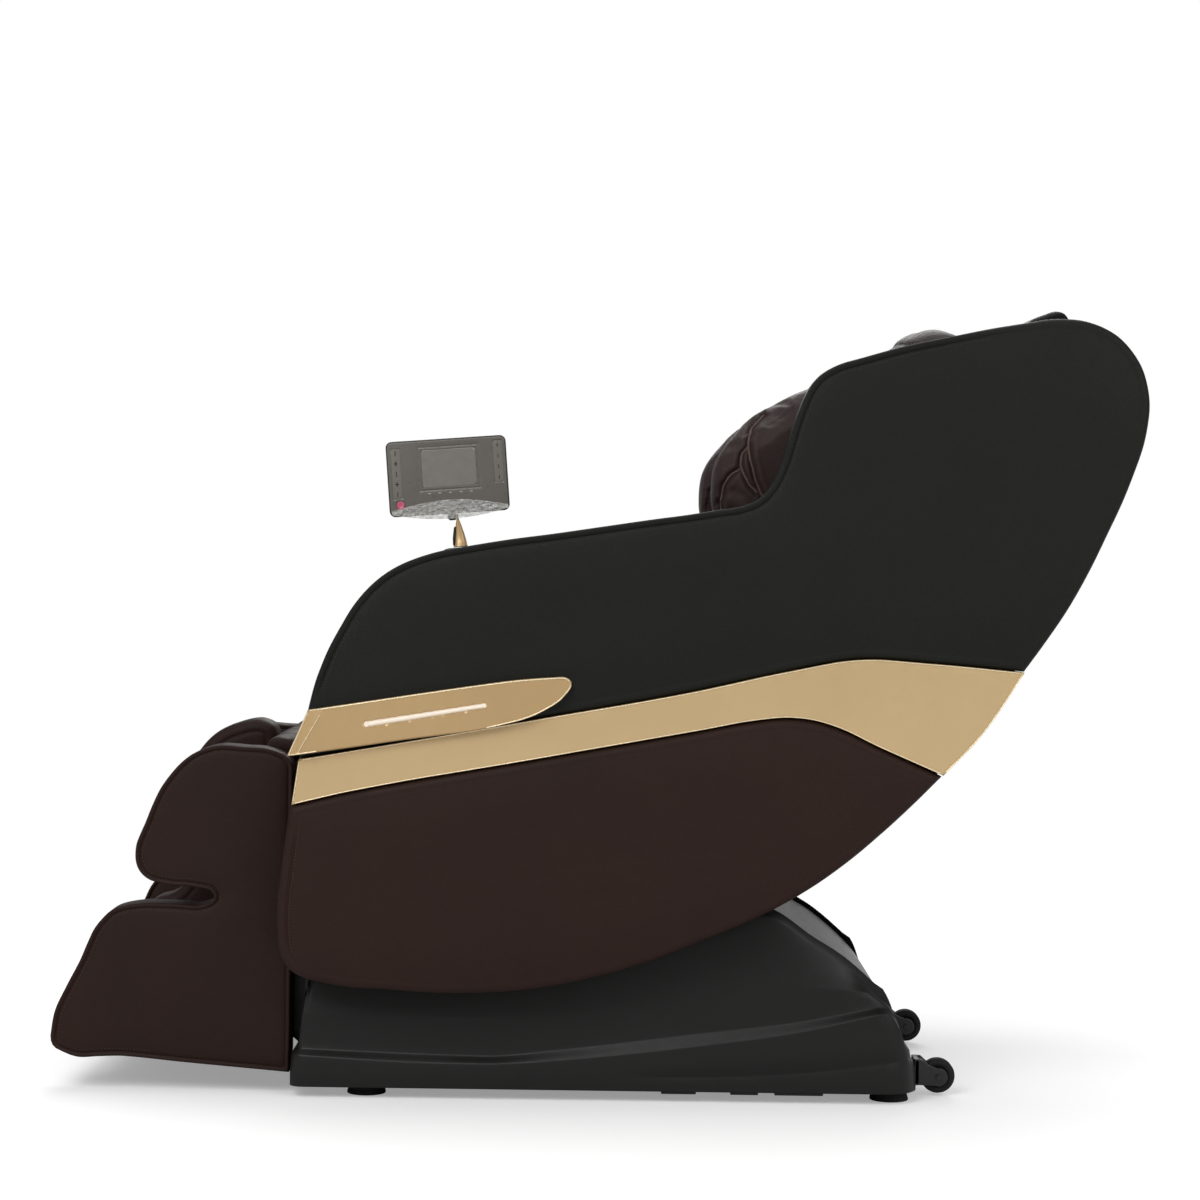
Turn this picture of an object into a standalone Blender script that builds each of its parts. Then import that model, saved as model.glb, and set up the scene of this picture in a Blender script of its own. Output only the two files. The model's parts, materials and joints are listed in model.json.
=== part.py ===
"""Massage chair with a tilting one-piece shell, a swinging leg rest and a tablet on a stalk.

Metres, +Z up. +X runs from the toes to the head, +Y to the sitter's right.
The origin is on the floor, under the middle of the chair's box.
"""
import math

import bmesh
import bpy
from mathutils import Matrix, Vector

# ---------------------------------------------------------------- driving sizes
GAP = 0.0003               # clearance between pieces that touch
OVERALL_LENGTH = 1.550     # toe end of the leg rest to the back of the shell
OVERALL_HEIGHT = 1.152     # floor to the top of the head roll
DRAWN_LENGTH = 1.550       # length and height for which the outlines are drawn
DRAWN_HEIGHT = 1.152
SHELL_WIDTH = 0.770        # across the outer panels
PANEL_THICK = 0.040        # padded outer panel
LINER_THICK = 0.0545       # padded wall inside the outer panel
PANEL_ROUND = 0.012        # rounded rim of the padded panels
BAND_ROUND = 0.003
TRIM_THICK = 0.012         # gold arm-front trim on the panel
LIGHT_THICK = 0.0025
LIGHT_POCKET = 0.0020
BACK_COVER_THICK = 0.008
BACK_COVER_INSET = 0.006   # the back cover lies this far inside the panels' rims
HOOD_GAP = 0.001           # between the hood's rear edge and the back cover's end
LINER_INSET = 0.007        # the liner's edge lies this far inside the panels' rims

BASE_WIDTH = 0.610         # across the moulded base covers
COVER_WALL = 0.0035
BASE_CORNER = 0.050        # plan radius of the base's rear corners
BASE_FLOOR = 0.0165        # underside of the base above the floor
FOOT_RADIUS = 0.028
RAIL_SIZE = 0.030          # square tube of the base frame
RAIL_SPREAD = 0.500        # between the centres of the base rails
WHEEL_RADIUS = 0.025
WHEEL_WIDTH = 0.022
WHEEL_SPREAD = 0.430
WHEEL_BORE_GAP = 0.0003
CHEEK_GAP = 0.001          # beside a wheel
CHEEK_PLATE = 0.004
DECK_THICK = 0.003
INLET_Y = 0.055            # power inlet and switch on the base's rear
INLET_Z = 0.045
INLET_WIDE = 0.027
INLET_HIGH = 0.020
SWITCH_Y = 0.088
SWITCH_WIDE = 0.011

TILT_SHAFT_RADIUS = 0.010
TILT_PLATE = 0.006         # thickness of the tilt lugs
LUG_PLATE = 0.006          # thickness of the knee lugs and of the actuators' forks
PIVOT_GAP = 0.0005         # beside the plates that turn past each other
KNEE_LUG_Y = 0.200         # the cradle's knee lugs stand here, either side
TUBE_RADIUS = 0.0125       # bent tube of the seat and back frame
CROSS_RADIUS = 0.010
PIN_RADIUS = 0.005

ROD_RADIUS = 0.008
ROD_TUBE_RADIUS = 0.015
MOTOR_RADIUS = 0.024
FORK_HALF = 0.024          # half the room between the ears that hold an actuator
HEAD_EYE_HALF = 0.010      # half the width of a rod's eye
HEAD_FORK_HALF = 0.0115    # half the room between the leg rest's ears
HEAD_FORK_PLATE = 0.005

LEG_WIDTH = 0.560          # across the leg rest's walls
LEG_WALL = 0.055
LEG_DIVIDER = 0.075
LEG_BOARD = 0.012
LEG_RAIL = 0.020
SEAT_CLEAR = 0.003         # soft pieces stay this far from the walls beside them
BACK_PAD = 0.060
SEAT_PAD_FRONT = 0.050
SEAT_PAD_REAR = 0.070
CALF_PAD = 0.045
SOLE_PAD = 0.025
SETTLE = 0.0009            # a cushion's soft underside sinks this far onto its cross tubes
ROLL_HALF = 0.160          # half the length of the head roll

KNEAD_RADIUS = 0.024       # kneading roller
KNEAD_CLEAR = 0.003        # between the roller and the back cushion
KNEAD_LOW, KNEAD_HIGH = 0.0545, 0.0945    # the roller's two faces from the middle

TABLET_WIDTH = 0.196
TABLET_HEIGHT = 0.122
TABLET_THICK = 0.014
TABLET_LEAN = math.radians(-4.5)
KEY_RADIUS = 0.007
SCREEN_WIDTH = 0.090
SCREEN_HEIGHT = 0.062
SCREEN_DEEP = 0.0015       # the screen's recess in the case
MOUNT_RADIUS = 0.022       # the stalk's mount in the liner, and the head it rests on
MOUNT_DEEP = 0.018
MOUNT_HEAD_RADIUS = 0.026
MOUNT_HEAD_LOW = 0.004
SEAT_UP = 0.015            # top of the stalk's mount above its foot
HINGE_UP = 0.067           # tilt axis above the stalk's foot

# ---------------------------------------------------------------- worked-out places
HALF_SHELL = SHELL_WIDTH / 2
PANEL_INNER = HALF_SHELL - PANEL_THICK
LINER_OUTER = PANEL_INNER - GAP
LINER_INNER = LINER_OUTER - LINER_THICK
TUBE_Y = LINER_INNER - GAP - TUBE_RADIUS
RAIL_Y = RAIL_SPREAD / 2
RAIL_TOP = BASE_FLOOR + RAIL_SIZE


def at(x, z):
    """A drawn point in the side view, stretched to the chair's overall sizes."""
    return x * OVERALL_LENGTH / DRAWN_LENGTH, z * OVERALL_HEIGHT / DRAWN_HEIGHT


TILT_X, TILT_Z = at(0.020, 0.270)
KNEE_X, KNEE_Z = at(-0.415, 0.470)
TILT_FOOT_X, TILT_FOOT_Z = at(-0.300, 0.075)
TILT_HEAD_X, TILT_HEAD_Z = at(-0.160, 0.330)
KNEE_FOOT_X, KNEE_FOOT_Z = at(-0.200, 0.380)
KNEE_HEAD_X, KNEE_HEAD_Z = at(-0.420, 0.430)
BACK_FOOT = at(0.100, 0.470)      # backrest surface, lowest and highest point
BACK_HEAD = at(0.570, 1.103)
SEAT_FRONT = at(-0.385, 0.4795)   # seat deck line under the cushion
SEAT_REAR = at(0.098, 0.3945)
STALK_X, STALK_Z = at(-0.228, 0.775)
STALK_Y = LINER_INNER + LINER_THICK / 2
BACK_ALONG = (Vector(BACK_HEAD) - Vector(BACK_FOOT)).normalized()
BACK_AWAY = Vector((BACK_ALONG.y, -BACK_ALONG.x))        # from the sitter's back outwards
BACK_LONG = (Vector(BACK_HEAD) - Vector(BACK_FOOT)).length
PILLOW_REST = BACK_PAD - 0.0072    # the pillow lies on the crown of the top rolls
UPRIGHT_INNER = RAIL_Y - 0.008
LUG_INNER = UPRIGHT_INNER - PIVOT_GAP - TILT_PLATE    # beside the base uprights
KNEAD_AWAY = KNEAD_RADIUS + KNEAD_CLEAR
BASE_FRONT, _ = at(-0.4295, 0)
BASE_REAR, _ = at(0.472, 0)
DECK_HALF = BASE_WIDTH / 2 - 0.046
WHEEL_X, WHEEL_Z = BASE_REAR + 0.036, WHEEL_RADIUS + 0.004
LEG_HALF = LEG_WIDTH / 2
LEG_INNER = LEG_HALF - LEG_WALL
LEG_FRAME_BACK, _ = at(-0.448, 0)
LEG_BOARD_BACK = LEG_FRAME_BACK - LEG_RAIL - GAP
LEG_RAIL_Y = KNEE_LUG_Y - PIVOT_GAP - LUG_PLATE - 0.007   # outer face of the leg rails
EYE_HALF = FORK_HALF - PIVOT_GAP
STALK_FRAME = Matrix.Translation((STALK_X, STALK_Y, STALK_Z)) @ Matrix.Rotation(TABLET_LEAN, 4, "Y")
TABLET_LEFT = -0.009 - TABLET_WIDTH / 2
TABLET_LOW = HINGE_UP + 0.0056
TABLET_FACE = -TABLET_THICK / 2
SCREEN_LEFT = TABLET_LEFT + 0.056
SCREEN_LOW = TABLET_LOW + 0.044
KEY_X, KEY_Z = TABLET_LEFT + 0.018, TABLET_LOW + 0.0175

# ---------------------------------------------------------------- scene and helpers
for old in list(bpy.data.objects):
    bpy.data.objects.remove(old, do_unlink=True)
chair = bpy.data.collections.new("massage_chair")
bpy.context.scene.collection.children.link(chair)


def finish_material(name, colour, roughness, metallic=0.0):
    made = bpy.data.materials.get(name)
    if made:
        return made
    made = bpy.data.materials.new(name)
    made.use_nodes = True
    shader = made.node_tree.nodes["Principled BSDF"]
    shader.inputs["Base Color"].default_value = (*colour, 1.0)
    shader.inputs["Roughness"].default_value = roughness
    shader.inputs["Metallic"].default_value = metallic
    return made


BLACK_LEATHER = finish_material("black_leather", (0.020, 0.021, 0.019), 0.45)
BROWN_LEATHER = finish_material("brown_leather", (0.030, 0.019, 0.016), 0.42)
GOLD = finish_material("gold_paint", (0.62, 0.45, 0.25), 0.35, 0.6)
GREY_PLASTIC = finish_material("grey_plastic", (0.030, 0.029, 0.028), 0.40)
BLACK_PLASTIC = finish_material("black_plastic", (0.008, 0.008, 0.008), 0.45)
STEEL = finish_material("painted_steel", (0.05, 0.05, 0.055), 0.40, 0.5)
ZINC = finish_material("zinc_steel", (0.45, 0.45, 0.46), 0.35, 0.9)
RUBBER = finish_material("rubber", (0.006, 0.006, 0.006), 0.80)
LIGHT = finish_material("light_bar", (0.85, 0.74, 0.60), 0.25)
TABLET = finish_material("tablet_plastic", (0.11, 0.105, 0.10), 0.30)
SCREEN = finish_material("screen", (0.19, 0.18, 0.17), 0.15)
RED = finish_material("red_key", (0.45, 0.05, 0.09), 0.35)


def keep(name, mesh, material, round_edges=False):
    """Put a finished mesh in the chair's collection as one named piece."""
    mesh.name = name
    mesh.materials.clear()
    mesh.materials.append(material)
    if round_edges:
        mesh.shade_smooth()
        mesh.set_sharp_from_angle(angle=math.radians(35))
    piece = bpy.data.objects.new(name, mesh)
    chair.objects.link(piece)
    return piece


def mesh_from(bm):
    bmesh.ops.recalc_face_normals(bm, faces=bm.faces)
    mesh = bpy.data.meshes.new("work")
    bm.to_mesh(mesh)
    bm.free()
    return mesh


def evaluated_mesh(piece, weld=True):
    """The piece as the viewport shows it, in world space, welded into one skin."""
    bpy.context.view_layer.update()
    graph = bpy.context.evaluated_depsgraph_get()
    mesh = bpy.data.meshes.new_from_object(piece.evaluated_get(graph), depsgraph=graph)
    mesh.transform(piece.matrix_world)
    bm = bmesh.new()
    bm.from_mesh(mesh)
    if weld:
        bmesh.ops.remove_doubles(bm, verts=bm.verts, dist=1e-6)
    bpy.data.meshes.remove(mesh)
    return mesh_from(bm)


def combine(mesh, tools, operation):
    """Boolean a mesh with a list of tool meshes, one after another."""
    for tool in tools:
        body = bpy.data.objects.new("body", mesh)
        other = bpy.data.objects.new("tool", tool)
        chair.objects.link(body)
        chair.objects.link(other)
        step = body.modifiers.new("step", "BOOLEAN")
        step.operation = operation
        step.solver = "EXACT"
        step.object = other
        result = evaluated_mesh(body)
        bpy.data.objects.remove(body, do_unlink=True)
        bpy.data.objects.remove(other, do_unlink=True)
        bpy.data.meshes.remove(mesh)
        bpy.data.meshes.remove(tool)
        mesh = result
    return mesh


def union(mesh, *tools):
    return combine(mesh, tools, "UNION")


def cut(mesh, *tools):
    return combine(mesh, tools, "DIFFERENCE")


def block(low, high, bevel=0.0, segments=2):
    """A box between two corners, with rounded edges if a bevel is given."""
    bm = bmesh.new()
    bmesh.ops.create_cube(bm, size=1.0)
    size = [high[i] - low[i] for i in range(3)]
    middle = [(high[i] + low[i]) / 2 for i in range(3)]
    bmesh.ops.scale(bm, vec=size, verts=bm.verts)
    bmesh.ops.translate(bm, vec=middle, verts=bm.verts)
    if bevel:
        bmesh.ops.bevel(bm, geom=bm.edges[:], offset=bevel, segments=segments,
                        profile=0.5, affect="EDGES")
    return mesh_from(bm)


def rod(start, end, radius, sides=16, end_radius=None):
    """A straight round bar from start to end, or a cone where end_radius differs."""
    start, end = Vector(start), Vector(end)
    bm = bmesh.new()
    bmesh.ops.create_cone(bm, cap_ends=True, segments=sides, radius1=radius,
                          radius2=radius if end_radius is None else end_radius,
                          depth=(end - start).length)
    turn = Vector((0, 0, 1)).rotation_difference(end - start).to_matrix().to_4x4()
    bm.transform(Matrix.Translation((start + end) / 2) @ turn)
    return mesh_from(bm)


def bent_tube(points, radius, sides_step=2):
    """A round tube along straight runs, with filled ends."""
    line = bpy.data.curves.new("line", "CURVE")
    line.dimensions = "3D"
    line.bevel_depth = radius
    line.bevel_resolution = sides_step
    line.use_fill_caps = True
    spline = line.splines.new("POLY")
    spline.points.add(len(points) - 1)
    for point, place in zip(spline.points, points):
        point.co = (*place, 1.0)
    guide = bpy.data.objects.new("guide", line)
    chair.objects.link(guide)
    mesh = evaluated_mesh(guide)
    bpy.data.objects.remove(guide, do_unlink=True)
    return mesh


def plate(points, y_low, y_high, edge=0.0, steps=3, edge_steps=1):
    """A padded plate from a side-view outline, drawn in X and Z.

    Each point is (x, z) for a smooth stretch or (x, z, "corner").
    """
    line = bpy.data.curves.new("outline", "CURVE")
    line.dimensions = "2D"
    line.fill_mode = "BOTH"
    line.resolution_u = steps
    line.extrude = (y_high - y_low) / 2 - edge
    line.bevel_depth = edge
    line.bevel_resolution = edge_steps
    line.offset = -edge
    spline = line.splines.new("BEZIER")
    spline.bezier_points.add(len(points) - 1)
    spline.use_cyclic_u = True
    for knot, place in zip(spline.bezier_points, points):
        knot.co = (place[0], place[1], 0.0)
        kind = "VECTOR" if len(place) > 2 else "AUTO"
        knot.handle_left_type = kind
        knot.handle_right_type = kind
    guide = bpy.data.objects.new("guide", line)
    guide.rotation_euler = (math.radians(90), 0, 0)
    guide.location = (0, (y_low + y_high) / 2, 0)
    chair.objects.link(guide)
    mesh = evaluated_mesh(guide)
    bpy.data.objects.remove(guide, do_unlink=True)
    return mesh


def drawn(points):
    """Stretch a drawn outline to the chair's overall sizes, keeping its corners."""
    return [(*at(p[0], p[1]), *p[2:]) for p in points]


def inset(points, depth):
    """Move an open run of outline points to their right-hand side by depth."""
    moved = []
    for i, point in enumerate(points):
        before = Vector(points[max(i - 1, 0)][:2])
        after = Vector(points[min(i + 1, len(points) - 1)][:2])
        along = (after - before).normalized()
        moved.append((point[0] + along.y * depth, point[1] - along.x * depth, *point[2:]))
    return moved


def cushion(path, normals, thicks, half_widths, section, y_middle=0.0, levels=1):
    """A stuffed pad: a rounded section swept along a side-view path, then subdivided."""
    bm = bmesh.new()
    loops = []
    for (x, z), (nx, nz), thick, half in zip(path, normals, thicks, half_widths):
        loops.append([bm.verts.new((x + nx * thick * lift, y_middle + across * half,
                                    z + nz * thick * lift)) for across, lift in section])
    for first, second in zip(loops, loops[1:]):
        for i in range(len(section)):
            j = (i + 1) % len(section)
            bm.faces.new((first[i], first[j], second[j], second[i]))
    bm.faces.new(loops[0])
    bm.faces.new(list(reversed(loops[-1])))
    mesh = mesh_from(bm)
    form = bpy.data.objects.new("form", mesh)
    chair.objects.link(form)
    smooth = form.modifiers.new("smooth", "SUBSURF")
    smooth.levels = levels
    smooth.render_levels = levels
    result = evaluated_mesh(form)
    bpy.data.objects.remove(form, do_unlink=True)
    return result


PAD_SECTION = [(-0.92, 0.0), (-1.0, 0.25), (-0.96, 0.80), (-0.45, 1.0),
               (0.45, 1.0), (0.96, 0.80), (1.0, 0.25), (0.92, 0.0)]


def pad_along(start, end, thick_start, thick_end, half, sewn, depth, y_middle=0.0,
              end_round=0.35):
    """A straight pad from start to end with sewn channels across it.

    Thickness grows to the left of the direction of travel. sewn is the number of rolls.
    """
    start, end = Vector(start), Vector(end)
    along = (end - start).normalized()
    normal = (-along.y, along.x)
    path, thicks, halves = [], [], []
    stops = 2 * sewn
    for i in range(stops + 1):
        share = i / stops
        thick = thick_start + (thick_end - thick_start) * share
        if i in (0, stops):
            thick *= end_round
        elif i % 2 == 0:
            thick *= 1 - depth
        path.append(tuple(start.lerp(end, share)))
        thicks.append(thick)
        halves.append(half if i not in (0, stops) else half * 0.97)
    return cushion(path, [normal] * len(path), thicks, halves, PAD_SECTION, y_middle)


def mirrored(mesh):
    """A copy of a mesh on the other side of the chair."""
    copy = mesh.copy()
    copy.transform(Matrix.Scale(-1, 4, (0, 1, 0)))
    copy.flip_normals()
    return copy


def keep_pair(stem, mesh, material, round_edges=False):
    """The mesh drawn on the sitter's left (-Y), and its mirror image on the right."""
    keep(stem + "_right", mirrored(mesh), material, round_edges)
    keep(stem + "_left", mesh, material, round_edges)


# ---------------------------------------------------------------- outlines of the shell
ARM_TOP = drawn([(-0.401, 0.561), (-0.385, 0.616), (-0.357, 0.676), (-0.317, 0.733),
                 (-0.262, 0.770), (-0.180, 0.792), (-0.060, 0.811), (0.080, 0.833),
                 (0.175, 0.848)])
WING_FRONT = drawn([(0.222, 0.860), (0.248, 0.888), (0.268, 0.942), (0.286, 0.998),
                    (0.312, 1.039), (0.365, 1.062), (0.500, 1.096)])
WING_TOP = drawn([(0.602, 1.116), (0.650, 1.122), (0.705, 1.112), (0.748, 1.079),
                  (0.7715, 1.028)])
REAR_HIGH = drawn([(0.7725, 0.975), (0.757, 0.915), (0.718, 0.821), (0.664, 0.715),
                   (0.603, 0.626, "corner")])
REAR_LOW = drawn([(0.597, 0.613, "corner"), (0.545, 0.537), (0.493, 0.476, "corner")])
BELLY = drawn([(0.4895, 0.4772, "corner"), (0.413, 0.402), (0.300, 0.313), (0.150, 0.239),
               (0.000, 0.187), (-0.150, 0.165), (-0.290, 0.168), (-0.385, 0.178),
               (-0.428, 0.199), (-0.441, 0.245), (-0.437, 0.330), (-0.424, 0.424, "corner")])
BAND_TOP = drawn([(0.603, 0.626, "corner"), (0.455, 0.638), (0.372, 0.641), (0.290, 0.627),
                  (0.130, 0.591), (-0.100, 0.548), (-0.413, 0.491, "corner")])
BAND_LOW = drawn([(-0.422, 0.426, "corner"), (-0.340, 0.446), (-0.100, 0.491),
                  (0.150, 0.538), (0.235, 0.554), (0.285, 0.557), (0.335, 0.547),
                  (0.400, 0.518), (0.491, 0.479, "corner")])
TRIM = drawn([(-0.400, 0.560, "corner"), (-0.045, 0.611), (-0.032, 0.604), (-0.039, 0.587),
              (-0.065, 0.566), (-0.111, 0.547), (-0.266, 0.520), (-0.428, 0.495, "corner")])
LIGHT_STRIP = drawn([(-0.317, 0.5375, "corner"), (-0.317, 0.5455, "corner"),
                     (-0.153, 0.5725, "corner"), (-0.153, 0.5665, "corner")])


def sink(points, drop):
    """Lower an outline run, for the seam between two neighbouring panels."""
    return [(p[0], p[1] - drop, *p[2:]) for p in points]


def shell_panels():
    low, high = -HALF_SHELL, -PANEL_INNER
    seam = 0.0012
    upper = ARM_TOP + WING_FRONT + WING_TOP + REAR_HIGH + BAND_TOP[1:]
    keep_pair("side_panel", plate(upper, low, high, PANEL_ROUND, 2), BLACK_LEATHER, True)
    band = sink(list(reversed(BAND_TOP)), seam) + REAR_LOW[1:2] + list(reversed(BAND_LOW))
    keep_pair("gold_band", plate(band, low + 0.003, high, BAND_ROUND, 3, 0), GOLD, True)
    lower = sink(BAND_LOW[:-1], seam) + BELLY[:-1] + drawn([(-0.4255, 0.4235, "corner")])
    keep_pair("lower_panel", plate(lower, low, high, PANEL_ROUND, 2), BROWN_LEATHER, True)


def liners():
    """Padded walls between the outer panels and the seat, with the stalk's pocket."""
    rim = inset(ARM_TOP + WING_FRONT + WING_TOP + REAR_HIGH[:-1], LINER_INSET)
    behind = WING_TOP[2:] + REAR_HIGH[:-1]
    rear = inset(behind, BACK_COVER_INSET + BACK_COVER_THICK + GAP + 0.0035)
    rim = rim[:-len(rear)] + rear
    floor = drawn([(0.575, 0.620), (0.470, 0.485), (0.405, 0.425), (0.360, 0.400, "corner"),
                   (0.200, 0.400), (0.080, 0.335), (-0.180, 0.330), (-0.400, 0.340, "corner"),
                   (-0.404, 0.440)])
    wall = plate(rim + floor, -LINER_OUTER, -LINER_INNER, 0.006, 2, 0)
    keep("liner_left", wall.copy(), BLACK_LEATHER, True)
    wall_right = mirrored(wall)
    pocket = rod(stalk_point(0, 0, -MOUNT_DEEP - GAP), stalk_point(0, 0, 0.06),
                 MOUNT_RADIUS + GAP, 24)
    room = rod(stalk_point(0, 0, MOUNT_HEAD_LOW - GAP), stalk_point(0, 0, 0.09),
               MOUNT_HEAD_RADIUS + GAP, 24)
    keep("liner_right", cut(wall_right, pocket, room), BLACK_LEATHER, True)


def arm_trims():
    low = -HALF_SHELL - GAP - TRIM_THICK
    trim = plate(TRIM, low, -HALF_SHELL - GAP, 0.003, 3, 1)
    pocket = plate(LIGHT_STRIP, low - 0.01, low + LIGHT_POCKET, 0, 1)
    keep_pair("armrest_trim", cut(trim, pocket), GOLD, True)
    centre = Vector((sum(p[0] for p in LIGHT_STRIP) / 4, sum(p[1] for p in LIGHT_STRIP) / 4))
    shrunk = []
    for p in LIGHT_STRIP:
        shrunk.append((p[0] - math.copysign(GAP, p[0] - centre.x),
                       p[1] - math.copysign(GAP, p[1] - (centre.y + (p[0] - centre.x) * 0.17)),
                       "corner"))
    bar = plate(shrunk, low + LIGHT_POCKET - GAP - LIGHT_THICK, low + LIGHT_POCKET - GAP, 0, 1)
    keep_pair("light_bar", bar, LIGHT)


def sheet(path, thick, half):
    """A bent sheet across the chair, given by the outline run of its outer side."""
    inner = inset(path, thick)
    outline = [(*p[:2], "corner") for p in path]
    outline += [(*p[:2], "corner") for p in reversed(inner)]
    return plate(outline, -half, half, 0, 1)


COVER_RUN = WING_TOP[2:] + REAR_HIGH[:-1] + drawn([(0.603, 0.626), (0.545, 0.537),
                                                   (0.480, 0.462), (0.425, 0.412)])


def back_cover():
    path = inset(COVER_RUN, BACK_COVER_INSET)
    keep("back_cover", sheet(path, BACK_COVER_THICK, LINER_OUTER), BLACK_LEATHER, True)


# ---------------------------------------------------------------- seat and back
def back_point(along, away, y=0.0):
    """A point of the backrest: along it from its foot, and behind the cushion's rear face."""
    place = Vector(BACK_FOOT) + BACK_ALONG * along + BACK_AWAY * (BACK_PAD + away)
    return (place.x, y, place.y)


def cushions():
    half = LINER_INNER - SEAT_CLEAR
    rise = Vector((0, GAP - SETTLE))
    seat = pad_along(Vector(SEAT_FRONT) + rise, Vector(SEAT_REAR) + rise, SEAT_PAD_FRONT,
                     SEAT_PAD_REAR, half, 4, 0.16)
    keep("seat_cushion", seat, BROWN_LEATHER, True)
    foot, head = back_point(0.012, SETTLE - GAP), back_point(BACK_LONG, SETTLE - GAP)
    back = pad_along((foot[0], foot[2]), (head[0], head[2]), BACK_PAD, BACK_PAD, half, 5, 0.16)
    keep("back_cushion", back, BROWN_LEATHER, True)


def head_pillow():
    start, end = back_point(BACK_LONG - 0.185, 0), back_point(BACK_LONG - 0.005, 0)
    lift = -BACK_AWAY * PILLOW_REST
    start = (start[0] + lift.x, start[2] + lift.y)
    end = (end[0] + lift.x, end[2] + lift.y)
    pillow = pad_along(start, end, 0.105, 0.105, 0.175, 3, 0.10, end_round=0.45)
    keep("head_pillow", pillow, BROWN_LEATHER, True)


def head_roll():
    """The hood that closes the shell over the backrest, with a padded roll on it."""
    tube_x, tube_z = crossing(BACK_LONG - 0.03)
    rest = tube_z + CROSS_RADIUS + GAP
    rear = inset(COVER_RUN, BACK_COVER_INSET + BACK_COVER_THICK)[0][0] - HOOD_GAP
    outline = drawn([(0.612, 1.086, "corner"), (0.635, 1.110, "corner"),
                     (0.697, 1.114, "corner"), (0.6955, 1.096, "corner"),
                     (0.665, 1.078, "corner"), (0.628, 1.078, "corner")])
    outline[2] = (rear + 0.0015, *outline[2][1:])
    outline[3] = (rear, *outline[3][1:])
    half = LINER_INNER - GAP
    hood = plate(outline, -half, half, 0.003, 3, 0)
    tongue = drawn([(0.634, 1.090, "corner"), (0.660, 1.090, "corner")])
    tongue += [(tube_x + 0.030, rest, "corner"), (tube_x - 0.002, rest, "corner"),
               (tube_x + 0.022, rest + 0.024, "corner")]
    keep("top_cover", union(hood, plate(tongue, -0.25, 0.25, 0, 1)), BLACK_LEATHER, True)
    roll = drawn([(0.637, 1.1106, "corner"), (0.635, 1.132), (0.660, 1.147), (0.686, 1.151),
                  (0.697, 1.140), (0.696, 1.1143, "corner")])
    keep("head_roll", plate(roll, -ROLL_HALF, ROLL_HALF, 0.004, 3, 1), BLACK_LEATHER, True)


def shoulder_pads():
    """Airbag wings that hold the shoulders, on the liners beside the backrest."""
    outline = drawn([(0.167, 0.835), (0.159, 0.895), (0.176, 0.942), (0.240, 0.995),
                     (0.312, 1.036), (0.385, 1.035), (0.440, 1.005), (0.428, 0.945),
                     (0.380, 0.870), (0.330, 0.805), (0.250, 0.785), (0.190, 0.795)])
    pad = plate(outline, -LINER_INNER + GAP, -LINER_INNER + 0.095, 0.028, 2, 2)
    keep_pair("shoulder_pad", pad, BROWN_LEATHER, True)


def crossing(along):
    """The centre of a cross tube that the back cushion rests on."""
    place = back_point(along, CROSS_RADIUS + GAP)
    return place[0], place[2]


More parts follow.
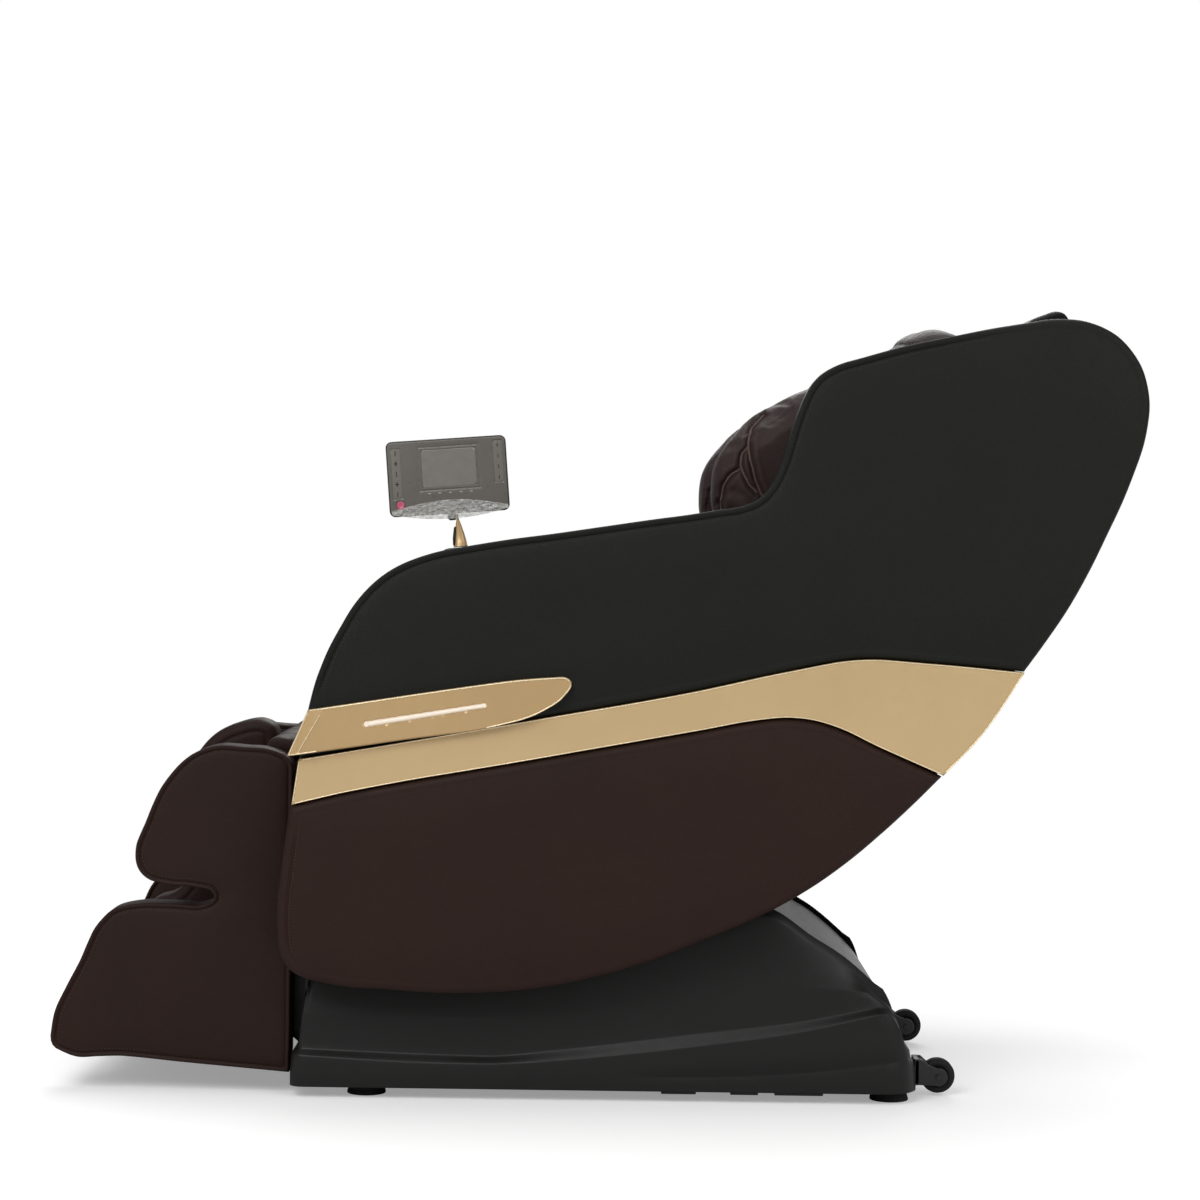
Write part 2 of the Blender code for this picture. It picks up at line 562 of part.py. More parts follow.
def cradle_frame():
    """Bent side tubes with cross tubes, tilt plates and knee lugs, welded together."""
    deck = TUBE_RADIUS + GAP
    seat_dir = (Vector(SEAT_REAR) - Vector(SEAT_FRONT)).normalized()
    down = Vector((seat_dir.y, -seat_dir.x))
    front = Vector(SEAT_FRONT) + down * deck + seat_dir * 0.012
    turn = Vector(SEAT_REAR) + down * deck - seat_dir * 0.02
    rise = back_point(0.035, TUBE_RADIUS + GAP)
    top = back_point(BACK_LONG - 0.01, TUBE_RADIUS + GAP)
    middle = ((turn.x + rise[0]) / 2 + 0.006, (turn.y + rise[2]) / 2 - 0.008)
    side = [(front.x, -TUBE_Y, front.y), (turn.x, -TUBE_Y, turn.y),
            (middle[0], -TUBE_Y, middle[1]), (rise[0], -TUBE_Y, rise[2]),
            (top[0], -TUBE_Y, top[2])]
    frame = bent_tube(side, TUBE_RADIUS, 1)
    parts = [bent_tube([(p[0], -p[1], p[2]) for p in side], TUBE_RADIUS, 1)]
    seat_low = down * (CROSS_RADIUS + GAP)
    seat_nose = Vector(SEAT_FRONT).lerp(Vector(SEAT_REAR), 0.035) + seat_low
    seat_mid = Vector(SEAT_FRONT).lerp(Vector(SEAT_REAR), 0.45) + seat_low
    seat_end = Vector(SEAT_FRONT).lerp(Vector(SEAT_REAR), 0.93) + seat_low
    crossings = [tuple(seat_nose), tuple(seat_mid), tuple(seat_end), crossing(0.07),
                 crossing(BACK_LONG - 0.03)]
    for x, z in crossings:
        parts.append(rod((x, -TUBE_Y, z), (x, TUBE_Y, z), CROSS_RADIUS, 12))
    head_reach = LUG_INNER + TILT_PLATE / 2
    pin_half = FORK_HALF + LUG_PLATE - 0.001
    parts.append(rod((TILT_HEAD_X, -head_reach, TILT_HEAD_Z + 0.035),
                     (TILT_HEAD_X, head_reach, TILT_HEAD_Z + 0.035), CROSS_RADIUS, 12))
    for side_sign in (-1, 1):
        inner, outer = LUG_INNER, LUG_INNER + TILT_PLATE
        low, high = (-outer, -inner) if side_sign < 0 else (inner, outer)
        shape = [(seat_mid.x - 0.02, seat_mid.y + 0.006, "corner"),
                 (seat_end.x + 0.012, seat_end.y + 0.004, "corner"),
                 (TILT_X + 0.022, TILT_Z - 0.006), (TILT_X, TILT_Z - 0.022),
                 (TILT_X - 0.024, TILT_Z - 0.004),
                 (TILT_HEAD_X - 0.012, TILT_HEAD_Z + 0.020)]
        tab = plate(shape, low, high, 0, 2)
        bore = rod((TILT_X, low - 0.01, TILT_Z), (TILT_X, high + 0.01, TILT_Z),
                   TILT_SHAFT_RADIUS + GAP, 24)
        parts.append(cut(tab, bore))
    for y in (-FORK_HALF - LUG_PLATE, FORK_HALF):
        ear = plate([(TILT_HEAD_X - 0.014, TILT_HEAD_Z + 0.040, "corner"),
                     (TILT_HEAD_X + 0.014, TILT_HEAD_Z + 0.040, "corner"),
                     (TILT_HEAD_X + 0.011, TILT_HEAD_Z - 0.008),
                     (TILT_HEAD_X - 0.011, TILT_HEAD_Z - 0.008)], y, y + LUG_PLATE, 0, 2)
        parts.append(ear)
        foot = plate([(KNEE_FOOT_X - 0.012, KNEE_FOOT_Z - 0.010),
                      (KNEE_FOOT_X + 0.012, KNEE_FOOT_Z - 0.010),
                      (seat_mid.x + 0.006, seat_mid.y, "corner"),
                      (seat_mid.x - 0.006, seat_mid.y, "corner")], y, y + LUG_PLATE, 0, 2)
        parts.append(foot)
    parts.append(rod((TILT_HEAD_X, -pin_half, TILT_HEAD_Z), (TILT_HEAD_X, pin_half, TILT_HEAD_Z),
                     PIN_RADIUS, 16))
    parts.append(rod((KNEE_FOOT_X, -pin_half, KNEE_FOOT_Z), (KNEE_FOOT_X, pin_half, KNEE_FOOT_Z),
                     PIN_RADIUS, 16))
    for sign in (-1, 1):
        low, high = sorted((sign * KNEE_LUG_Y, sign * (KNEE_LUG_Y + LUG_PLATE)))
        arm = plate([(front.x + 0.008, front.y + 0.006, "corner"),
                     (KNEE_X - 0.004, KNEE_Z + 0.008), (KNEE_X - 0.009, KNEE_Z),
                     (KNEE_X - 0.004, KNEE_Z - 0.008),
                     (front.x + 0.008, front.y - 0.006, "corner")], low, high, 0, 2)
        parts.append(arm)
        pin_end = sign * (KNEE_LUG_Y - 0.010)
        parts.append(rod((KNEE_X, pin_end, KNEE_Z), (KNEE_X, sign * (KNEE_LUG_Y + LUG_PLATE / 2), KNEE_Z),
                         PIN_RADIUS, 16))
    keep("cradle_frame", union(frame, *parts), STEEL, True)


def massage_drive():
    """Two channel rails behind the cushion, and the carriage with its kneading rollers."""
    rail_y, deep, wide, wall = 0.150, 0.030, 0.020, 0.003
    start, end = 0.055, BACK_LONG - 0.015
    near = 2 * (CROSS_RADIUS + GAP)
    pieces = []
    for sign in (-1, 1):
        low, high = sorted((sign * rail_y, sign * (rail_y + wide)))
        channel = block((start, low, -near - deep), (end, high, -near))
        low, high = sorted((sign * (rail_y - 0.01), sign * (rail_y + wide - wall)))
        hollow = block((start - 0.01, low, wall - near - deep), (end + 0.01, high, -near - wall))
        pieces.append(cut(channel, hollow))
    reach = rail_y + wide - 0.002
    for spot in (start + 0.005, end - 0.035):
        pieces.append(block((spot, -reach, -near - deep - 0.002),
                            (spot + 0.03, reach, wall / 2 - near - deep)))
    track = union(pieces[0], *pieces[1:])
    foot = back_point(0, 0)
    track.transform(Matrix(((BACK_ALONG.x, 0, -BACK_AWAY.x, foot[0]), (0, 1, 0, 0),
                            (BACK_ALONG.y, 0, -BACK_AWAY.y, foot[2]), (0, 0, 0, 1))))
    keep("massage_track", track, ZINC)
    middle = BACK_LONG / 2
    low, high = near + wall + GAP, near + deep - wall - GAP
    clear = KNEAD_AWAY + KNEAD_RADIUS + 0.003
    body = back_bar(middle - 0.060, middle + 0.060, clear, clear + 0.040, -0.130, 0.130)
    guides = []
    for sign in (-1, 1):
        for spot in (-0.045, 0.045):
            a = back_point(middle + spot, (low + high) / 2, sign * 0.124)
            b = back_point(middle + spot, (low + high) / 2, sign * (rail_y + wide - wall - 0.001))
            guides.append(rod(a, b, (high - low) / 2, 14))
    arms = []
    for sign in (-1, 1):
        cheek = sorted((sign * 0.118, sign * 0.128))
        arms.append(back_bar(middle - 0.056, middle + 0.056, low + 0.002, clear + 0.004, *cheek))
        inner, outer = sorted((sign * (KNEAD_LOW - 0.0085), sign * (KNEAD_LOW - PIVOT_GAP)))
        arms.append(back_bar(middle - 0.016, middle + 0.016, KNEAD_AWAY - 0.006, clear + 0.004,
                             inner, outer))
        a = back_point(middle, KNEAD_AWAY, sign * (KNEAD_LOW - 0.0075))
        b = back_point(middle, KNEAD_AWAY, sign * (KNEAD_HIGH + 0.0015))
        arms.append(rod(a, b, PIN_RADIUS, 12))
    keep("massage_carriage", union(body, *guides, *arms), BLACK_PLASTIC, True)
    for sign, stem in ((-1, "left"), (1, "right")):
        a = back_point(middle, KNEAD_AWAY, sign * KNEAD_LOW)
        b = back_point(middle, KNEAD_AWAY, sign * KNEAD_HIGH)
        wheel = rod(a, b, KNEAD_RADIUS, 24)
        hole_a = back_point(middle, KNEAD_AWAY, sign * 0.040)
        hole_b = back_point(middle, KNEAD_AWAY, sign * 0.110)
        wheel = cut(wheel, rod(hole_a, hole_b, PIN_RADIUS + GAP, 16))
        keep("kneading_roller_" + stem, wheel, RUBBER, True)


def back_bar(along_low, along_high, away_low, away_high, y_low, y_high):
    """A box in the backrest's own directions."""
    a, b = back_point(along_low, away_low), back_point(along_high, away_low)
    c, d = back_point(along_high, away_high), back_point(along_low, away_high)
    outline = [(p[0], p[2], "corner") for p in (a, b, c, d)]
    return plate(outline, y_low, y_high, 0, 1)


# ---------------------------------------------------------------- base


def between(x, table):
    """Height of a drawn line at x, read between its points."""
    if x <= table[0][0]:
        return table[0][1]
    for (x0, z0), (x1, z1) in zip(table, table[1:]):
        if x <= x1:
            share = (x - x0) / (x1 - x0)
            return z0 + (z1 - z0) * share
    return table[-1][1]


BASE_TOP = drawn([(-0.429, 0.200), (-0.200, 0.209), (0.000, 0.232), (0.150, 0.257),
                  (0.257, 0.2765), (0.323, 0.234), (0.359, 0.212), (0.411, 0.1685),
                  (0.446, 0.135), (0.464, 0.081), (0.472, 0.074)])
STEP_TOP = drawn([(-0.429, 0.070), (-0.237, 0.064), (-0.140, 0.062), (-0.044, 0.072),
                  (0.154, 0.098), (0.294, 0.116), (0.440, 0.144)])
STEP_LOW = drawn([(-0.429, 0.062), (-0.237, 0.053), (-0.140, 0.0525), (-0.044, 0.059),
                  (0.154, 0.081), (0.294, 0.102), (0.440, 0.137)])
CREASE = drawn([(-0.429, 0.117), (-0.130, 0.117), (0.100, 0.131), (0.294, 0.166),
                (0.440, 0.156)])
SKIRT = drawn([(-0.429, 0.038), (0.116, 0.037), (0.224, 0.040), (0.329, 0.048),
               (0.458, 0.0655)])
DECK = drawn([(0.130, 0.247), (0.253, 0.2705), (0.320, 0.228), (0.356, 0.206),
              (0.407, 0.163), (0.436, 0.127), (0.4565, 0.070)])


def base_cover():
    """One moulded side of the base: a wall round half the plan, with its step and creases."""
    half = BASE_WIDTH / 2
    reach = 0.195
    corner = 0.020
    plan = [(BASE_FRONT + 0.006, -reach), (BASE_FRONT, -reach - 0.006)]
    plan += [(BASE_FRONT, -half + corner + 0.02)]
    for i in range(5):
        angle = math.radians(90 * i / 4)
        plan.append((BASE_FRONT + corner - corner * math.cos(angle),
                     -half + corner - corner * math.sin(angle)))
    run_start, run_end = BASE_FRONT + corner, BASE_REAR - BASE_CORNER
    for i in range(1, 11):
        plan.append((run_start + (run_end - run_start) * i / 10, -half))
    for i in range(1, 8):
        angle = math.radians(90 * i / 7)
        plan.append((run_end + BASE_CORNER * math.sin(angle),
                     -half + BASE_CORNER - BASE_CORNER * math.cos(angle)))
    plan += [(BASE_REAR, -0.09), (BASE_REAR, -GAP / 2)]
    bm = bmesh.new()
    columns = []
    count = len(plan)
    for i, (x, y) in enumerate(plan):
        before, after = Vector(plan[max(i - 1, 0)]), Vector(plan[min(i + 1, count - 1)])
        along = (after - before).normalized()
        inward = Vector((-along.y, along.x))
        if i in (0, 1):
            inward = Vector((1, 0))
        if i >= count - 2:
            inward = Vector((-1, 0))
        top = between(x, BASE_TOP)
        marks = [BASE_FLOOR, between(x, SKIRT), between(x, STEP_LOW), between(x, STEP_TOP),
                 max(between(x, CREASE), between(x, STEP_TOP) + 0.012), top - 0.012, top]
        depths = [0.000, 0.0000, 0.0015, 0.0105, 0.0155, 0.030, 0.036]
        for k in range(len(marks) - 2, -1, -1):
            marks[k] = min(marks[k], marks[k + 1] - 0.006)
        column = []
        turned = min(1.0, max(0.0, (x - run_end) / BASE_CORNER))
        for z, depth in zip(marks, depths):
            place = Vector((x, y)) + inward * depth * (1 - 0.75 * turned)
            if y > -GAP:
                place.y = -GAP / 2
            column.append(bm.verts.new((place.x, place.y, z)))
        columns.append(column)
    for first, second in zip(columns, columns[1:]):
        for k in range(len(first) - 1):
            bm.faces.new((first[k], second[k], second[k + 1], first[k + 1]))
    mesh = bpy.data.meshes.new("work")
    bm.to_mesh(mesh)
    bm.free()
    skin = bpy.data.objects.new("skin", mesh)
    chair.objects.link(skin)
    wall = skin.modifiers.new("wall", "SOLIDIFY")
    wall.thickness = COVER_WALL
    wall.offset = -1.0
    result = evaluated_mesh(skin)
    bpy.data.objects.remove(skin, do_unlink=True)
    return result


def base_covers():
    cover = base_cover()
    keep("base_cover_left", cover.copy(), GREY_PLASTIC, True)
    right = mirrored(cover)
    up = INLET_HIGH / 2 + GAP
    across = INLET_WIDE / 2 + GAP
    hole = block((BASE_REAR - 0.03, INLET_Y - across, INLET_Z - up),
                 (BASE_REAR + 0.03, INLET_Y + across, INLET_Z + up))
    across = SWITCH_WIDE / 2 + GAP
    switch_hole = block((BASE_REAR - 0.03, SWITCH_Y - across, INLET_Z - up),
                        (BASE_REAR + 0.03, SWITCH_Y + across, INLET_Z + up))
    keep("base_cover_right", cut(right, hole, switch_hole), GREY_PLASTIC, True)
    bpy.data.meshes.remove(cover)


def power_entry():
    outside = BASE_REAR + GAP
    wide, high = INLET_WIDE / 2, INLET_HIGH / 2
    body = block((BASE_REAR - 0.022, INLET_Y - wide, INLET_Z - high),
                 (outside + 0.001, INLET_Y + wide, INLET_Z + high))
    rim = block((outside, INLET_Y - wide - 0.0025, INLET_Z - high - 0.0025),
                (outside + 0.003, INLET_Y + wide + 0.0025, INLET_Z + high + 0.0025), 0.001, 1)
    socket = block((BASE_REAR - 0.014, INLET_Y - wide + 0.003, INLET_Z - high + 0.003),
                   (outside + 0.01, INLET_Y + wide - 0.003, INLET_Z + high - 0.003))
    inlet = cut(union(body, rim), socket)
    for k, y in enumerate((-0.006, 0.0, 0.006)):
        height = INLET_Z + (0.002 if k == 1 else -0.002)
        inlet = union(inlet, block((BASE_REAR - 0.016, INLET_Y + y - 0.001, height - 0.002),
                                   (BASE_REAR - 0.004, INLET_Y + y + 0.001, height + 0.002)))
    keep("power_inlet", inlet, BLACK_PLASTIC)
    rocker = plate([(BASE_REAR - 0.006, INLET_Z - 0.0090, "corner"),
                    (BASE_REAR - 0.006, INLET_Z + 0.0090, "corner"),
                    (BASE_REAR + 0.0045, INLET_Z + 0.0088, "corner"),
                    (BASE_REAR + 0.0015, INLET_Z, "corner"),
                    (BASE_REAR + 0.0010, INLET_Z - 0.0088, "corner")],
                   SWITCH_Y - SWITCH_WIDE / 2, SWITCH_Y + SWITCH_WIDE / 2, 0, 1)
    keep("power_switch", rocker, BLACK_PLASTIC)


def rear_deck():
    """Black sloping deck between the covers, under the back of the shell."""
    rear, round_by = DECK[-1][0] + 0.002, 0.042
    plan = [(DECK[0][0] - 0.01, -DECK_HALF, "corner"), (DECK[0][0] - 0.01, DECK_HALF, "corner"),
            (rear - round_by, DECK_HALF, "corner"), (rear - round_by * 0.3, DECK_HALF - round_by * 0.3),
            (rear, DECK_HALF - round_by, "corner"), (rear, -DECK_HALF + round_by, "corner"),
            (rear - round_by * 0.3, -DECK_HALF + round_by * 0.3),
            (rear - round_by, -DECK_HALF, "corner")]
    shape = plate(plan, -0.4, 0.4, 0, 3)
    shape.transform(Matrix.Rotation(math.radians(-90), 4, "X"))
    deck = combine(sheet(DECK, DECK_THICK, DECK_HALF + 0.01), [shape], "INTERSECT")
    keep("base_deck", deck, BLACK_PLASTIC, True)


def front_panel():
    _, top = at(0, 0.186)
    keep("base_front_panel",
         block((BASE_FRONT + 0.004, -0.1945, BASE_FLOOR + 0.001), (BASE_FRONT + 0.007, 0.1945, top)),
         GREY_PLASTIC)


def base_frame():
    front, rear = BASE_FRONT + 0.0125, BASE_REAR - 0.020
    side_reach = BASE_WIDTH / 2 - COVER_WALL - GAP - 0.0012
    frame = block((front, -RAIL_Y - RAIL_SIZE / 2, BASE_FLOOR),
                  (rear, -RAIL_Y + RAIL_SIZE / 2, RAIL_TOP))
    parts = [block((front, RAIL_Y - RAIL_SIZE / 2, BASE_FLOOR),
                   (rear, RAIL_Y + RAIL_SIZE / 2, RAIL_TOP))]
    parts.append(block((front, -side_reach + 0.02, BASE_FLOOR + 0.002),
                       (front + RAIL_SIZE, side_reach - 0.02, RAIL_TOP - 0.002)))
    for x in (TILT_FOOT_X, TILT_X):
        parts.append(block((x - 0.015, -side_reach, BASE_FLOOR + 0.002),
                           (x + 0.015, side_reach, RAIL_TOP - 0.002)))
    parts.append(block((rear - 0.110, -side_reach + 0.012, BASE_FLOOR + 0.002),
                       (rear - 0.080, side_reach - 0.012, RAIL_TOP - 0.002)))
    parts.append(block((rear - 0.018, -RAIL_Y, BASE_FLOOR + 0.002),
                       (BASE_REAR - 0.024, RAIL_Y - 0.02, RAIL_TOP - 0.004)))
    parts.append(block((TILT_X + 0.010, -RAIL_Y, RAIL_TOP - 0.003),
                       (rear - 0.085, RAIL_Y, RAIL_TOP)))
    for sign in (-1, 1):
        low, high = sorted((sign * UPRIGHT_INNER, sign * (UPRIGHT_INNER + TILT_PLATE)))
        upright = plate([(TILT_X - 0.050, RAIL_TOP - 0.004, "corner"),
                         (TILT_X - 0.020, TILT_Z), (TILT_X, TILT_Z + 0.020),
                         (TILT_X + 0.020, TILT_Z), (TILT_X + 0.050, RAIL_TOP - 0.004, "corner")],
                        low, high, 0, 3)
        bore = rod((TILT_X, low - 0.01, TILT_Z), (TILT_X, high + 0.01, TILT_Z),
                   TILT_SHAFT_RADIUS + GAP, 24)
        parts.append(cut(upright, bore))
    for y in (-FORK_HALF - LUG_PLATE, FORK_HALF):
        parts.append(plate([(TILT_FOOT_X - 0.014, RAIL_TOP - 0.006, "corner"),
                            (TILT_FOOT_X - 0.010, TILT_FOOT_Z + 0.008),
                            (TILT_FOOT_X + 0.010, TILT_FOOT_Z + 0.008),
                            (TILT_FOOT_X + 0.014, RAIL_TOP - 0.006, "corner")],
                           y, y + LUG_PLATE, 0, 2))
    pin_half = FORK_HALF + LUG_PLATE - 0.001
    parts.append(rod((TILT_FOOT_X, -pin_half, TILT_FOOT_Z), (TILT_FOOT_X, pin_half, TILT_FOOT_Z),
                     PIN_RADIUS, 16))
    rest = inset(DECK, DECK_THICK + GAP)
    for sign in (-1, 1):
        low, high = sorted((sign * 0.150, sign * 0.156))
        upper = [(*point[:2], "corner") for point in rest[1:4]]
        parts.append(plate([(upper[0][0], RAIL_TOP - 0.002, "corner"), *upper,
                            (upper[2][0], RAIL_TOP - 0.002, "corner")], low, high, 0, 1))
    keep("base_frame", union(frame, *parts), STEEL, True)
    shaft_end = UPRIGHT_INNER + TILT_PLATE + 0.004
    keep("tilt_shaft", rod((TILT_X, -shaft_end, TILT_Z), (TILT_X, shaft_end, TILT_Z),
                           TILT_SHAFT_RADIUS, 24), ZINC, True)


def feet_and_wheels():
    for stem, x in (("front", -0.322), ("rear", 0.434)):
        for side, sign in (("left", -1), ("right", 1)):
            px, _ = at(x, 0)
            foot = rod((px, sign * RAIL_Y, 0), (px, sign * RAIL_Y, BASE_FLOOR - GAP),
                       FOOT_RADIUS * 0.9, 24, FOOT_RADIUS)
            keep("foot_%s_%s" % (stem, side), foot, RUBBER, True)
    for side, sign in (("left", -1), ("right", 1)):
        y = sign * WHEEL_SPREAD / 2
        wheel = rod((WHEEL_X, y - WHEEL_WIDTH / 2, WHEEL_Z), (WHEEL_X, y + WHEEL_WIDTH / 2, WHEEL_Z),
                    WHEEL_RADIUS, 28)
        bore = rod((WHEEL_X, y - 0.05, WHEEL_Z), (WHEEL_X, y + 0.05, WHEEL_Z),
                   PIN_RADIUS + WHEEL_BORE_GAP, 16)
        face = y + sign * (WHEEL_WIDTH / 2 - 0.003)
        dish = rod((WHEEL_X, face, WHEEL_Z), (WHEEL_X, face + sign * 0.05, WHEEL_Z),
                   WHEEL_RADIUS * 0.62, 20)
        keep("wheel_" + side, cut(wheel, bore, dish), RUBBER, True)
        plate_back = BASE_REAR + GAP
        bracket = block((plate_back, y - 0.020, BASE_FLOOR), (plate_back + 0.004, y + 0.020, 0.056),
                        0.001, 1)
        cheeks = []
        for cheek in (-1, 1):
            start = y + cheek * (WHEEL_WIDTH / 2 + CHEEK_GAP)
            low, high = sorted((start, start + cheek * CHEEK_PLATE))
            cheeks.append(plate([(plate_back + 0.001, 0.016, "corner"),
                                 (plate_back + 0.001, 0.052, "corner"),
                                 (WHEEL_X - 0.004, WHEEL_Z + 0.010),
                                 (WHEEL_X + 0.009, WHEEL_Z), (WHEEL_X - 0.004, WHEEL_Z - 0.010)],
                                low, high, 0, 2))
        reach = WHEEL_WIDTH / 2 + CHEEK_GAP + CHEEK_PLATE / 2
        pin = rod((WHEEL_X, y - reach, WHEEL_Z), (WHEEL_X, y + reach, WHEEL_Z), PIN_RADIUS, 16)
        keep("wheel_bracket_" + side, union(bracket, *cheeks, pin), BLACK_PLASTIC, True)


def base_equipment():
    floor = RAIL_TOP + GAP
    box = block((TILT_X + 0.06, -0.140, floor), (TILT_X + 0.24, -0.020, floor + 0.060), 0.004, 1)
    keep("control_box", box, BLACK_PLASTIC)
    x, y = TILT_X + 0.12, 0.075
    pump = rod((x - 0.055, y, floor + 0.038), (x + 0.055, y, floor + 0.038), 0.034, 24)
    foot = block((x - 0.045, y - 0.034, floor), (x + 0.045, y + 0.034, floor + 0.012))
    port = rod((x - 0.02, y, floor + 0.06), (x - 0.02, y, floor + 0.088), 0.006, 12)
    keep("air_pump", union(pump, foot, port), ZINC, True)


# ---------------------------------------------------------------- actuators
def actuator(stem, foot, head, tube_share, motor_side, eye_bore):
    """A linear actuator between two pins: a motor with its tube, and the rod in it."""
    foot, head = Vector((foot[0], 0, foot[1])), Vector((head[0], 0, head[1]))
    along = (head - foot).normalized()
    across = Vector((-along.z, 0, along.x)) * motor_side
    length = (head - foot).length
    eye = rod(foot + Vector((0, -EYE_HALF, 0)), foot + Vector((0, EYE_HALF, 0)), 0.013, 20)
    tube_end = foot + along * (length * tube_share)
    tube = rod(foot + along * 0.006, tube_end, ROD_TUBE_RADIUS, 20)
    gear = rod(foot + along * 0.018 + across * 0.002, foot + along * 0.050 + across * 0.002,
               0.0225, 20)
    motor_start = foot + along * 0.034 + across * (ROD_TUBE_RADIUS + MOTOR_RADIUS - 0.006)
    motor = rod(motor_start - along * 0.020, motor_start + along * 0.085, MOTOR_RADIUS, 24)
    case = union(tube, gear, motor, eye)
    bore = rod(foot + Vector((0, -0.05, 0)), foot + Vector((0, 0.05, 0)), PIN_RADIUS + GAP, 16)
    hollow = rod(foot + along * 0.055, tube_end + along * 0.01, ROD_RADIUS + GAP, 16)
    keep(stem + "_motor", cut(case, bore, hollow), BLACK_PLASTIC, True)
    shaft = rod(foot + along * 0.058, head - along * (eye_bore + 0.001), ROD_RADIUS, 16)
    half = HEAD_EYE_HALF
    end_eye = rod(head + Vector((0, -half, 0)), head + Vector((0, half, 0)), eye_bore + 0.005, 24)
    end_bore = rod(head + Vector((0, -0.05, 0)), head + Vector((0, 0.05, 0)), eye_bore, 24)
    keep(stem + "_rod", cut(union(shaft, end_eye), end_bore), ZINC, True)


# ---------------------------------------------------------------- leg rest
LEG_FLOOR = drawn([(-0.745, 0.062), (-0.470, 0.040)])
LEG_WALL_OUTLINE = drawn([
    (-0.4320, 0.455, "corner"), (-0.435, 0.479), (-0.452, 0.492), (-0.500, 0.499),
    (-0.556, 0.497), (-0.603, 0.464),
    (-0.644, 0.386), (-0.657, 0.340), (-0.645, 0.312), (-0.612, 0.300), (-0.570, 0.296),
    (-0.543, 0.285), (-0.552, 0.274), (-0.600, 0.272), (-0.664, 0.270), (-0.696, 0.257),
    (-0.735, 0.188), (-0.7757, 0.080), (-0.768, 0.062), (-0.670, 0.052),
    (-0.4320, 0.032, "corner")])
DIVIDER_OUTLINE = drawn([
    (-0.4800, 0.490, "corner"), (-0.492, 0.517), (-0.545, 0.517), (-0.595, 0.484), (-0.632, 0.400),
    (-0.638, 0.340), (-0.615, 0.300), (-0.632, 0.262), (-0.672, 0.244), (-0.704, 0.190),
    (-0.735, 0.115, "corner"), (-0.4800, 0.095, "corner")])


def leg_rest():
    wall = plate(LEG_WALL_OUTLINE, -LEG_HALF, -LEG_INNER, 0.004, 3, 0)
    keep_pair("legrest_wall", wall, BROWN_LEATHER, True)
    inside = LEG_INNER - GAP
    board_front = LEG_BOARD_BACK - LEG_BOARD
    top = at(0, 0.484)[1]
    floor_rear = LEG_FLOOR[1][1] + 0.006
    floor_front = LEG_FLOOR[0][1] + 0.002
    toe = LEG_FLOOR[0][0]
    shell = plate([(LEG_BOARD_BACK, top, "corner"), (board_front, top, "corner"),
                   (board_front, floor_rear + LEG_BOARD, "corner"),
                   (toe, floor_front + LEG_BOARD, "corner"), (toe, floor_front, "corner"),
                   (LEG_BOARD_BACK, floor_rear, "corner")], -inside, inside, 0, 1)
    keep("legrest_shell", shell, BLACK_PLASTIC)
    front = board_front - GAP
    calf_half = (LEG_INNER - LEG_DIVIDER / 2) / 2 - SEAT_CLEAR / 2
    calf_y = (LEG_INNER + LEG_DIVIDER / 2) / 2
    low, high = at(0, 0.290)[1], at(0, 0.500)[1]
    for side, sign in (("left", -1), ("right", 1)):
        pad = pad_along((front, high), (front, low), -CALF_PAD, -CALF_PAD, calf_half, 3, 0.2,
                        sign * calf_y)
        keep("calf_pad_" + side, pad, BROWN_LEATHER, True)
    outline = [(min(p[0], front), *p[1:]) for p in DIVIDER_OUTLINE]
    divider = plate(outline, -LEG_DIVIDER / 2, LEG_DIVIDER / 2, 0.010, 3, 1)
    keep("legrest_divider", divider, BROWN_LEATHER, True)
    slope = (floor_rear - floor_front) / (board_front - toe)
    start_x, end_x = toe + 0.012, front - 0.006
    start = Vector((start_x, floor_front + LEG_BOARD + GAP + slope * (start_x - toe)))
    end = Vector((end_x, floor_front + LEG_BOARD + GAP + slope * (end_x - toe)))
    sole = pad_along(start, end, SOLE_PAD, SOLE_PAD, inside - SEAT_CLEAR, 4, 0.2)
    keep("sole_pad", sole, BROWN_LEATHER, True)


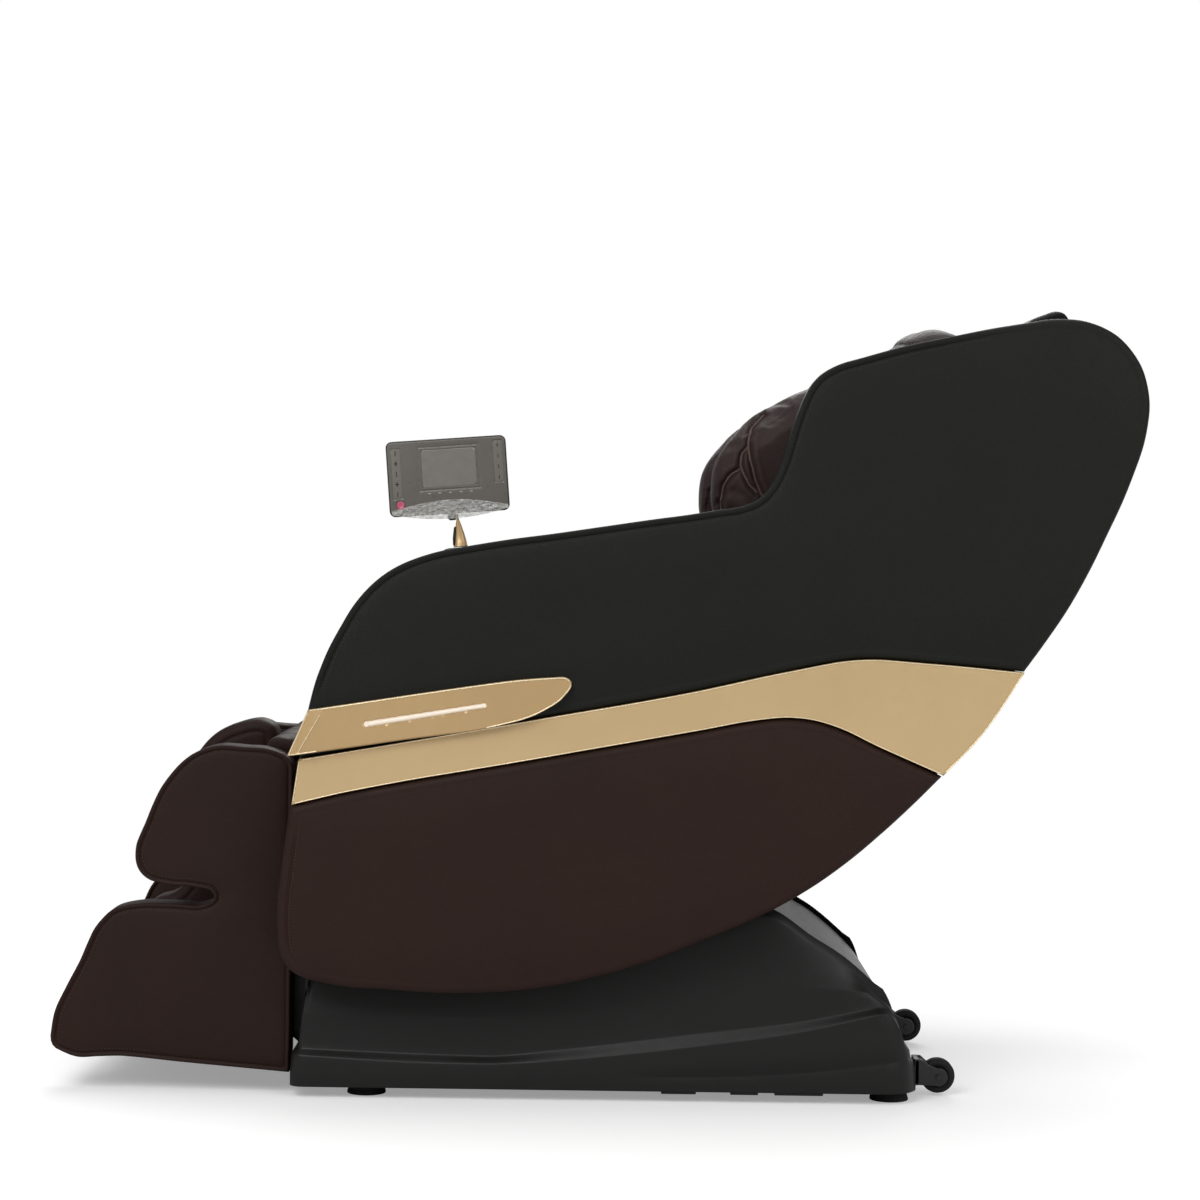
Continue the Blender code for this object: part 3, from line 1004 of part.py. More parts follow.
def leg_frame():
    """Two rails behind the leg rest's shell, hung from the knee pins, with the rod's lug."""
    back, front = LEG_FRAME_BACK, LEG_FRAME_BACK - LEG_RAIL
    low, high = at(0, 0.150)[1], at(0, 0.455)[1]
    rail_y = LEG_RAIL_Y
    parts = []
    for sign in (-1, 1):
        y0, y1 = sorted((sign * (rail_y - LEG_RAIL), sign * rail_y))
        parts.append(block((front, y0, low), (back, y1, high)))
        beside = KNEE_LUG_Y - GAP
        l0, l1 = sorted((sign * (beside - LUG_PLATE), sign * beside))
        lug = plate([(front + 0.002, high - 0.030, "corner"), (back, high - 0.030, "corner"),
                     (KNEE_X + 0.004, KNEE_Z - 0.013), (KNEE_X + 0.012, KNEE_Z),
                     (KNEE_X, KNEE_Z + 0.011), (front + 0.002, high - 0.004, "corner")],
                    l0, l1, 0, 2)
        bore = rod((KNEE_X, l0 - 0.01, KNEE_Z), (KNEE_X, l1 + 0.01, KNEE_Z), PIN_RADIUS + GAP, 16)
        parts.append(cut(lug, bore))
        s0, s1 = sorted((sign * (rail_y - 0.002), sign * (KNEE_LUG_Y - 0.002)))
        parts.append(block((front + 0.002, s0, high - 0.028), (back - 0.002, s1, high - 0.006)))
    for z in (low + 0.012, (low + high) / 2, high - 0.012):
        parts.append(block((front + 0.003, -rail_y + 0.002, z - 0.010),
                           (back - 0.003, rail_y - 0.002, z + 0.010)))
    for y in (-HEAD_FORK_HALF - HEAD_FORK_PLATE, HEAD_FORK_HALF):
        parts.append(plate([(front + 0.005, KNEE_HEAD_Z - 0.016, "corner"),
                            (KNEE_HEAD_X + 0.004, KNEE_HEAD_Z - 0.008),
                            (KNEE_HEAD_X + 0.006, KNEE_HEAD_Z + 0.004),
                            (front + 0.005, KNEE_HEAD_Z + 0.020, "corner")], y, y + HEAD_FORK_PLATE, 0, 2))
    pin_half = HEAD_FORK_HALF + HEAD_FORK_PLATE - 0.001
    parts.append(rod((KNEE_HEAD_X, -pin_half, KNEE_HEAD_Z), (KNEE_HEAD_X, pin_half, KNEE_HEAD_Z),
                     0.003, 12))
    keep("legrest_frame", union(parts[0], *parts[1:]), STEEL, True)


# ---------------------------------------------------------------- tablet


def stalk_point(x, y, z):
    return STALK_FRAME @ Vector((x, y, z))


def placed(mesh):
    mesh.transform(STALK_FRAME)
    return mesh


def tablet():
    mount = union(rod((0, 0, -MOUNT_DEEP), (0, 0, 0.006), MOUNT_RADIUS, 24),
                  rod((0, 0, MOUNT_HEAD_LOW), (0, 0, SEAT_UP), MOUNT_HEAD_RADIUS, 28, 0.020))
    keep("tablet_mount", placed(mount), BLACK_PLASTIC, True)
    low = SEAT_UP + GAP
    fin = plate([(-0.0045, low, "corner"), (0.0150, low, "corner"),
                 (0.0045, HINGE_UP - 0.002, "corner"), (0.0040, HINGE_UP + 0.0032, "corner"),
                 (0.0006, HINGE_UP + 0.0032, "corner"), (0.0006, HINGE_UP - 0.012, "corner"),
                 (-0.0045, HINGE_UP - 0.016, "corner")], -0.005, 0.005, 0, 2)
    foot = rod((0.004, 0, low), (0.004, 0, low + 0.005), 0.013, 24, 0.010)
    pin = rod((0.002, 0, HINGE_UP), (-0.0125, 0, HINGE_UP), 0.0025, 12)
    keep("tablet_stalk", placed(union(fin, foot, pin)), GOLD, True)
    case = block((TABLET_LEFT, TABLET_FACE, TABLET_LOW),
                 (TABLET_LEFT + TABLET_WIDTH, TABLET_THICK / 2, TABLET_LOW + TABLET_HEIGHT),
                 0.003, 2)
    window = block((SCREEN_LEFT - GAP, TABLET_FACE - 0.01, SCREEN_LOW - GAP),
                   (SCREEN_LEFT + SCREEN_WIDTH + GAP, TABLET_FACE + SCREEN_DEEP,
                    SCREEN_LOW + SCREEN_HEIGHT + GAP))
    knuckle = rod((-0.0105, 0, HINGE_UP), (0.0002, 0, HINGE_UP), 0.0068, 20)
    bore = rod((-0.03, 0, HINGE_UP), (0.03, 0, HINGE_UP), 0.0025 + GAP, 12)
    key_hole = rod((KEY_X, TABLET_FACE - 0.01, KEY_Z), (KEY_X, TABLET_FACE + 0.005, KEY_Z),
                   KEY_RADIUS + GAP, 24)
    keep("tablet_case", placed(cut(union(case, cut(knuckle, bore)), window, key_hole)), TABLET, True)
    glass = block((SCREEN_LEFT, TABLET_FACE + GAP, SCREEN_LOW),
                  (SCREEN_LEFT + SCREEN_WIDTH, TABLET_FACE + SCREEN_DEEP - GAP,
                   SCREEN_LOW + SCREEN_HEIGHT))
    keep("tablet_screen", placed(glass), SCREEN)
    key = rod((KEY_X, TABLET_FACE + 0.0025, KEY_Z), (KEY_X, TABLET_FACE - 0.0015, KEY_Z),
              KEY_RADIUS, 24)
    keep("power_key", placed(key), RED, True)


# ---------------------------------------------------------------- build
shell_panels()
liners()
arm_trims()
back_cover()
cushions()
head_pillow()
head_roll()
shoulder_pads()
cradle_frame()
massage_drive()
base_covers()
rear_deck()
front_panel()
base_frame()
power_entry()
feet_and_wheels()
base_equipment()
actuator("tilt", (TILT_FOOT_X, TILT_FOOT_Z), (TILT_HEAD_X, TILT_HEAD_Z), 0.55, 1, 0.0085)
actuator("legrest", (KNEE_FOOT_X, KNEE_FOOT_Z), (KNEE_HEAD_X, KNEE_HEAD_Z), 0.62, 1, 0.0095)
leg_rest()
leg_frame()
tablet()
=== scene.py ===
import bpy, bmesh, json, math
import numpy as np
from mathutils import Vector, Matrix, noise
from mathutils.bvhtree import BVHTree
from mathutils.geometry import delaunay_2d_cdt


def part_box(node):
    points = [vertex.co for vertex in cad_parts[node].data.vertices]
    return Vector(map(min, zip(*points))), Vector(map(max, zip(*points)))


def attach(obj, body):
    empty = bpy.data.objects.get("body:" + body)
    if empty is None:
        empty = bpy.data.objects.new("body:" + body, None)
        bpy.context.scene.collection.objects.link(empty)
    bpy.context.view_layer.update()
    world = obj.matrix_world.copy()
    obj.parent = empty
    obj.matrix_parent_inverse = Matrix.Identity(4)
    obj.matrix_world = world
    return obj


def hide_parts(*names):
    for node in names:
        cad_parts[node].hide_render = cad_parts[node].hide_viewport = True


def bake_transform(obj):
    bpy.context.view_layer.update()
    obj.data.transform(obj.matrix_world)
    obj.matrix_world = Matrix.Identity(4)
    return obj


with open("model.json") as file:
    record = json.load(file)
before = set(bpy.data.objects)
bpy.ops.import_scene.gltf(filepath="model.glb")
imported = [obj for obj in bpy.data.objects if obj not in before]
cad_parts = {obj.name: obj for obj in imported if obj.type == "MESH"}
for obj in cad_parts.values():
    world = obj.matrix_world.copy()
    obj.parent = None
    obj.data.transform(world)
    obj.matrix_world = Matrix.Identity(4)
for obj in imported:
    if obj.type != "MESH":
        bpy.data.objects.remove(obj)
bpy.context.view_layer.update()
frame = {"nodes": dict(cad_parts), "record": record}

nodes = frame["nodes"]


# colours are written as they show on a screen, 0 to 255
def tone(red, green, blue):
    def linear(value):
        value /= 255
        return value / 12.92 if value <= 0.04045 else ((value + 0.055) / 1.055) ** 2.4
    return (linear(red), linear(green), linear(blue), 1.0)


def shaded(colour, share):
    return tuple(min(1.0, c * share) for c in colour[:3]) + (1.0,)


# materials
def addNode(tree, kind, inputs=None, **options):
    # a node with its settings, and its inputs linked or set
    made = tree.nodes.new(kind)
    for key, value in options.items():
        setattr(made, key, value)
    for key, value in (inputs or {}).items():
        if isinstance(value, bpy.types.NodeSocket):
            tree.links.new(value, made.inputs[key])
        else:
            made.inputs[key].default_value = value
    return made


class Finish:
    # one material: a Principled shader and short ways to add and join nodes
    def __init__(self, name, roughness, metallic=0.0, specular=0.5):
        self.material = bpy.data.materials.new(name)
        self.material.use_nodes = True
        self.tree = self.material.node_tree
        self.shader = self.tree.nodes["Principled BSDF"]
        self.put("Roughness", roughness)
        self.put("Metallic", metallic)
        self.put("Specular IOR Level", specular)
        self.place = self.add("ShaderNodeTexCoord").outputs["Object"]

    def put(self, socket, value):
        self.shader.inputs[socket].default_value = value

    def add(self, kind, inputs=None, **options):
        return addNode(self.tree, kind, inputs, **options)

    def join(self, output, socket):
        self.tree.links.new(output, self.shader.inputs[socket])

    def noise(self, scale, detail=3.0, rough=0.55):
        return self.add("ShaderNodeTexNoise", {"Vector": self.place, "Scale": scale, "Detail": detail,
                                               "Roughness": rough}).outputs["Fac"]

    def cells(self, scale, feature="F1", place=None):
        return self.add("ShaderNodeTexVoronoi", {"Vector": place or self.place, "Scale": scale},
                        feature=feature).outputs["Distance"]

    def span(self, value, low, high, outLow=0.0, outHigh=1.0):
        return self.add("ShaderNodeMapRange", {"Value": value, "From Min": low, "From Max": high,
                                               "To Min": outLow, "To Max": outHigh}).outputs["Result"]

    def math(self, operation, first, second):
        return self.add("ShaderNodeMath", {0: first, 1: second}, operation=operation).outputs[0]

    def blend(self, share, first, second):
        return self.add("ShaderNodeMix", {0: share, 6: first, 7: second}, data_type="RGBA").outputs[2]

    def tint(self, value, low, high, first, second):
        self.join(self.blend(self.span(value, low, high), first, second), "Base Color")

    def relief(self, *layers):
        # bumps laid over each other, the lowest last: height, strength and distance of each
        under = None
        for height, strength, distance in layers[::-1]:
            under = self.bump(height, strength, distance, under)
        self.join(under, "Normal")

    def bump(self, height, strength, distance, under=None):
        inputs = {"Height": height, "Strength": strength, "Distance": distance}
        if under is not None:
            inputs["Normal"] = under
        return self.add("ShaderNodeBump", inputs).outputs["Normal"]


leatherLook = {"grainScale": 520.0, "poreScale": 1500.0, "grainDepth": 0.00022,
               "grainStrength": 0.55, "shadeScale": 5.0, "shadeSpread": 0.10,
               "roughLow": 0.42, "roughHigh": 0.56, "specular": 0.16}


def leather(name, colour, **changes):
    look = {**leatherLook, **changes}
    f = Finish(name, 0.5, 0.0, look["specular"])
    warp = f.noise(look["grainScale"] * 0.35, 2.0)
    bent = f.add("ShaderNodeMixRGB", {"Fac": 0.0035, "Color1": f.place, "Color2": warp},
                 blend_type="ADD").outputs["Color"]
    edge = f.span(f.cells(look["grainScale"], "DISTANCE_TO_EDGE", bent), 0.0, 0.16)
    pebble = f.cells(look["poreScale"], "SMOOTH_F1")
    grain = f.math("ADD", edge, f.math("MULTIPLY", pebble, 0.35))
    slow = f.noise(look["shadeScale"], 4.0, 0.6)
    f.relief((grain, look["grainStrength"], look["grainDepth"]), (f.noise(38.0), 0.10, 0.0012))
    mottle = f.blend(f.span(slow, 0.3, 0.7), shaded(colour, 1 - look["shadeSpread"]),
                     shaded(colour, 1 + look["shadeSpread"]))
    f.tint(edge, 0.0, 0.6, shaded(colour, 0.72), mottle)
    f.join(f.span(f.math("ADD", slow, f.math("MULTIPLY", edge, 0.25)), 0.3, 0.95,
                  look["roughHigh"], look["roughLow"]), "Roughness")
    return f.material


def paintedGold(name, colour, roughness):
    f = Finish(name, roughness, 0.45)
    f.put("Coat Weight", 0.25)
    f.put("Coat Roughness", 0.22)
    flake = f.cells(2600.0)
    f.relief((flake, 0.10, 0.00004), (f.noise(210.0, 2.0), 0.05, 0.0004))
    slow = f.noise(7.0)
    glint = f.blend(f.span(flake, 0.05, 0.5), shaded(colour, 1.10), colour)
    f.join(f.blend(f.span(slow, 0.35, 0.65, 0.0, 0.5), glint, shaded(colour, 0.93)), "Base Color")
    f.join(f.span(f.noise(90.0, 4.0), 0.3, 0.7, roughness - 0.04, roughness + 0.05), "Roughness")
    return f.material


def mouldedPlastic(name, colour, roughness, texture=0.00006, textureScale=1700.0, specular=0.5):
    f = Finish(name, roughness, 0.0, specular)
    f.relief((f.noise(textureScale, 3.0, 0.7), 0.5, texture), (f.noise(22.0, 2.0), 0.04, 0.001))
    f.tint(f.noise(9.0, 4.0, 0.6), 0.3, 0.7, shaded(colour, 0.93), shaded(colour, 1.07))
    f.join(f.span(f.noise(60.0, 5.0, 0.7), 0.3, 0.7, roughness + 0.05, roughness - 0.04), "Roughness")
    return f.material


def plainMetal(name, colour, roughness, metallic, coating=0.0):
    f = Finish(name, roughness, metallic)
    f.put("Coat Weight", coating)
    f.relief((f.noise(420.0), 0.12, 0.0001))
    slow = f.noise(30.0, 5.0, 0.65)
    f.tint(slow, 0.35, 0.65, shaded(colour, 0.85), shaded(colour, 1.08))
    f.join(f.span(slow, 0.3, 0.7, roughness - 0.05, roughness + 0.10), "Roughness")
    return f.material


def rubberFinish(name, colour):
    f = Finish(name, 0.78, 0.0, 0.35)
    f.relief((f.noise(900.0, 3.0, 0.7), 0.5, 0.0001))
    dust = f.span(f.noise(45.0, 5.0, 0.7), 0.5, 0.75, 0.0, 0.6)
    f.join(f.blend(dust, colour, shaded(colour, 2.2)), "Base Color")
    return f.material


def frostedLight(name, colour):
    f = Finish(name, 0.32)
    f.put("Emission Strength", 0.12)
    f.put("Emission Color", colour)
    f.put("Coat Weight", 0.3)
    f.relief((f.noise(800.0), 0.15, 0.00005))
    f.tint(f.noise(60.0), 0.35, 0.65, shaded(colour, 0.95), colour)
    return f.material


def screenGlass(name, colour):
    f = Finish(name, 0.10, 0.0, 0.55)
    f.put("Coat Weight", 0.6)
    f.put("Coat Roughness", 0.04)
    smear = f.noise(55.0, 5.0, 0.65)
    f.tint(smear, 0.4, 0.7, colour, shaded(colour, 1.10))
    f.join(f.span(smear, 0.4, 0.75, 0.08, 0.24), "Roughness")
    return f.material


def clearFilm(name, colour):
    f = Finish(name, 0.16, 0.0, 0.6)
    f.put("Alpha", 0.45)
    f.put("Coat Weight", 0.4)
    f.relief((f.noise(330.0, 4.0), 0.5, 0.0005))
    f.tint(f.noise(160.0), 0.4, 0.6, colour, shaded(colour, 0.85))
    return f.material


blackLeather = leather("blackLeather", tone(20, 21, 18))
backLeather = leather("backLeather", tone(19, 19, 18), grainScale=430.0, roughLow=0.46, roughHigh=0.6)
brownLeather = leather("brownLeather", tone(38, 21, 15))
padLeather = leather("padLeather", tone(47, 35, 33), grainScale=600.0, roughLow=0.38, roughHigh=0.5)
pillowLeather = leather("pillowLeather", tone(40, 31, 28), grainScale=640.0, grainStrength=0.4)
# a paler leather for the shoulder pad's fold ridges: painted highlight
ridgeHighlightLeather = leather("ridgeHighlightLeather", tone(88, 72, 68), grainScale=900.0, roughLow=0.36, roughHigh=0.46)
rollLeather = leather("rollLeather", tone(11, 11, 11), specular=0.08)
edgePiping = leather("edgePiping", tone(30, 25, 23), grainScale=900.0, roughLow=0.36, roughHigh=0.46)
thread = mouldedPlastic("thread", tone(46, 39, 35), 0.7, 0.0001, 3200.0)
goldBandPaint = paintedGold("goldBandPaint", tone(194, 167, 123), 0.40)
goldTrimPaint = paintedGold("goldTrimPaint", tone(185, 154, 108), 0.34)
# a paler gold for strips along the gold edges: painted highlight
paintedEdgeHighlight = paintedGold("paintedEdgeHighlight", tone(238, 219, 182), 0.26)
lightDiffuser = frostedLight("lightDiffuser", tone(232, 218, 200))
greyShell = mouldedPlastic("greyShell", tone(22, 22, 21), 0.38, specular=0.25)
blackShell = mouldedPlastic("blackShell", tone(19, 19, 19), 0.40, specular=0.35)
steelFrame = plainMetal("steelFrame", tone(52, 53, 55), 0.42, 0.25, 0.2)
darkSteel = mouldedPlastic("darkSteel", tone(18, 18, 18), 0.36, 0.00004, 900.0)
zincSteel = plainMetal("zincSteel", tone(176, 176, 178), 0.34, 0.9)
liningCloth = mouldedPlastic("liningCloth", tone(14, 14, 14), 0.85, 0.0002, 900.0, 0.1)
softRubber = rubberFinish("softRubber", tone(17, 17, 17))
tabletShell = mouldedPlastic("tabletShell", tone(100, 96, 90), 0.30, 0.00003, 2400.0)
tabletTrim = mouldedPlastic("tabletTrim", tone(58, 55, 52), 0.28, 0.00002, 2400.0)
tabletDark = mouldedPlastic("tabletDark", tone(40, 38, 36), 0.26, 0.00002, 2400.0)
tabletStrip = mouldedPlastic("tabletStrip", tone(112, 108, 101), 0.34, 0.00002, 2400.0)
screenFace = screenGlass("screenFace", tone(121, 118, 112))
tabletFilm = clearFilm("tabletFilm", tone(205, 204, 200))
glossShell = mouldedPlastic("glossShell", tone(9, 9, 9), 0.30, 0.00001, 2400.0, 0.16)
paleMark = mouldedPlastic("paleMark", tone(176, 173, 166), 0.4, 0.00002, 2400.0)
redKey = mouldedPlastic("redKey", tone(200, 92, 120), 0.28, 0.00002, 2400.0)
print("materials ready")


# shared mesh work
def pieceOf(name, mesh, material, body, stands=(), smooth=True):
    # a finished piece at the origin, riding on its body
    if smooth:
        mesh.polygons.foreach_set("use_smooth", [True] * len(mesh.polygons))
    mesh.materials.clear()
    mesh.materials.append(material)
    made = bpy.data.objects.new(name, mesh)
    bpy.context.scene.collection.objects.link(made)
    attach(made, body)
    if stands:
        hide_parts(*stands)
    return made


def meshOf(name, points, faces):
    mesh = bpy.data.meshes.new(name)
    mesh.from_pydata([tuple(p) for p in points], [], [tuple(f) for f in faces])
    mesh.update()
    return mesh


def reworked(mesh, change, name=None):
    # a mesh taken through bmesh; with a name the result is a new mesh
    work = bmesh.new()
    work.from_mesh(mesh)
    change(work)
    made = bpy.data.meshes.new(name) if name else mesh
    work.to_mesh(made)
    work.free()
    return made


def facedOut(mesh):
    # every face of a closed mesh turned outwards
    return reworked(mesh, lambda work: bmesh.ops.recalc_face_normals(work, faces=work.faces))


def mirrored(mesh):
    # the other side of the chair: mirrored across Y, with its faces turned back outwards
    def turn(work):
        for vert in work.verts:
            vert.co.y = -vert.co.y
        bmesh.ops.reverse_faces(work, faces=work.faces)
    return reworked(mesh, turn, mesh.name + "R")


def joinedMesh(name, meshes):
    work = bmesh.new()
    for mesh in meshes:
        work.from_mesh(mesh)
        bpy.data.meshes.remove(mesh)
    made = bpy.data.meshes.new(name)
    work.to_mesh(made)
    work.free()
    return made


def pairOf(stem, mesh, material, body, node="", tail="", smooth=True):
    # a left-hand piece and its mirror image on the right
    for side, half in (("Left", mesh), ("Right", mirrored(mesh))):
        stands = [node + "_" + side.lower()] if node else ()
        piece = pieceOf(stem + side + tail, half, material, body, stands, smooth)


def finishedMesh(piece):
    # the mesh with its modifiers worked in, and the helper object gone
    graph = bpy.context.evaluated_depsgraph_get()
    mesh = bpy.data.meshes.new_from_object(piece.evaluated_get(graph))
    bpy.data.objects.remove(piece, do_unlink=True)
    return mesh


def helper(mesh, name="helper"):
    made = bpy.data.objects.new(name, mesh)
    bpy.context.scene.collection.objects.link(made)
    return made


# the outline of a CAD node where its flat side meets the rounding, as (x, z) points
def outlineOf(node, level, tolerance=0.0003):
    mesh = nodes[node].data
    keyed, places = {}, []
    def index(vertex):
        key = tuple(round(c, 5) for c in vertex.co)
        if key not in keyed:
            keyed[key] = len(places)
            places.append(vertex.co.copy())
        return keyed[key]
    ids = [index(v) for v in mesh.vertices]
    flat = [abs(p.y - level) < tolerance for p in places]
    uses = {}
    for face in mesh.polygons:
        corners = [ids[v] for v in face.vertices]
        whole = all(flat[c] for c in corners)
        for a, b in zip(corners, corners[1:] + corners[:1]):
            if flat[a] and flat[b] and a != b:
                edge = (min(a, b), max(a, b))
                uses.setdefault(edge, []).append(whole)
    beside = {}
    for (a, b), wholes in uses.items():
        if sum(wholes) < 2:
            beside.setdefault(a, []).append(b)
            beside.setdefault(b, []).append(a)
    loops, seen = [], set()
    for start in beside:
        if start in seen:
            continue
        loop, last, here = [start], None, start
        seen.add(start)
        while True:
            onward = [n for n in beside[here] if n != last and n not in seen]
            if not onward:
                break
            last, here = here, onward[0]
            seen.add(here)
            loop.append(here)
        loops.append([(places[i].x, places[i].z) for i in loop])
    best = max(loops, key=lambda l: abs(areaOf(l)))
    return best if areaOf(best) > 0 else best[::-1]


def areaOf(loop):
    return sum(a[0] * b[1] - b[0] * a[1] for a, b in zip(loop, loop[1:] + loop[:1])) / 2


def curved(before, a, b, after, parts):
    # points of a smooth curve from a towards b, given the points beside them
    length = (b - a).length
    slopeA = (b - before) / max(1e-6, length + (a - before).length) * length
    slopeB = (after - a) / max(1e-6, (after - b).length + length) * length
    return [a * (2 * t ** 3 - 3 * t ** 2 + 1) + slopeA * (t ** 3 - 2 * t ** 2 + t)
            + b * (3 * t ** 2 - 2 * t ** 3) + slopeB * (t ** 3 - t ** 2)
            for t in (k / parts for k in range(parts))]


def cornerTurns(points):
    # how far a closed line turns at each of its points
    result = []
    for before, here, after in zip(points[-1:] + points[:-1], points, points[1:] + points[:1]):
        into, away = here - before, after - here
        result.append(into.angle(away) if min(into.length, away.length) > 1e-7 else 0)
    return result


def smoothLoop(loop, step=0.006, cornerTurn=32.0):
    # a smooth closed line through the outline's points, kept sharp at its corners
    count = len(loop)
    points = [Vector(p) for p in loop]
    sharp = [turn > math.radians(cornerTurn) for turn in cornerTurns(points)]
    result = []
    for i in range(count):
        a, b = points[i], points[(i + 1) % count]
        before = a * 2 - b if sharp[i] else points[i - 1]
        after = b * 2 - a if sharp[(i + 1) % count] else points[(i + 2) % count]
        parts = max(1, round((b - a).length / step))
        result += [tuple(p) for p in curved(before, a, b, after, parts)]
    return result


def roundedRect(left, low, right, high, corner, parts=6):
    points = []
    for cx, cz, first in ((right - corner, low + corner, -90), (right - corner, high - corner, 0),
                          (left + corner, high - corner, 90), (left + corner, low + corner, 180)):
        for k in range(parts + 1):
            angle = math.radians(first + 90 * k / parts)
            points.append((cx + corner * math.cos(angle), cz + corner * math.sin(angle)))
    return points


def denseLoop(points, step):
    # a closed line with points added along its straight stretches
    result = []
    for (x, z), end in zip(points, points[1:] + points[:1]):
        parts = max(1, round(math.dist((x, z), end) / step))
        result += [(x + (end[0] - x) * k / parts, z + (end[1] - z) * k / parts) for k in range(parts)]
    return result


# how far each point lies inside a closed line; outside is negative
def depthInside(points, loop):
    points, loop = np.asarray(points, float), np.asarray(loop, float)
    ends = np.roll(loop, -1, axis=0)
    span = ends - loop
    square = np.maximum((span ** 2).sum(1), 1e-14)
    result = np.empty(len(points))
    for first in range(0, len(points), 2000):
        part = points[first:first + 2000]
        away = part[:, None, :] - loop[None]
        along = np.clip((away * span[None]).sum(2) / square[None], 0, 1)
        gap = away - along[..., None] * span[None]
        near = np.sqrt((gap ** 2).sum(2)).min(1)
        above = (loop[None, :, 1] > part[:, None, 1]) != (ends[None, :, 1] > part[:, None, 1])
        rise = np.where(np.abs(span[:, 1]) < 1e-12, 1e-12, span[:, 1])
        cross = (part[:, None, 1] - loop[None, :, 1]) * span[None, :, 0] / rise[None] + loop[None, :, 0]
        inside = (above & (part[:, None, 0] < cross)).sum(1) % 2 == 1
        result[first:first + 2000] = np.where(inside, near, -near)
    return result


# the loop moved inwards, without the points that run into its other side
def insetRun(loop, depth, keepShare=0.97):
    points = np.asarray(loop, float)
    along = np.roll(points, -1, axis=0) - np.roll(points, 1, axis=0)
    along /= np.maximum(np.linalg.norm(along, axis=1), 1e-9)[:, None]
    moved = points + np.stack([-along[:, 1], along[:, 0]], 1) * depth
    good = depthInside(moved, loop) > depth * keepShare
    return moved, good


# a padded or moulded face: rings near the rim, an even fill inside, a wall and a flat back
def skinMesh(name, loop, insets, spacing, faceY, backY, sink, backSink=None, lines=(),
             fine=(0, 0.0018, -0.0018, 0.0036, -0.0036, 0.0066, -0.0066)):
    rim = np.asarray(loop, float)
    rings = [rim] + [moved[good] for moved, good in (insetRun(loop, depth) for depth in insets)]
    low, high = rim.min(0), rim.max(0)
    grid = []
    rows = int((high[1] - low[1]) / (spacing * 0.866)) + 1
    for row in range(rows):
        shift = spacing / 2 * (row % 2)
        for x in np.arange(low[0] + shift, high[0], spacing):
            grid.append((x, low[1] + row * spacing * 0.866))
    grid = np.asarray(grid)
    grid = grid[depthInside(grid, loop) > insets[-1] + spacing * 0.55]
    if len(lines):
        grid = grid[lineGap(grid, lines)[0] > max(fine) * 1.5]
    for line in lines:
        dots, _ = measured([line], spacing * 0.6)
        slope = np.gradient(dots, axis=0)
        slope /= np.maximum(np.linalg.norm(slope, axis=1), 1e-9)[:, None]
        for off in fine:
            moved = dots + np.stack([-slope[:, 1], slope[:, 0]], 1) * off
            rings.append(moved[depthInside(moved, loop) > insets[-1] + max(fine) * 0.45])
    rings.append(grid)
    points = np.concatenate(rings)
    count = len(rim)
    edges = [(i, (i + 1) % count) for i in range(count)]
    flat, _, faces, origin, _, _ = delaunay_2d_cdt([Vector(p) for p in points], edges, [], 1, 1e-7)
    where = {}
    for i, sources in enumerate(origin):
        for source in sources:
            where[source] = i
    placed = np.asarray([tuple(p) for p in flat])
    depth = np.maximum(depthInside(placed, loop), 0)
    rimPlace = [where[i] for i in range(count)]
    depth[rimPlace] = 0
    sunk = sink(placed, depth)
    inward = 1 if backY > faceY else -1
    verts = [(p[0], faceY + inward * s, p[1]) for p, s in zip(placed, sunk)]
    front = [list(f)[::inward] for f in faces]
    backStart = len(verts)
    if backSink is None:
        backRim = list(range(backStart, backStart + count))
        verts += [(p[0], backY, p[1]) for p in rim]
        _, _, back, backOrigin, _, _ = delaunay_2d_cdt([Vector(p) for p in rim], edges, [], 1, 1e-7)
        backFaces = [[backStart + backOrigin[v][0] for v in f] for f in back]
    else:
        backRim = [backStart + i for i in rimPlace]
        verts += [(p[0], backY - inward * s, p[1]) for p, s in zip(placed, backSink(placed, depth))]
        backFaces = [[backStart + v for v in f] for f in faces]
    wall = [[rimPlace[i], rimPlace[j], backRim[j], backRim[i]] for i, j in edges]
    return facedOut(meshOf(name, verts, front + wall + backFaces))


def roundRim(depth, radius):
    # a quarter round from the rim inwards
    share = np.clip(1 - depth / radius, 0, 1)
    return radius * (1 - np.sqrt(np.maximum(1 - share ** 2, 0)))


def crownSink(depth, high, reach, rim):
    # a face that rises from its rim to a flat middle
    return high * (1 - np.clip(depth / reach, 0, 1)) ** 2 * np.clip(depth / rim, 0, 1)


def rolledEdge(depth, look, reach):
    # a small roll at the rim, the seam behind it and the rise to the face
    outer = roundRim(depth, look["rollRadius"])
    behind = np.clip((depth - look["rollRadius"]) / (look["rollWidth"] - look["rollRadius"]), 0, 1)
    behind = look["seamDeep"] * (1 - np.sqrt(1 - behind ** 2))
    rise = np.clip((depth - look["rollWidth"]) / reach, 0, 1)
    rise = look["seamDeep"] * (1 - np.sqrt(1 - (1 - rise) ** 2))
    return np.where(depth < look["rollRadius"], outer, np.where(depth < look["rollWidth"], behind, rise))


def groove(depth, centre, half, deep):
    share = np.clip(1 - np.abs(depth - centre) / half, 0, 1)
    return deep * share * share * (3 - 2 * share)


def bell(value, middle, half):
    return np.exp(-((value - middle) / half) ** 2)


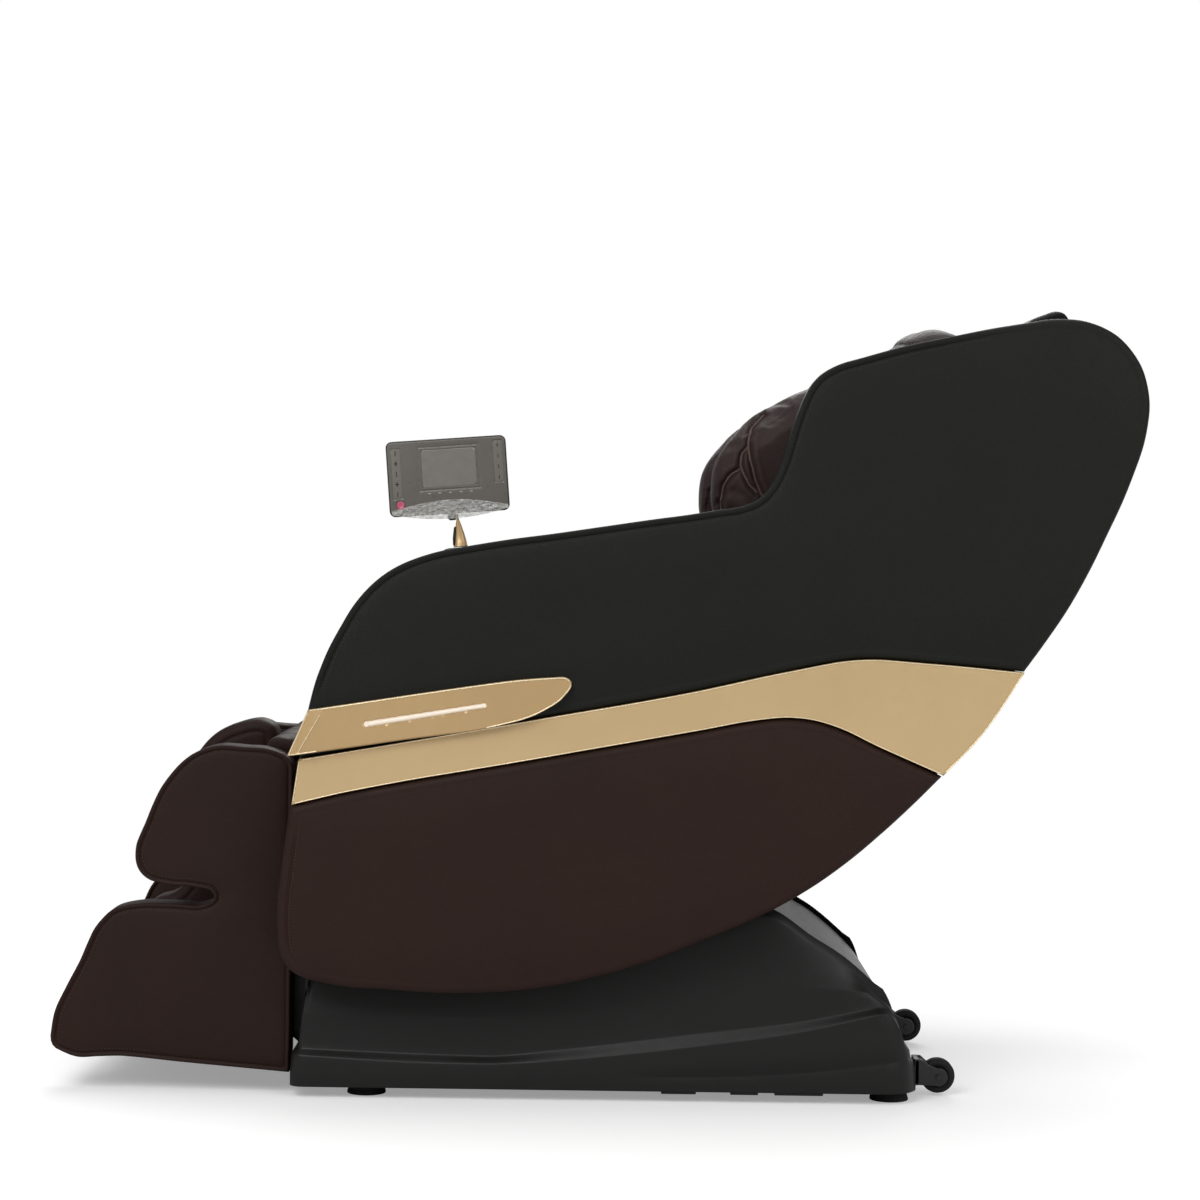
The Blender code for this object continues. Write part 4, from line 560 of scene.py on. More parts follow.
# geometry nodes: lines of stitches, piping and ribs
def linkedTree(name, sizes):
    tree = bpy.data.node_groups.new(name, "GeometryNodeTree")
    tree.interface.new_socket("Geometry", in_out="INPUT", socket_type="NodeSocketGeometry")
    for label, value in sizes.items():
        kind = "NodeSocketInt" if isinstance(value, int) else "NodeSocketFloat"
        socket = tree.interface.new_socket(label, in_out="INPUT", socket_type=kind)
        socket.default_value = value
    tree.interface.new_socket("Finish", in_out="INPUT", socket_type="NodeSocketMaterial")
    tree.interface.new_socket("Geometry", in_out="OUTPUT", socket_type="NodeSocketGeometry")
    return tree, tree.nodes.new("NodeGroupInput"), tree.nodes.new("NodeGroupOutput")


def closeTree(tree, given, out, geometry, smooth=True):
    whole = addNode(tree, "GeometryNodeRealizeInstances", {"Geometry": geometry}).outputs[0]
    if smooth:
        whole = addNode(tree, "GeometryNodeSetShadeSmooth", {"Geometry": whole}).outputs[0]
    dressed = addNode(tree, "GeometryNodeSetMaterial",
                      {"Geometry": whole, "Material": given.outputs["Finish"]})
    tree.links.new(dressed.outputs[0], out.inputs[0])
    return tree


stitchSizes = {"Pitch": 0.0046, "Length": 0.0034, "Radius": 0.00052}
stitchLift = 0.0001


def makeStitchTree():
    tree, given, out = linkedTree("stitchLine", stitchSizes)
    dots = addNode(tree, "GeometryNodeCurveToPoints", {"Curve": given.outputs["Geometry"],
                                                       "Length": given.outputs["Pitch"]}, mode="LENGTH")
    bead = addNode(tree, "GeometryNodeMeshUVSphere", {"Segments": 5, "Rings": 4, "Radius": 1.0})
    half = addNode(tree, "ShaderNodeMath", {0: given.outputs["Length"], 1: 0.5}, operation="MULTIPLY")
    size = addNode(tree, "ShaderNodeCombineXYZ", {"X": half.outputs[0], "Y": given.outputs["Radius"],
                                                  "Z": given.outputs["Radius"]})
    turn = addNode(tree, "FunctionNodeAlignRotationToVector", {"Vector": dots.outputs["Tangent"]}, axis="X")
    placed = addNode(tree, "GeometryNodeInstanceOnPoints",
                     {"Points": dots.outputs["Points"], "Instance": bead.outputs["Mesh"],
                      "Rotation": turn.outputs[0], "Scale": size.outputs[0]})
    return closeTree(tree, given, out, placed.outputs[0])


pipingSizes = {"Radius": 0.0022, "Step": 0.005}


def makePipingTree():
    tree, given, out = linkedTree("pipingLine", pipingSizes)
    even = addNode(tree, "GeometryNodeResampleCurve", {"Curve": given.outputs["Geometry"],
                                                       "Length": given.outputs["Step"]}, mode="LENGTH")
    ring = addNode(tree, "GeometryNodeCurvePrimitiveCircle", {"Resolution": 8,
                                                              "Radius": given.outputs["Radius"]})
    cord = addNode(tree, "GeometryNodeCurveToMesh", {"Curve": even.outputs[0],
                                                     "Profile Curve": ring.outputs[0], "Fill Caps": True})
    return closeTree(tree, given, out, cord.outputs[0])


def curveOf(runs):
    # poly lines for a tree to follow
    data = bpy.data.curves.new("run", "CURVE")
    data.dimensions = "3D"
    for run in runs:
        if len(run) < 2:
            continue
        spline = data.splines.new("POLY")
        spline.points.add(len(run) - 1)
        for point, place in zip(spline.points, run):
            point.co = (*place, 1)
    return helper(data, "run")


def grown(name, source, tree, material, sizes=None):
    # runs a tree on an object and returns a plain mesh; the modifier goes with the helper
    live = source.modifiers.new("grow", "NODES")
    live.node_group = tree
    for item in tree.interface.items_tree:
        if item.item_type == "SOCKET" and item.in_out == "INPUT":
            if item.name in (sizes or {}):
                live[item.identifier] = sizes[item.name]
            elif item.name == "Finish":
                live[item.identifier] = material
    graph = bpy.context.evaluated_depsgraph_get()
    mesh = bpy.data.meshes.new_from_object(source.evaluated_get(graph), depsgraph=graph)
    mesh.name = name
    source.modifiers.remove(live)
    bpy.data.objects.remove(source, do_unlink=True)
    return mesh


stitchTree = makeStitchTree()
pipingTree = makePipingTree()


def stitched(name, lines, body, sizes=stitchSizes):
    pieceOf(name, grown(name, curveOf(lines), stitchTree, thread, sizes), thread, body)


def stitchedPair(name, lines, body, sizes=stitchSizes):
    pairOf(name, grown(name, curveOf(lines), stitchTree, thread, sizes), thread, body)


def splitRuns(points, good, shortest=4):
    # keeps the good stretches of a closed line as separate runs
    start = 0 if all(good) else list(good).index(False)
    runs, run = [], []
    for place, fine in zip([*points[start:], *points[:start]], [*good[start:], *good[:start]]):
        if fine:
            run.append(tuple(place))
            continue
        if len(run) >= shortest:
            runs.append(run)
        run = []
    return runs + [run] if len(run) >= shortest else runs


print("mesh and node tools ready")


# outer shell: black upper panel, gold band, brown lower panel
panelLook = {"round": 0.0125, "rollWidth": 0.0095, "rollRadius": 0.0046,
             "seamDeep": 0.0026, "crown": 0.0056, "crownReach": 0.08, "stitchIn": 0.0135, "fill": 0.011}


def sideLevel(node):
    # the flat outer side of a left-hand node, and its inner side
    low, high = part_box(node)
    return low.y, high.y


def rollShare(places):
    # the rolled edge runs along the arm and the wing and dies out over the head
    x, z = places[:, 0], places[:, 1]
    return np.clip((0.62 - x) / 0.14, 0, 1) * np.clip((z - 0.575 - np.maximum(x, 0) * 0.25) / 0.03, 0, 1)


def upperSink(places, depth):
    # a rolled edge along the arm and the wing, plain round over the head, and the panel's own crown
    look = panelLook
    share = rollShare(places)
    rolled = rolledEdge(depth, look, 0.012)
    crown = crownSink(depth, look["crown"], look["crownReach"], look["round"])
    return share * rolled + (1 - share) * roundRim(depth, look["round"]) + crown


lowerLook = {"round": 0.0135, "crown": 0.0046, "crownReach": 0.07, "seamIn": 0.0145, "seamHalf": 0.0028,
             "seamDeep": 0.0022, "dentPlace": (0.045, 0.335), "dentSize": (0.165, 0.026), "dentSlope": 0.16,
             "dentDeep": 0.0010, "stitchIn": 0.0185}


def lowerSink(places, depth):
    # round at the rim, with a seam up its front edge and a faint pressed oval
    look = lowerLook
    x, z = places[:, 0], places[:, 1]
    front = np.clip((-0.30 - x) / 0.05, 0, 1) * np.clip((0.40 - z) / 0.03, 0, 1) \
        * np.clip((z - 0.20) / 0.03, 0, 1)
    seam = groove(depth, look["seamIn"], look["seamHalf"], look["seamDeep"]) * front
    crown = crownSink(depth, look["crown"], look["crownReach"], look["round"])
    (cx, cz), (wide, tall) = look["dentPlace"], look["dentSize"]
    oval = np.sqrt(((x - cx) / wide) ** 2 + ((z - cz - (x - cx) * look["dentSlope"]) / tall) ** 2)
    dent = look["dentDeep"] * bell(oval, 1.0, 0.10) * np.clip((x + 0.15) / 0.1, 0, 1)
    return roundRim(depth, look["round"]) + seam + crown + dent


def nodeSkin(node, name, level, step, insets, fill, sink, backSink=None):
    # a face over a flat node's outline, taken at a level behind its outer side
    faceY, backY = sideLevel(node)
    loop = smoothLoop(outlineOf(node, faceY + level), step)
    return skinMesh(name, loop, insets, fill, faceY, backY, sink, backSink), loop, faceY


upperRings = [0.0008, 0.002, 0.0035, 0.005, 0.0065, 0.008, 0.009, 0.0095, 0.0102, 0.0115,
              0.0135, 0.016, 0.020, 0.026]
lowerRings = [0.0008, 0.002, 0.004, 0.0065, 0.009, 0.0115, 0.013, 0.0145, 0.016, 0.0175, 0.022]
upperMesh, upperLoop, shellY = nodeSkin("side_panel_left", "side_panel", 0.012, 0.006, upperRings,
                                        panelLook["fill"], upperSink)
pairOf("side_panel", upperMesh, blackLeather, "cradle", "side_panel", "Skin")
lowerMesh, lowerLoop, _ = nodeSkin("lower_panel_left", "lower_panel", 0.012, 0.006, lowerRings, 0.010,
                                   lowerSink)
pairOf("lower_panel", lowerMesh, brownLeather, "cradle", "lower_panel", "Skin")


def ringAt(loop, depth, sink, faceY, lift):
    # points of a loop moved inwards and set on the surface the sink gives
    moved, good = insetRun(loop, depth)
    sunk = sink(moved, np.full(len(moved), depth))
    return moved, [(p[0], faceY + k - lift, p[1]) for p, k in zip(moved, sunk)], good


def seamPoints(loop, depth, sink, faceY, lift, keepWhere):
    moved, places, good = ringAt(loop, depth, sink, faceY, lift)
    return splitRuns(places, list(good & keepWhere(moved)))


armAndWing = seamPoints(upperLoop, panelLook["stitchIn"], upperSink, shellY, stitchLift,
                        lambda p: rollShare(p) > 0.5)
stitchedPair("wingStitch", armAndWing, "cradle")
frontRoll = seamPoints(lowerLoop, lowerLook["stitchIn"], lowerSink, shellY, stitchLift,
                       lambda p: (p[:, 0] < -0.30) & (p[:, 1] > 0.22) & (p[:, 1] < 0.405))
stitchedPair("frontRollStitch", frontRoll, "cradle")
print("outer panels done")


# gold band, arm-front trim and its light bar
bandLook = {"edge": 0.0016, "crown": 0.0012, "crownReach": 0.03, "fill": 0.012}


def bandSink(places, depth):
    look = bandLook
    return roundRim(depth, look["edge"]) + crownSink(depth, look["crown"], look["crownReach"], look["edge"])


bandRings = [0.0003, 0.0007, 0.0012, 0.0016, 0.003, 0.008, 0.016]
bandMesh, bandLoop, bandFace = nodeSkin("gold_band_left", "goldBand", 0.003, 0.006, bandRings,
                                        bandLook["fill"], bandSink)
pairOf("goldBand", bandMesh, goldBandPaint, "cradle", "gold_band")

trimLook = {"edge": 0.0018, "facetStart": (-0.381, 0.556), "facetEnd": (-0.413, 0.500),
            "facetDrop": 0.0075, "facetWide": 0.019, "pocketDeep": 0.0020, "pocketWall": 0.0006}
barLook = {"start": (-0.317, 0.5415), "end": (-0.153, 0.5695), "halfStart": 0.0046, "halfEnd": 0.0038}


def barDistance(places):
    start, end = np.array(barLook["start"]), np.array(barLook["end"])
    span = end - start
    along = np.clip(((places - start) @ span) / (span @ span), 0, 1)
    near = start + along[:, None] * span
    return np.linalg.norm(places - near, axis=1) - (barLook["halfStart"]
                                                    + (barLook["halfEnd"] - barLook["halfStart"]) * along)


def trimSink(places, depth):
    look = trimLook
    rim = np.where(depth < look["edge"], look["edge"] - depth, 0)
    a, b = np.array(look["facetStart"]), np.array(look["facetEnd"])
    line = (b - a) / np.linalg.norm(b - a)
    off = (places[:, 0] - a[0]) * line[1] - (places[:, 1] - a[1]) * line[0]
    facet = np.clip(off / look["facetWide"], 0, 1) * look["facetDrop"]
    pocket = np.clip(-barDistance(places) / look["pocketWall"], 0, 1) * look["pocketDeep"]
    return np.maximum(rim + facet, pocket)


trimMesh, trimLoop, trimFace = nodeSkin("armrest_trim_left", "armTrim", 0.003, 0.003,
                                        [0.0009, 0.0018, 0.0026, 0.0045], 0.0032, trimSink)
pairOf("armTrim", trimMesh, goldTrimPaint, "cradle", "armrest_trim", smooth=False)


def barMesh():
    # a shallow rounded strip between two half circles
    start, end = Vector(barLook["start"]), Vector(barLook["end"])
    turn = math.atan2(end.y - start.y, end.x - start.x)
    outline = []
    for centre, half, first in ((end, barLook["halfEnd"], -90), (start, barLook["halfStart"], 90)):
        for k in range(9):
            angle = turn + math.radians(first + 180 * k / 8)
            outline.append((centre.x + math.cos(angle) * (half - 0.0004),
                            centre.y + math.sin(angle) * (half - 0.0004)))
    return skinMesh("lightBar", outline, [0.0004, 0.0009, 0.0016], 0.0028, trimFace - 0.0002,
                    trimFace + 0.0019, lambda p, d: roundRim(d, 0.0012))


pairOf("lightBar", barMesh(), lightDiffuser, "cradle", "light_bar")
print("gold trim done")


# soft goods: cushions swell by cloth pressure, then get their seams, puckers and stitches
softLook = {"voxel": 0.0075, "frames": 20, "shrink": 0.004}
clothRules = {"quality": 4, "mass": 0.25, "tension_stiffness": 12, "compression_stiffness": 8,
              "shear_stiffness": 4, "bending_stiffness": 0.35, "use_pressure": True,
              "uniform_pressure_force": 4.0, "vertex_group_mass": "held"}


def rawVerts(mesh, kind="co"):
    values = np.empty(len(mesh.vertices) * 3)
    mesh.vertices.foreach_get(kind, values)
    return values.reshape(-1, 3)


def setVerts(mesh, places):
    mesh.vertices.foreach_set("co", np.ascontiguousarray(places, float).ravel())
    mesh.update()


def rawNormals(mesh):
    return rawVerts(mesh, "normal")


def surfaceTree(mesh):
    return BVHTree.FromPolygons([v.co for v in mesh.vertices], [tuple(p.vertices) for p in mesh.polygons])


def weld(work):
    bmesh.ops.remove_doubles(work, verts=work.verts, dist=0.00002)


def swollen(node, cap, proud, voxel, base=None):
    # a copy of the CAD solid, made even and a little slimmer, then blown up inside its limits
    solid = helper(reworked(nodes[node].data, weld, node + "Soft"))
    smooth = solid.modifiers.new("smooth", "SUBSURF")
    smooth.levels = smooth.render_levels = 1
    even = solid.modifiers.new("even", "REMESH")
    even.mode = "VOXEL"
    even.voxel_size = voxel
    mesh = finishedMesh(solid)
    start = rawVerts(mesh) - rawNormals(mesh) * softLook["shrink"]
    setVerts(mesh, start)
    form = helper(mesh)
    held = form.vertex_groups.new(name="held")
    if base is not None:
        origin, normal, deep = base
        low = (start - np.array(origin)) @ np.array(normal) < deep
        held.add([int(i) for i in np.nonzero(low)[0]], 1.0, "REPLACE")
    cloth = form.modifiers.new("swell", "CLOTH")
    for key, value in clothRules.items():
        setattr(cloth.settings, key, value)
    cloth.settings.effector_weights.gravity = 0
    cloth.collision_settings.use_collision = False
    cloth.point_cache.frame_start = 1
    cloth.point_cache.frame_end = softLook["frames"]
    for step in range(1, softLook["frames"] + 1):
        bpy.context.scene.frame_set(step)
    graph = bpy.context.evaluated_depsgraph_get()
    move = rawVerts(form.evaluated_get(graph).data) - start
    form.modifiers.remove(cloth)
    bpy.context.scene.frame_set(1)
    far = np.linalg.norm(move, axis=1)
    move *= np.minimum(1, cap / np.maximum(far, 1e-9))[:, None]
    setVerts(form.data, start + move)
    keepInside(form.data, limitOf(node), proud)
    last = form.modifiers.new("last", "SUBSURF")
    last.levels = last.render_levels = 1
    return finishedMesh(form)


def limitOf(node):
    work = bmesh.new()
    work.from_mesh(nodes[node].data)
    weld(work)
    bmesh.ops.recalc_face_normals(work, faces=work.faces)
    tree = BVHTree.FromBMesh(work)
    work.free()
    return tree


def keepInside(mesh, tree, proud):
    # no point stands more than this far outside the CAD solid
    for vert in mesh.vertices:
        near, normal, _, gap = tree.find_nearest(vert.co)
        if near is None:
            continue
        out = (vert.co - near).dot(normal)
        if out > 0 and gap > proud:
            vert.co = near + (vert.co - near) * (proud / gap)
    mesh.update()


def measured(runs, step=0.004):
    # the runs walked at an even step, with the length walked so far
    places, walked, total = [], [], 0.0
    for run in runs:
        points = [Vector(p) for p in run]
        for a, b in zip(points, points[1:]):
            parts = max(1, round((b - a).length / step))
            for k in range(parts):
                places.append(a.lerp(b, k / parts))
                walked.append(total + (b - a).length * k / parts)
            total += (b - a).length
        places.append(points[-1])
        walked.append(total)
        total += 1.0
    return np.array([tuple(p) for p in places]), np.array(walked)


def lineGap(flat, runs):
    # distance from each point to the nearest line, and how far along that line it is
    dots, walked = measured(runs)
    gap = np.empty(len(flat))
    along = np.empty(len(flat))
    for first in range(0, len(flat), 1500):
        part = flat[first:first + 1500]
        square = ((part[:, None, :] - dots[None]) ** 2).sum(2)
        near = square.argmin(1)
        gap[first:first + 1500] = np.sqrt(square[np.arange(len(part)), near])
        along[first:first + 1500] = walked[near]
    return gap, along


class Bed:
    # the flat frame a cushion lies in: along it, across it and up from it
    def __init__(self, start, end, turn=1):
        self.origin = Vector((start[0], 0, start[1]))
        self.along = (Vector((end[0], 0, end[1])) - self.origin).normalized()
        self.up = Vector((-self.along.z, 0, self.along.x)) * turn

    def flatten(self, places):
        off = places - np.array(self.origin)
        return np.stack([off @ np.array(self.along), places[:, 1]], 1), off @ np.array(self.up)

    def place(self, along, across, up):
        spot = self.origin + self.along * along + self.up * up
        return Vector((spot.x, across, spot.z))


seamLook = {"half": 0.007, "deep": 0.0045, "pucker": 0.0007, "puckerPitch": 0.011, "puckerReach": 0.014}


def carve(mesh, bed, runs, look=seamLook, bothWays=False):
    # sewn seams pull the cover in, with small gathers beside them
    places, normals = rawVerts(mesh), rawNormals(mesh)
    flat, _ = bed.flatten(places)
    gap, along = lineGap(flat, runs)
    facing = normals @ np.array(bed.up)
    side = np.clip((np.abs(facing) if bothWays else facing) * 1.6, 0, 1)
    pull = look["deep"] * np.exp(-(gap / look["half"]) ** 2)
    gather = look["pucker"] * np.exp(-(gap / look["puckerReach"]) ** 2) \
        * (0.5 + 0.5 * np.sin(2 * np.pi * along / look["puckerPitch"] + 2.5 * np.sin(along * 41.0)))
    sink = ((pull + gather) * side)[:, None] * np.array(bed.up)[None]
    if bothWays:
        sink *= np.sign(facing)[:, None]
    setVerts(mesh, places - sink)


def ripple(mesh, scale, high, seed=0.0):
    # slow unevenness of stuffed leather
    places, normals = rawVerts(mesh), rawNormals(mesh)
    wave = np.array([noise.noise(Vector(p) * scale + Vector((seed, seed, seed))) for p in places])
    setVerts(mesh, places + normals * (wave * high)[:, None])


def draped(mesh, bed, runs, lift, shift=0.0, step=0.004):
    # the lines laid on the cushion from above, moved sideways by the shift
    tree = surfaceTree(mesh)
    result = []
    for run in runs:
        dots, _ = measured([run], step)
        side = np.gradient(dots, axis=0)
        side /= np.maximum(np.linalg.norm(side, axis=1), 1e-9)[:, None]
        dots = dots + np.stack([-side[:, 1], side[:, 0]], 1) * shift
        line = []
        for along, across in dots:
            hit, normal, _, _ = tree.ray_cast(bed.place(along, across, 0.25), -bed.up)
            if hit is None or normal.dot(bed.up) < 0.15:
                if len(line) > 3:
                    result.append(line)
                line = []
                continue
            line.append(tuple(hit + normal * lift))
        if len(line) > 3:
            result.append(line)
    return result


def sewnPiece(name, mesh, bed, seams, material, body, stands, pipes=()):
    # keeps a cushion with its stitches and piping
    piece = pieceOf(name, mesh, material, body, stands)
    lines = draped(mesh, bed, seams, stitchLift, 0.0040) + draped(mesh, bed, seams, stitchLift, -0.0040)
    stitched(name + "Stitch", lines, body)
    if pipes:
        cords = draped(mesh, bed, pipes, 0.0008)
        pieceOf(name + "Piping", grown(name + "Piping", curveOf(cords), pipingTree, edgePiping,
                                       {"Radius": 0.0023, "Step": 0.006}), edgePiping, body)


def across(at, half, bow=0.0, parts=24):
    return [(at + bow * (1 - (2 * k / parts - 1) ** 2), -half + 2 * half * k / parts)
            for k in range(parts + 1)]


def lengthwise(y, low, high, lean=0.0, parts=24):
    return [(low + (high - low) * k / parts, y + lean * math.sin(math.pi * k / parts))
            for k in range(parts + 1)]


seatBed = Bed((-0.385, 0.4798), (0.098, 0.3948))
backBed = Bed((0.100 + 0.803 * 0.060, 0.470 - 0.596 * 0.060), (0.570 + 0.803 * 0.060, 1.103 - 0.596 * 0.060))
cushionLooks = {
    "seat": {"bed": seatBed, "cap": 0.020, "rest": 0.012, "wave": (14.0, 3.0), "sideSeam": 0.168,
             "run": (0.012, 0.470), "lean": 0.012, "rolls": (0.121, 0.242, 0.363), "over": 0.006,
             "bow": 0.006},
    "back": {"bed": backBed, "cap": 0.022, "rest": 0.010, "wave": (13.0, 9.0), "sideSeam": 0.160,
             "run": (0.03, 0.775), "lean": 0.010, "rolls": (0.167, 0.322, 0.477, 0.633), "over": 0.005,
             "bow": -0.008}}


def makeCushion(stem):
    # two long seams, and rolls between them
    look = cushionLooks[stem]
    bed, side = look["bed"], look["sideSeam"]
    mesh = swollen(stem + "_cushion", look["cap"], 0.0035, softLook["voxel"],
                   (bed.origin, bed.up, look["rest"]))
    ripple(mesh, look["wave"][0], 0.0012, look["wave"][1])
    seams = [lengthwise(sign * side, *look["run"], sign * look["lean"]) for sign in (-1, 1)]
    seams += [across(at, side + look["over"], look["bow"]) for at in look["rolls"]]
    carve(mesh, bed, seams)
    sewnPiece(stem + "Cushion", mesh, bed, seams, brownLeather, "cradle",
              [stem + "_cushion"], seams[:2])


pillowLook = {"cap": 0.020, "proud": 0.004, "fill": 0.75, "loft": 0.0075, "above": 0.0528, "voxel": 0.006,
              "seams": (0.664, 0.722), "seamHalf": 0.150}


def makePillow():
    look = pillowLook
    rest = backBed.place(0, 0, look["above"])
    bed = Bed((rest.x, rest.z), (rest.x + backBed.along.x, rest.z + backBed.along.z))
    mesh = swollen("head_pillow", look["cap"], look["proud"], look["voxel"], (bed.origin, bed.up, 0.010))
    places, normals = rawVerts(mesh), rawNormals(mesh)
    raised = np.clip(normals @ np.array(bed.up) + 0.9, 0, 1)
    setVerts(mesh, places + normals * (look["loft"] * raised)[:, None])
    ripple(mesh, 18.0, 0.0014, 21.0)
    seams = [across(at, look["seamHalf"]) for at in look["seams"]]
    carve(mesh, bed, seams, {**seamLook, "deep": 0.0035, "half": 0.006})
    sewnPiece("headPillow", mesh, bed, seams, pillowLeather, "cradle",
              ["head_pillow"])


shoulderLook = {"cap": 0.016, "proud": 0.003, "fill": 0.7,
                "folds": [[(0.240, 0.986), (0.222, 0.966), (0.2170, 0.948), (0.2175, 0.934), (0.2197, 0.921),
                           (0.2272, 0.892), (0.2365, 0.871), (0.243, 0.850)],
                          [(0.2159, 0.939), (0.2071, 0.928), (0.2058, 0.914), (0.2092, 0.903),
                           (0.2184, 0.885), (0.2292, 0.8745)],
                          [(0.2056, 0.908), (0.1914, 0.899), (0.1825, 0.8846), (0.1790, 0.863),
                           (0.1794, 0.848)]]}


class SideBed(Bed):
    # the same frame for a pad that stands on the side wall: drawn in x and z, up is across the chair
    def __init__(self, turn):
        self.up = Vector((0, turn, 0))

    def flatten(self, places):
        return places[:, [0, 2]], places[:, 1] * self.up.y

    def place(self, along, across, up):
        return Vector((along, self.up.y * 2 * up, across))


def makeShoulders():
    look = shoulderLook
    mesh = swollen("shoulder_pad_left", look["cap"], look["proud"], 0.0055)
    bed = SideBed(-1)
    carve(mesh, bed, look["folds"], {"half": 0.0042, "deep": 0.0062, "pucker": 0.0006,
                                     "puckerPitch": 0.013, "puckerReach": 0.010}, True)
    places, normals = rawVerts(mesh), rawNormals(mesh)
    gap, _ = lineGap(places[:, [0, 2]], look["folds"])
    swell = 0.0016 * bell(gap, 0.009, 0.005)
    wrinkle = np.array([noise.noise(Vector((p[0] * 46, p[1] * 12, p[2] * 20 + 4))) for p in places])
    setVerts(mesh, places + normals * (swell + 0.0016 * wrinkle * np.clip(1 - gap / 0.05, 0, 1))[:, None])
    pairOf("shoulderPad", mesh, padLeather, "cradle", "shoulder_pad")
    # tubes along the fold ridges in a paler leather: painted highlight on each ridge
    cords = draped(mesh, bed, look["folds"], 0.0006)
    ridgeHighlights = grown("shoulderRidgeHighlight", curveOf(cords), pipingTree, ridgeHighlightLeather, {"Radius": 0.0017, "Step": 0.004})
    pairOf("shoulderRidgeHighlight", ridgeHighlights, ridgeHighlightLeather, "cradle")


makeCushion("seat")
makeCushion("back")
makePillow()
print("seat, back and pillow done")
makeShoulders()
print("shoulder pads done")


# leg rest: side walls, divider, calf pads and sole pad
wallLook = {"rollRadius": 0.0036, "rollWidth": 0.0066, "seamDeep": 0.0020, "round": 0.010,
            "crown": 0.0030, "crownReach": 0.045, "stitchIn": 0.0108, "swell": 0.0008, "foldLean": 0.15,
            "folds": [(0.0017, -0.604, 0.007, 0.383, 0.026), (-0.0012, -0.621, 0.010, 0.390, 0.028)],
            "pinch": (0.0022, -0.548, 0.030, 0.285, 0.016),
            "stitch": {"Pitch": 0.0052, "Length": 0.0036, "Radius": 0.0005}}


def wallSink(places, depth):
    # a thin piped edge, then the swell of the padded face
    look = wallLook
    edge = rolledEdge(depth, look, look["round"])
    crown = crownSink(depth, look["crown"], look["crownReach"], 0.007)
    x, z = places[:, 0], places[:, 1]
    dent = sum(deep * bell(x - cx + (z - 0.38) * look["foldLean"], 0, wide) * bell(z, cz, tall)
               for deep, cx, wide, cz, tall in look["folds"])
    deep, cx, wide, cz, tall = look["pinch"]
    pinch = deep * bell(x, cx, wide) * bell(z, cz, tall) * np.clip(depth / 0.01, 0, 1)
    swell = look["swell"] * np.sin(x * 23 + 1.3) * np.sin(z * 17) * np.clip(depth / 0.03, 0, 1)
    return edge + crown + dent + pinch + np.maximum(swell, 0)


wallRings = [0.0007, 0.0018, 0.0030, 0.0042, 0.0054, 0.0062, 0.0066, 0.0071, 0.0082, 0.0100, 0.0130,
             0.0170, 0.0230]
wallMesh, wallLoop, wallFace = nodeSkin("legrest_wall_left", "legWall", 0.004, 0.005, wallRings, 0.0095,
                                        wallSink, wallSink)
pairOf("legWall", wallMesh, brownLeather, "legrest", "legrest_wall")
wallSeam = seamPoints(wallLoop, wallLook["stitchIn"], wallSink, wallFace, stitchLift,
                      lambda p: (p[:, 1] > 0.06) & (p[:, 0] < -0.45))
stitchedPair("legWallStitch", wallSeam, "legrest",
             wallLook["stitch"])


def dividerSink(places, depth):
    radius = 0.014
    return roundRim(depth, radius) + groove(depth, 0.018, 0.003, 0.0016) \
        + crownSink(depth, 0.003, 0.05, radius)


dividerRings = [0.001, 0.003, 0.006, 0.010, 0.0135, 0.0155, 0.018, 0.0205, 0.026]
dividerMesh = nodeSkin("legrest_divider", "legDivider", 0.010, 0.006, dividerRings, 0.0105, dividerSink,
                       dividerSink)[0]
pieceOf("legDivider", dividerMesh, brownLeather, "legrest", ["legrest_divider"])

calfBed = Bed((-0.4806, 0.500), (-0.4806, 0.290), -1)
calfLook = {"cap": 0.012, "proud": 0.003, "rolls": (0.070, 0.140), "fill": 0.85, "y": 0.13125, "half": 0.086}


def makeCalfPads():
    look = calfLook
    mesh = swollen("calf_pad_left", look["cap"], look["proud"], 0.0055)
    seams = [[(at, -look["y"] + side * look["half"] * k / 12) for side, k in
              [(-1, 12 - i) for i in range(12)] + [(1, i) for i in range(13)]] for at in look["rolls"]]
    carve(mesh, calfBed, seams, {**seamLook, "half": 0.006, "deep": 0.0035})
    lines = draped(mesh, calfBed, seams, stitchLift, 0.0035) \
        + draped(mesh, calfBed, seams, stitchLift, -0.0035)
    pairOf("calfPad", mesh, padLeather, "legrest", "calf_pad")
    stitchedPair("calfStitch", lines, "legrest")


soleBed = Bed((-0.733, 0.0765), (-0.4866, 0.0585))
soleLook = {"cap": 0.008, "proud": 0.003, "rolls": (0.062, 0.123, 0.184), "fill": 0.8,
            "bumpHigh": 0.0035, "bumpReach": 0.013, "bumpRows": (0.031, 0.092, 0.153, 0.214),
            "bumpSides": (0.092, 0.170)}


def makeSolePad():
    look = soleLook
    mesh = swollen("sole_pad", look["cap"], look["proud"], 0.0060)
    seams = [across(at, 0.205) for at in look["rolls"]] + [lengthwise(0.0, 0.006, 0.236)]
    carve(mesh, soleBed, seams, {**seamLook, "half": 0.005, "deep": 0.0028})
    places, normals = rawVerts(mesh), rawNormals(mesh)
    flat, _ = soleBed.flatten(places)
    rise = np.zeros(len(places))
    for row in look["bumpRows"]:
        for side in look["bumpSides"]:
            for sign in (-1, 1):
                gap = np.hypot(flat[:, 0] - row, flat[:, 1] - sign * side)
                rise = np.maximum(rise, look["bumpHigh"] * bell(gap, 0, look["bumpReach"]))
    facing = np.clip(normals @ np.array(soleBed.up), 0, 1)
    setVerts(mesh, places + np.array(soleBed.up)[None] * (rise * facing)[:, None])
    sewnPiece("solePad", mesh, soleBed, seams, padLeather, "legrest", ["sole_pad"])


makeCalfPads()
makeSolePad()
print("leg rest done")


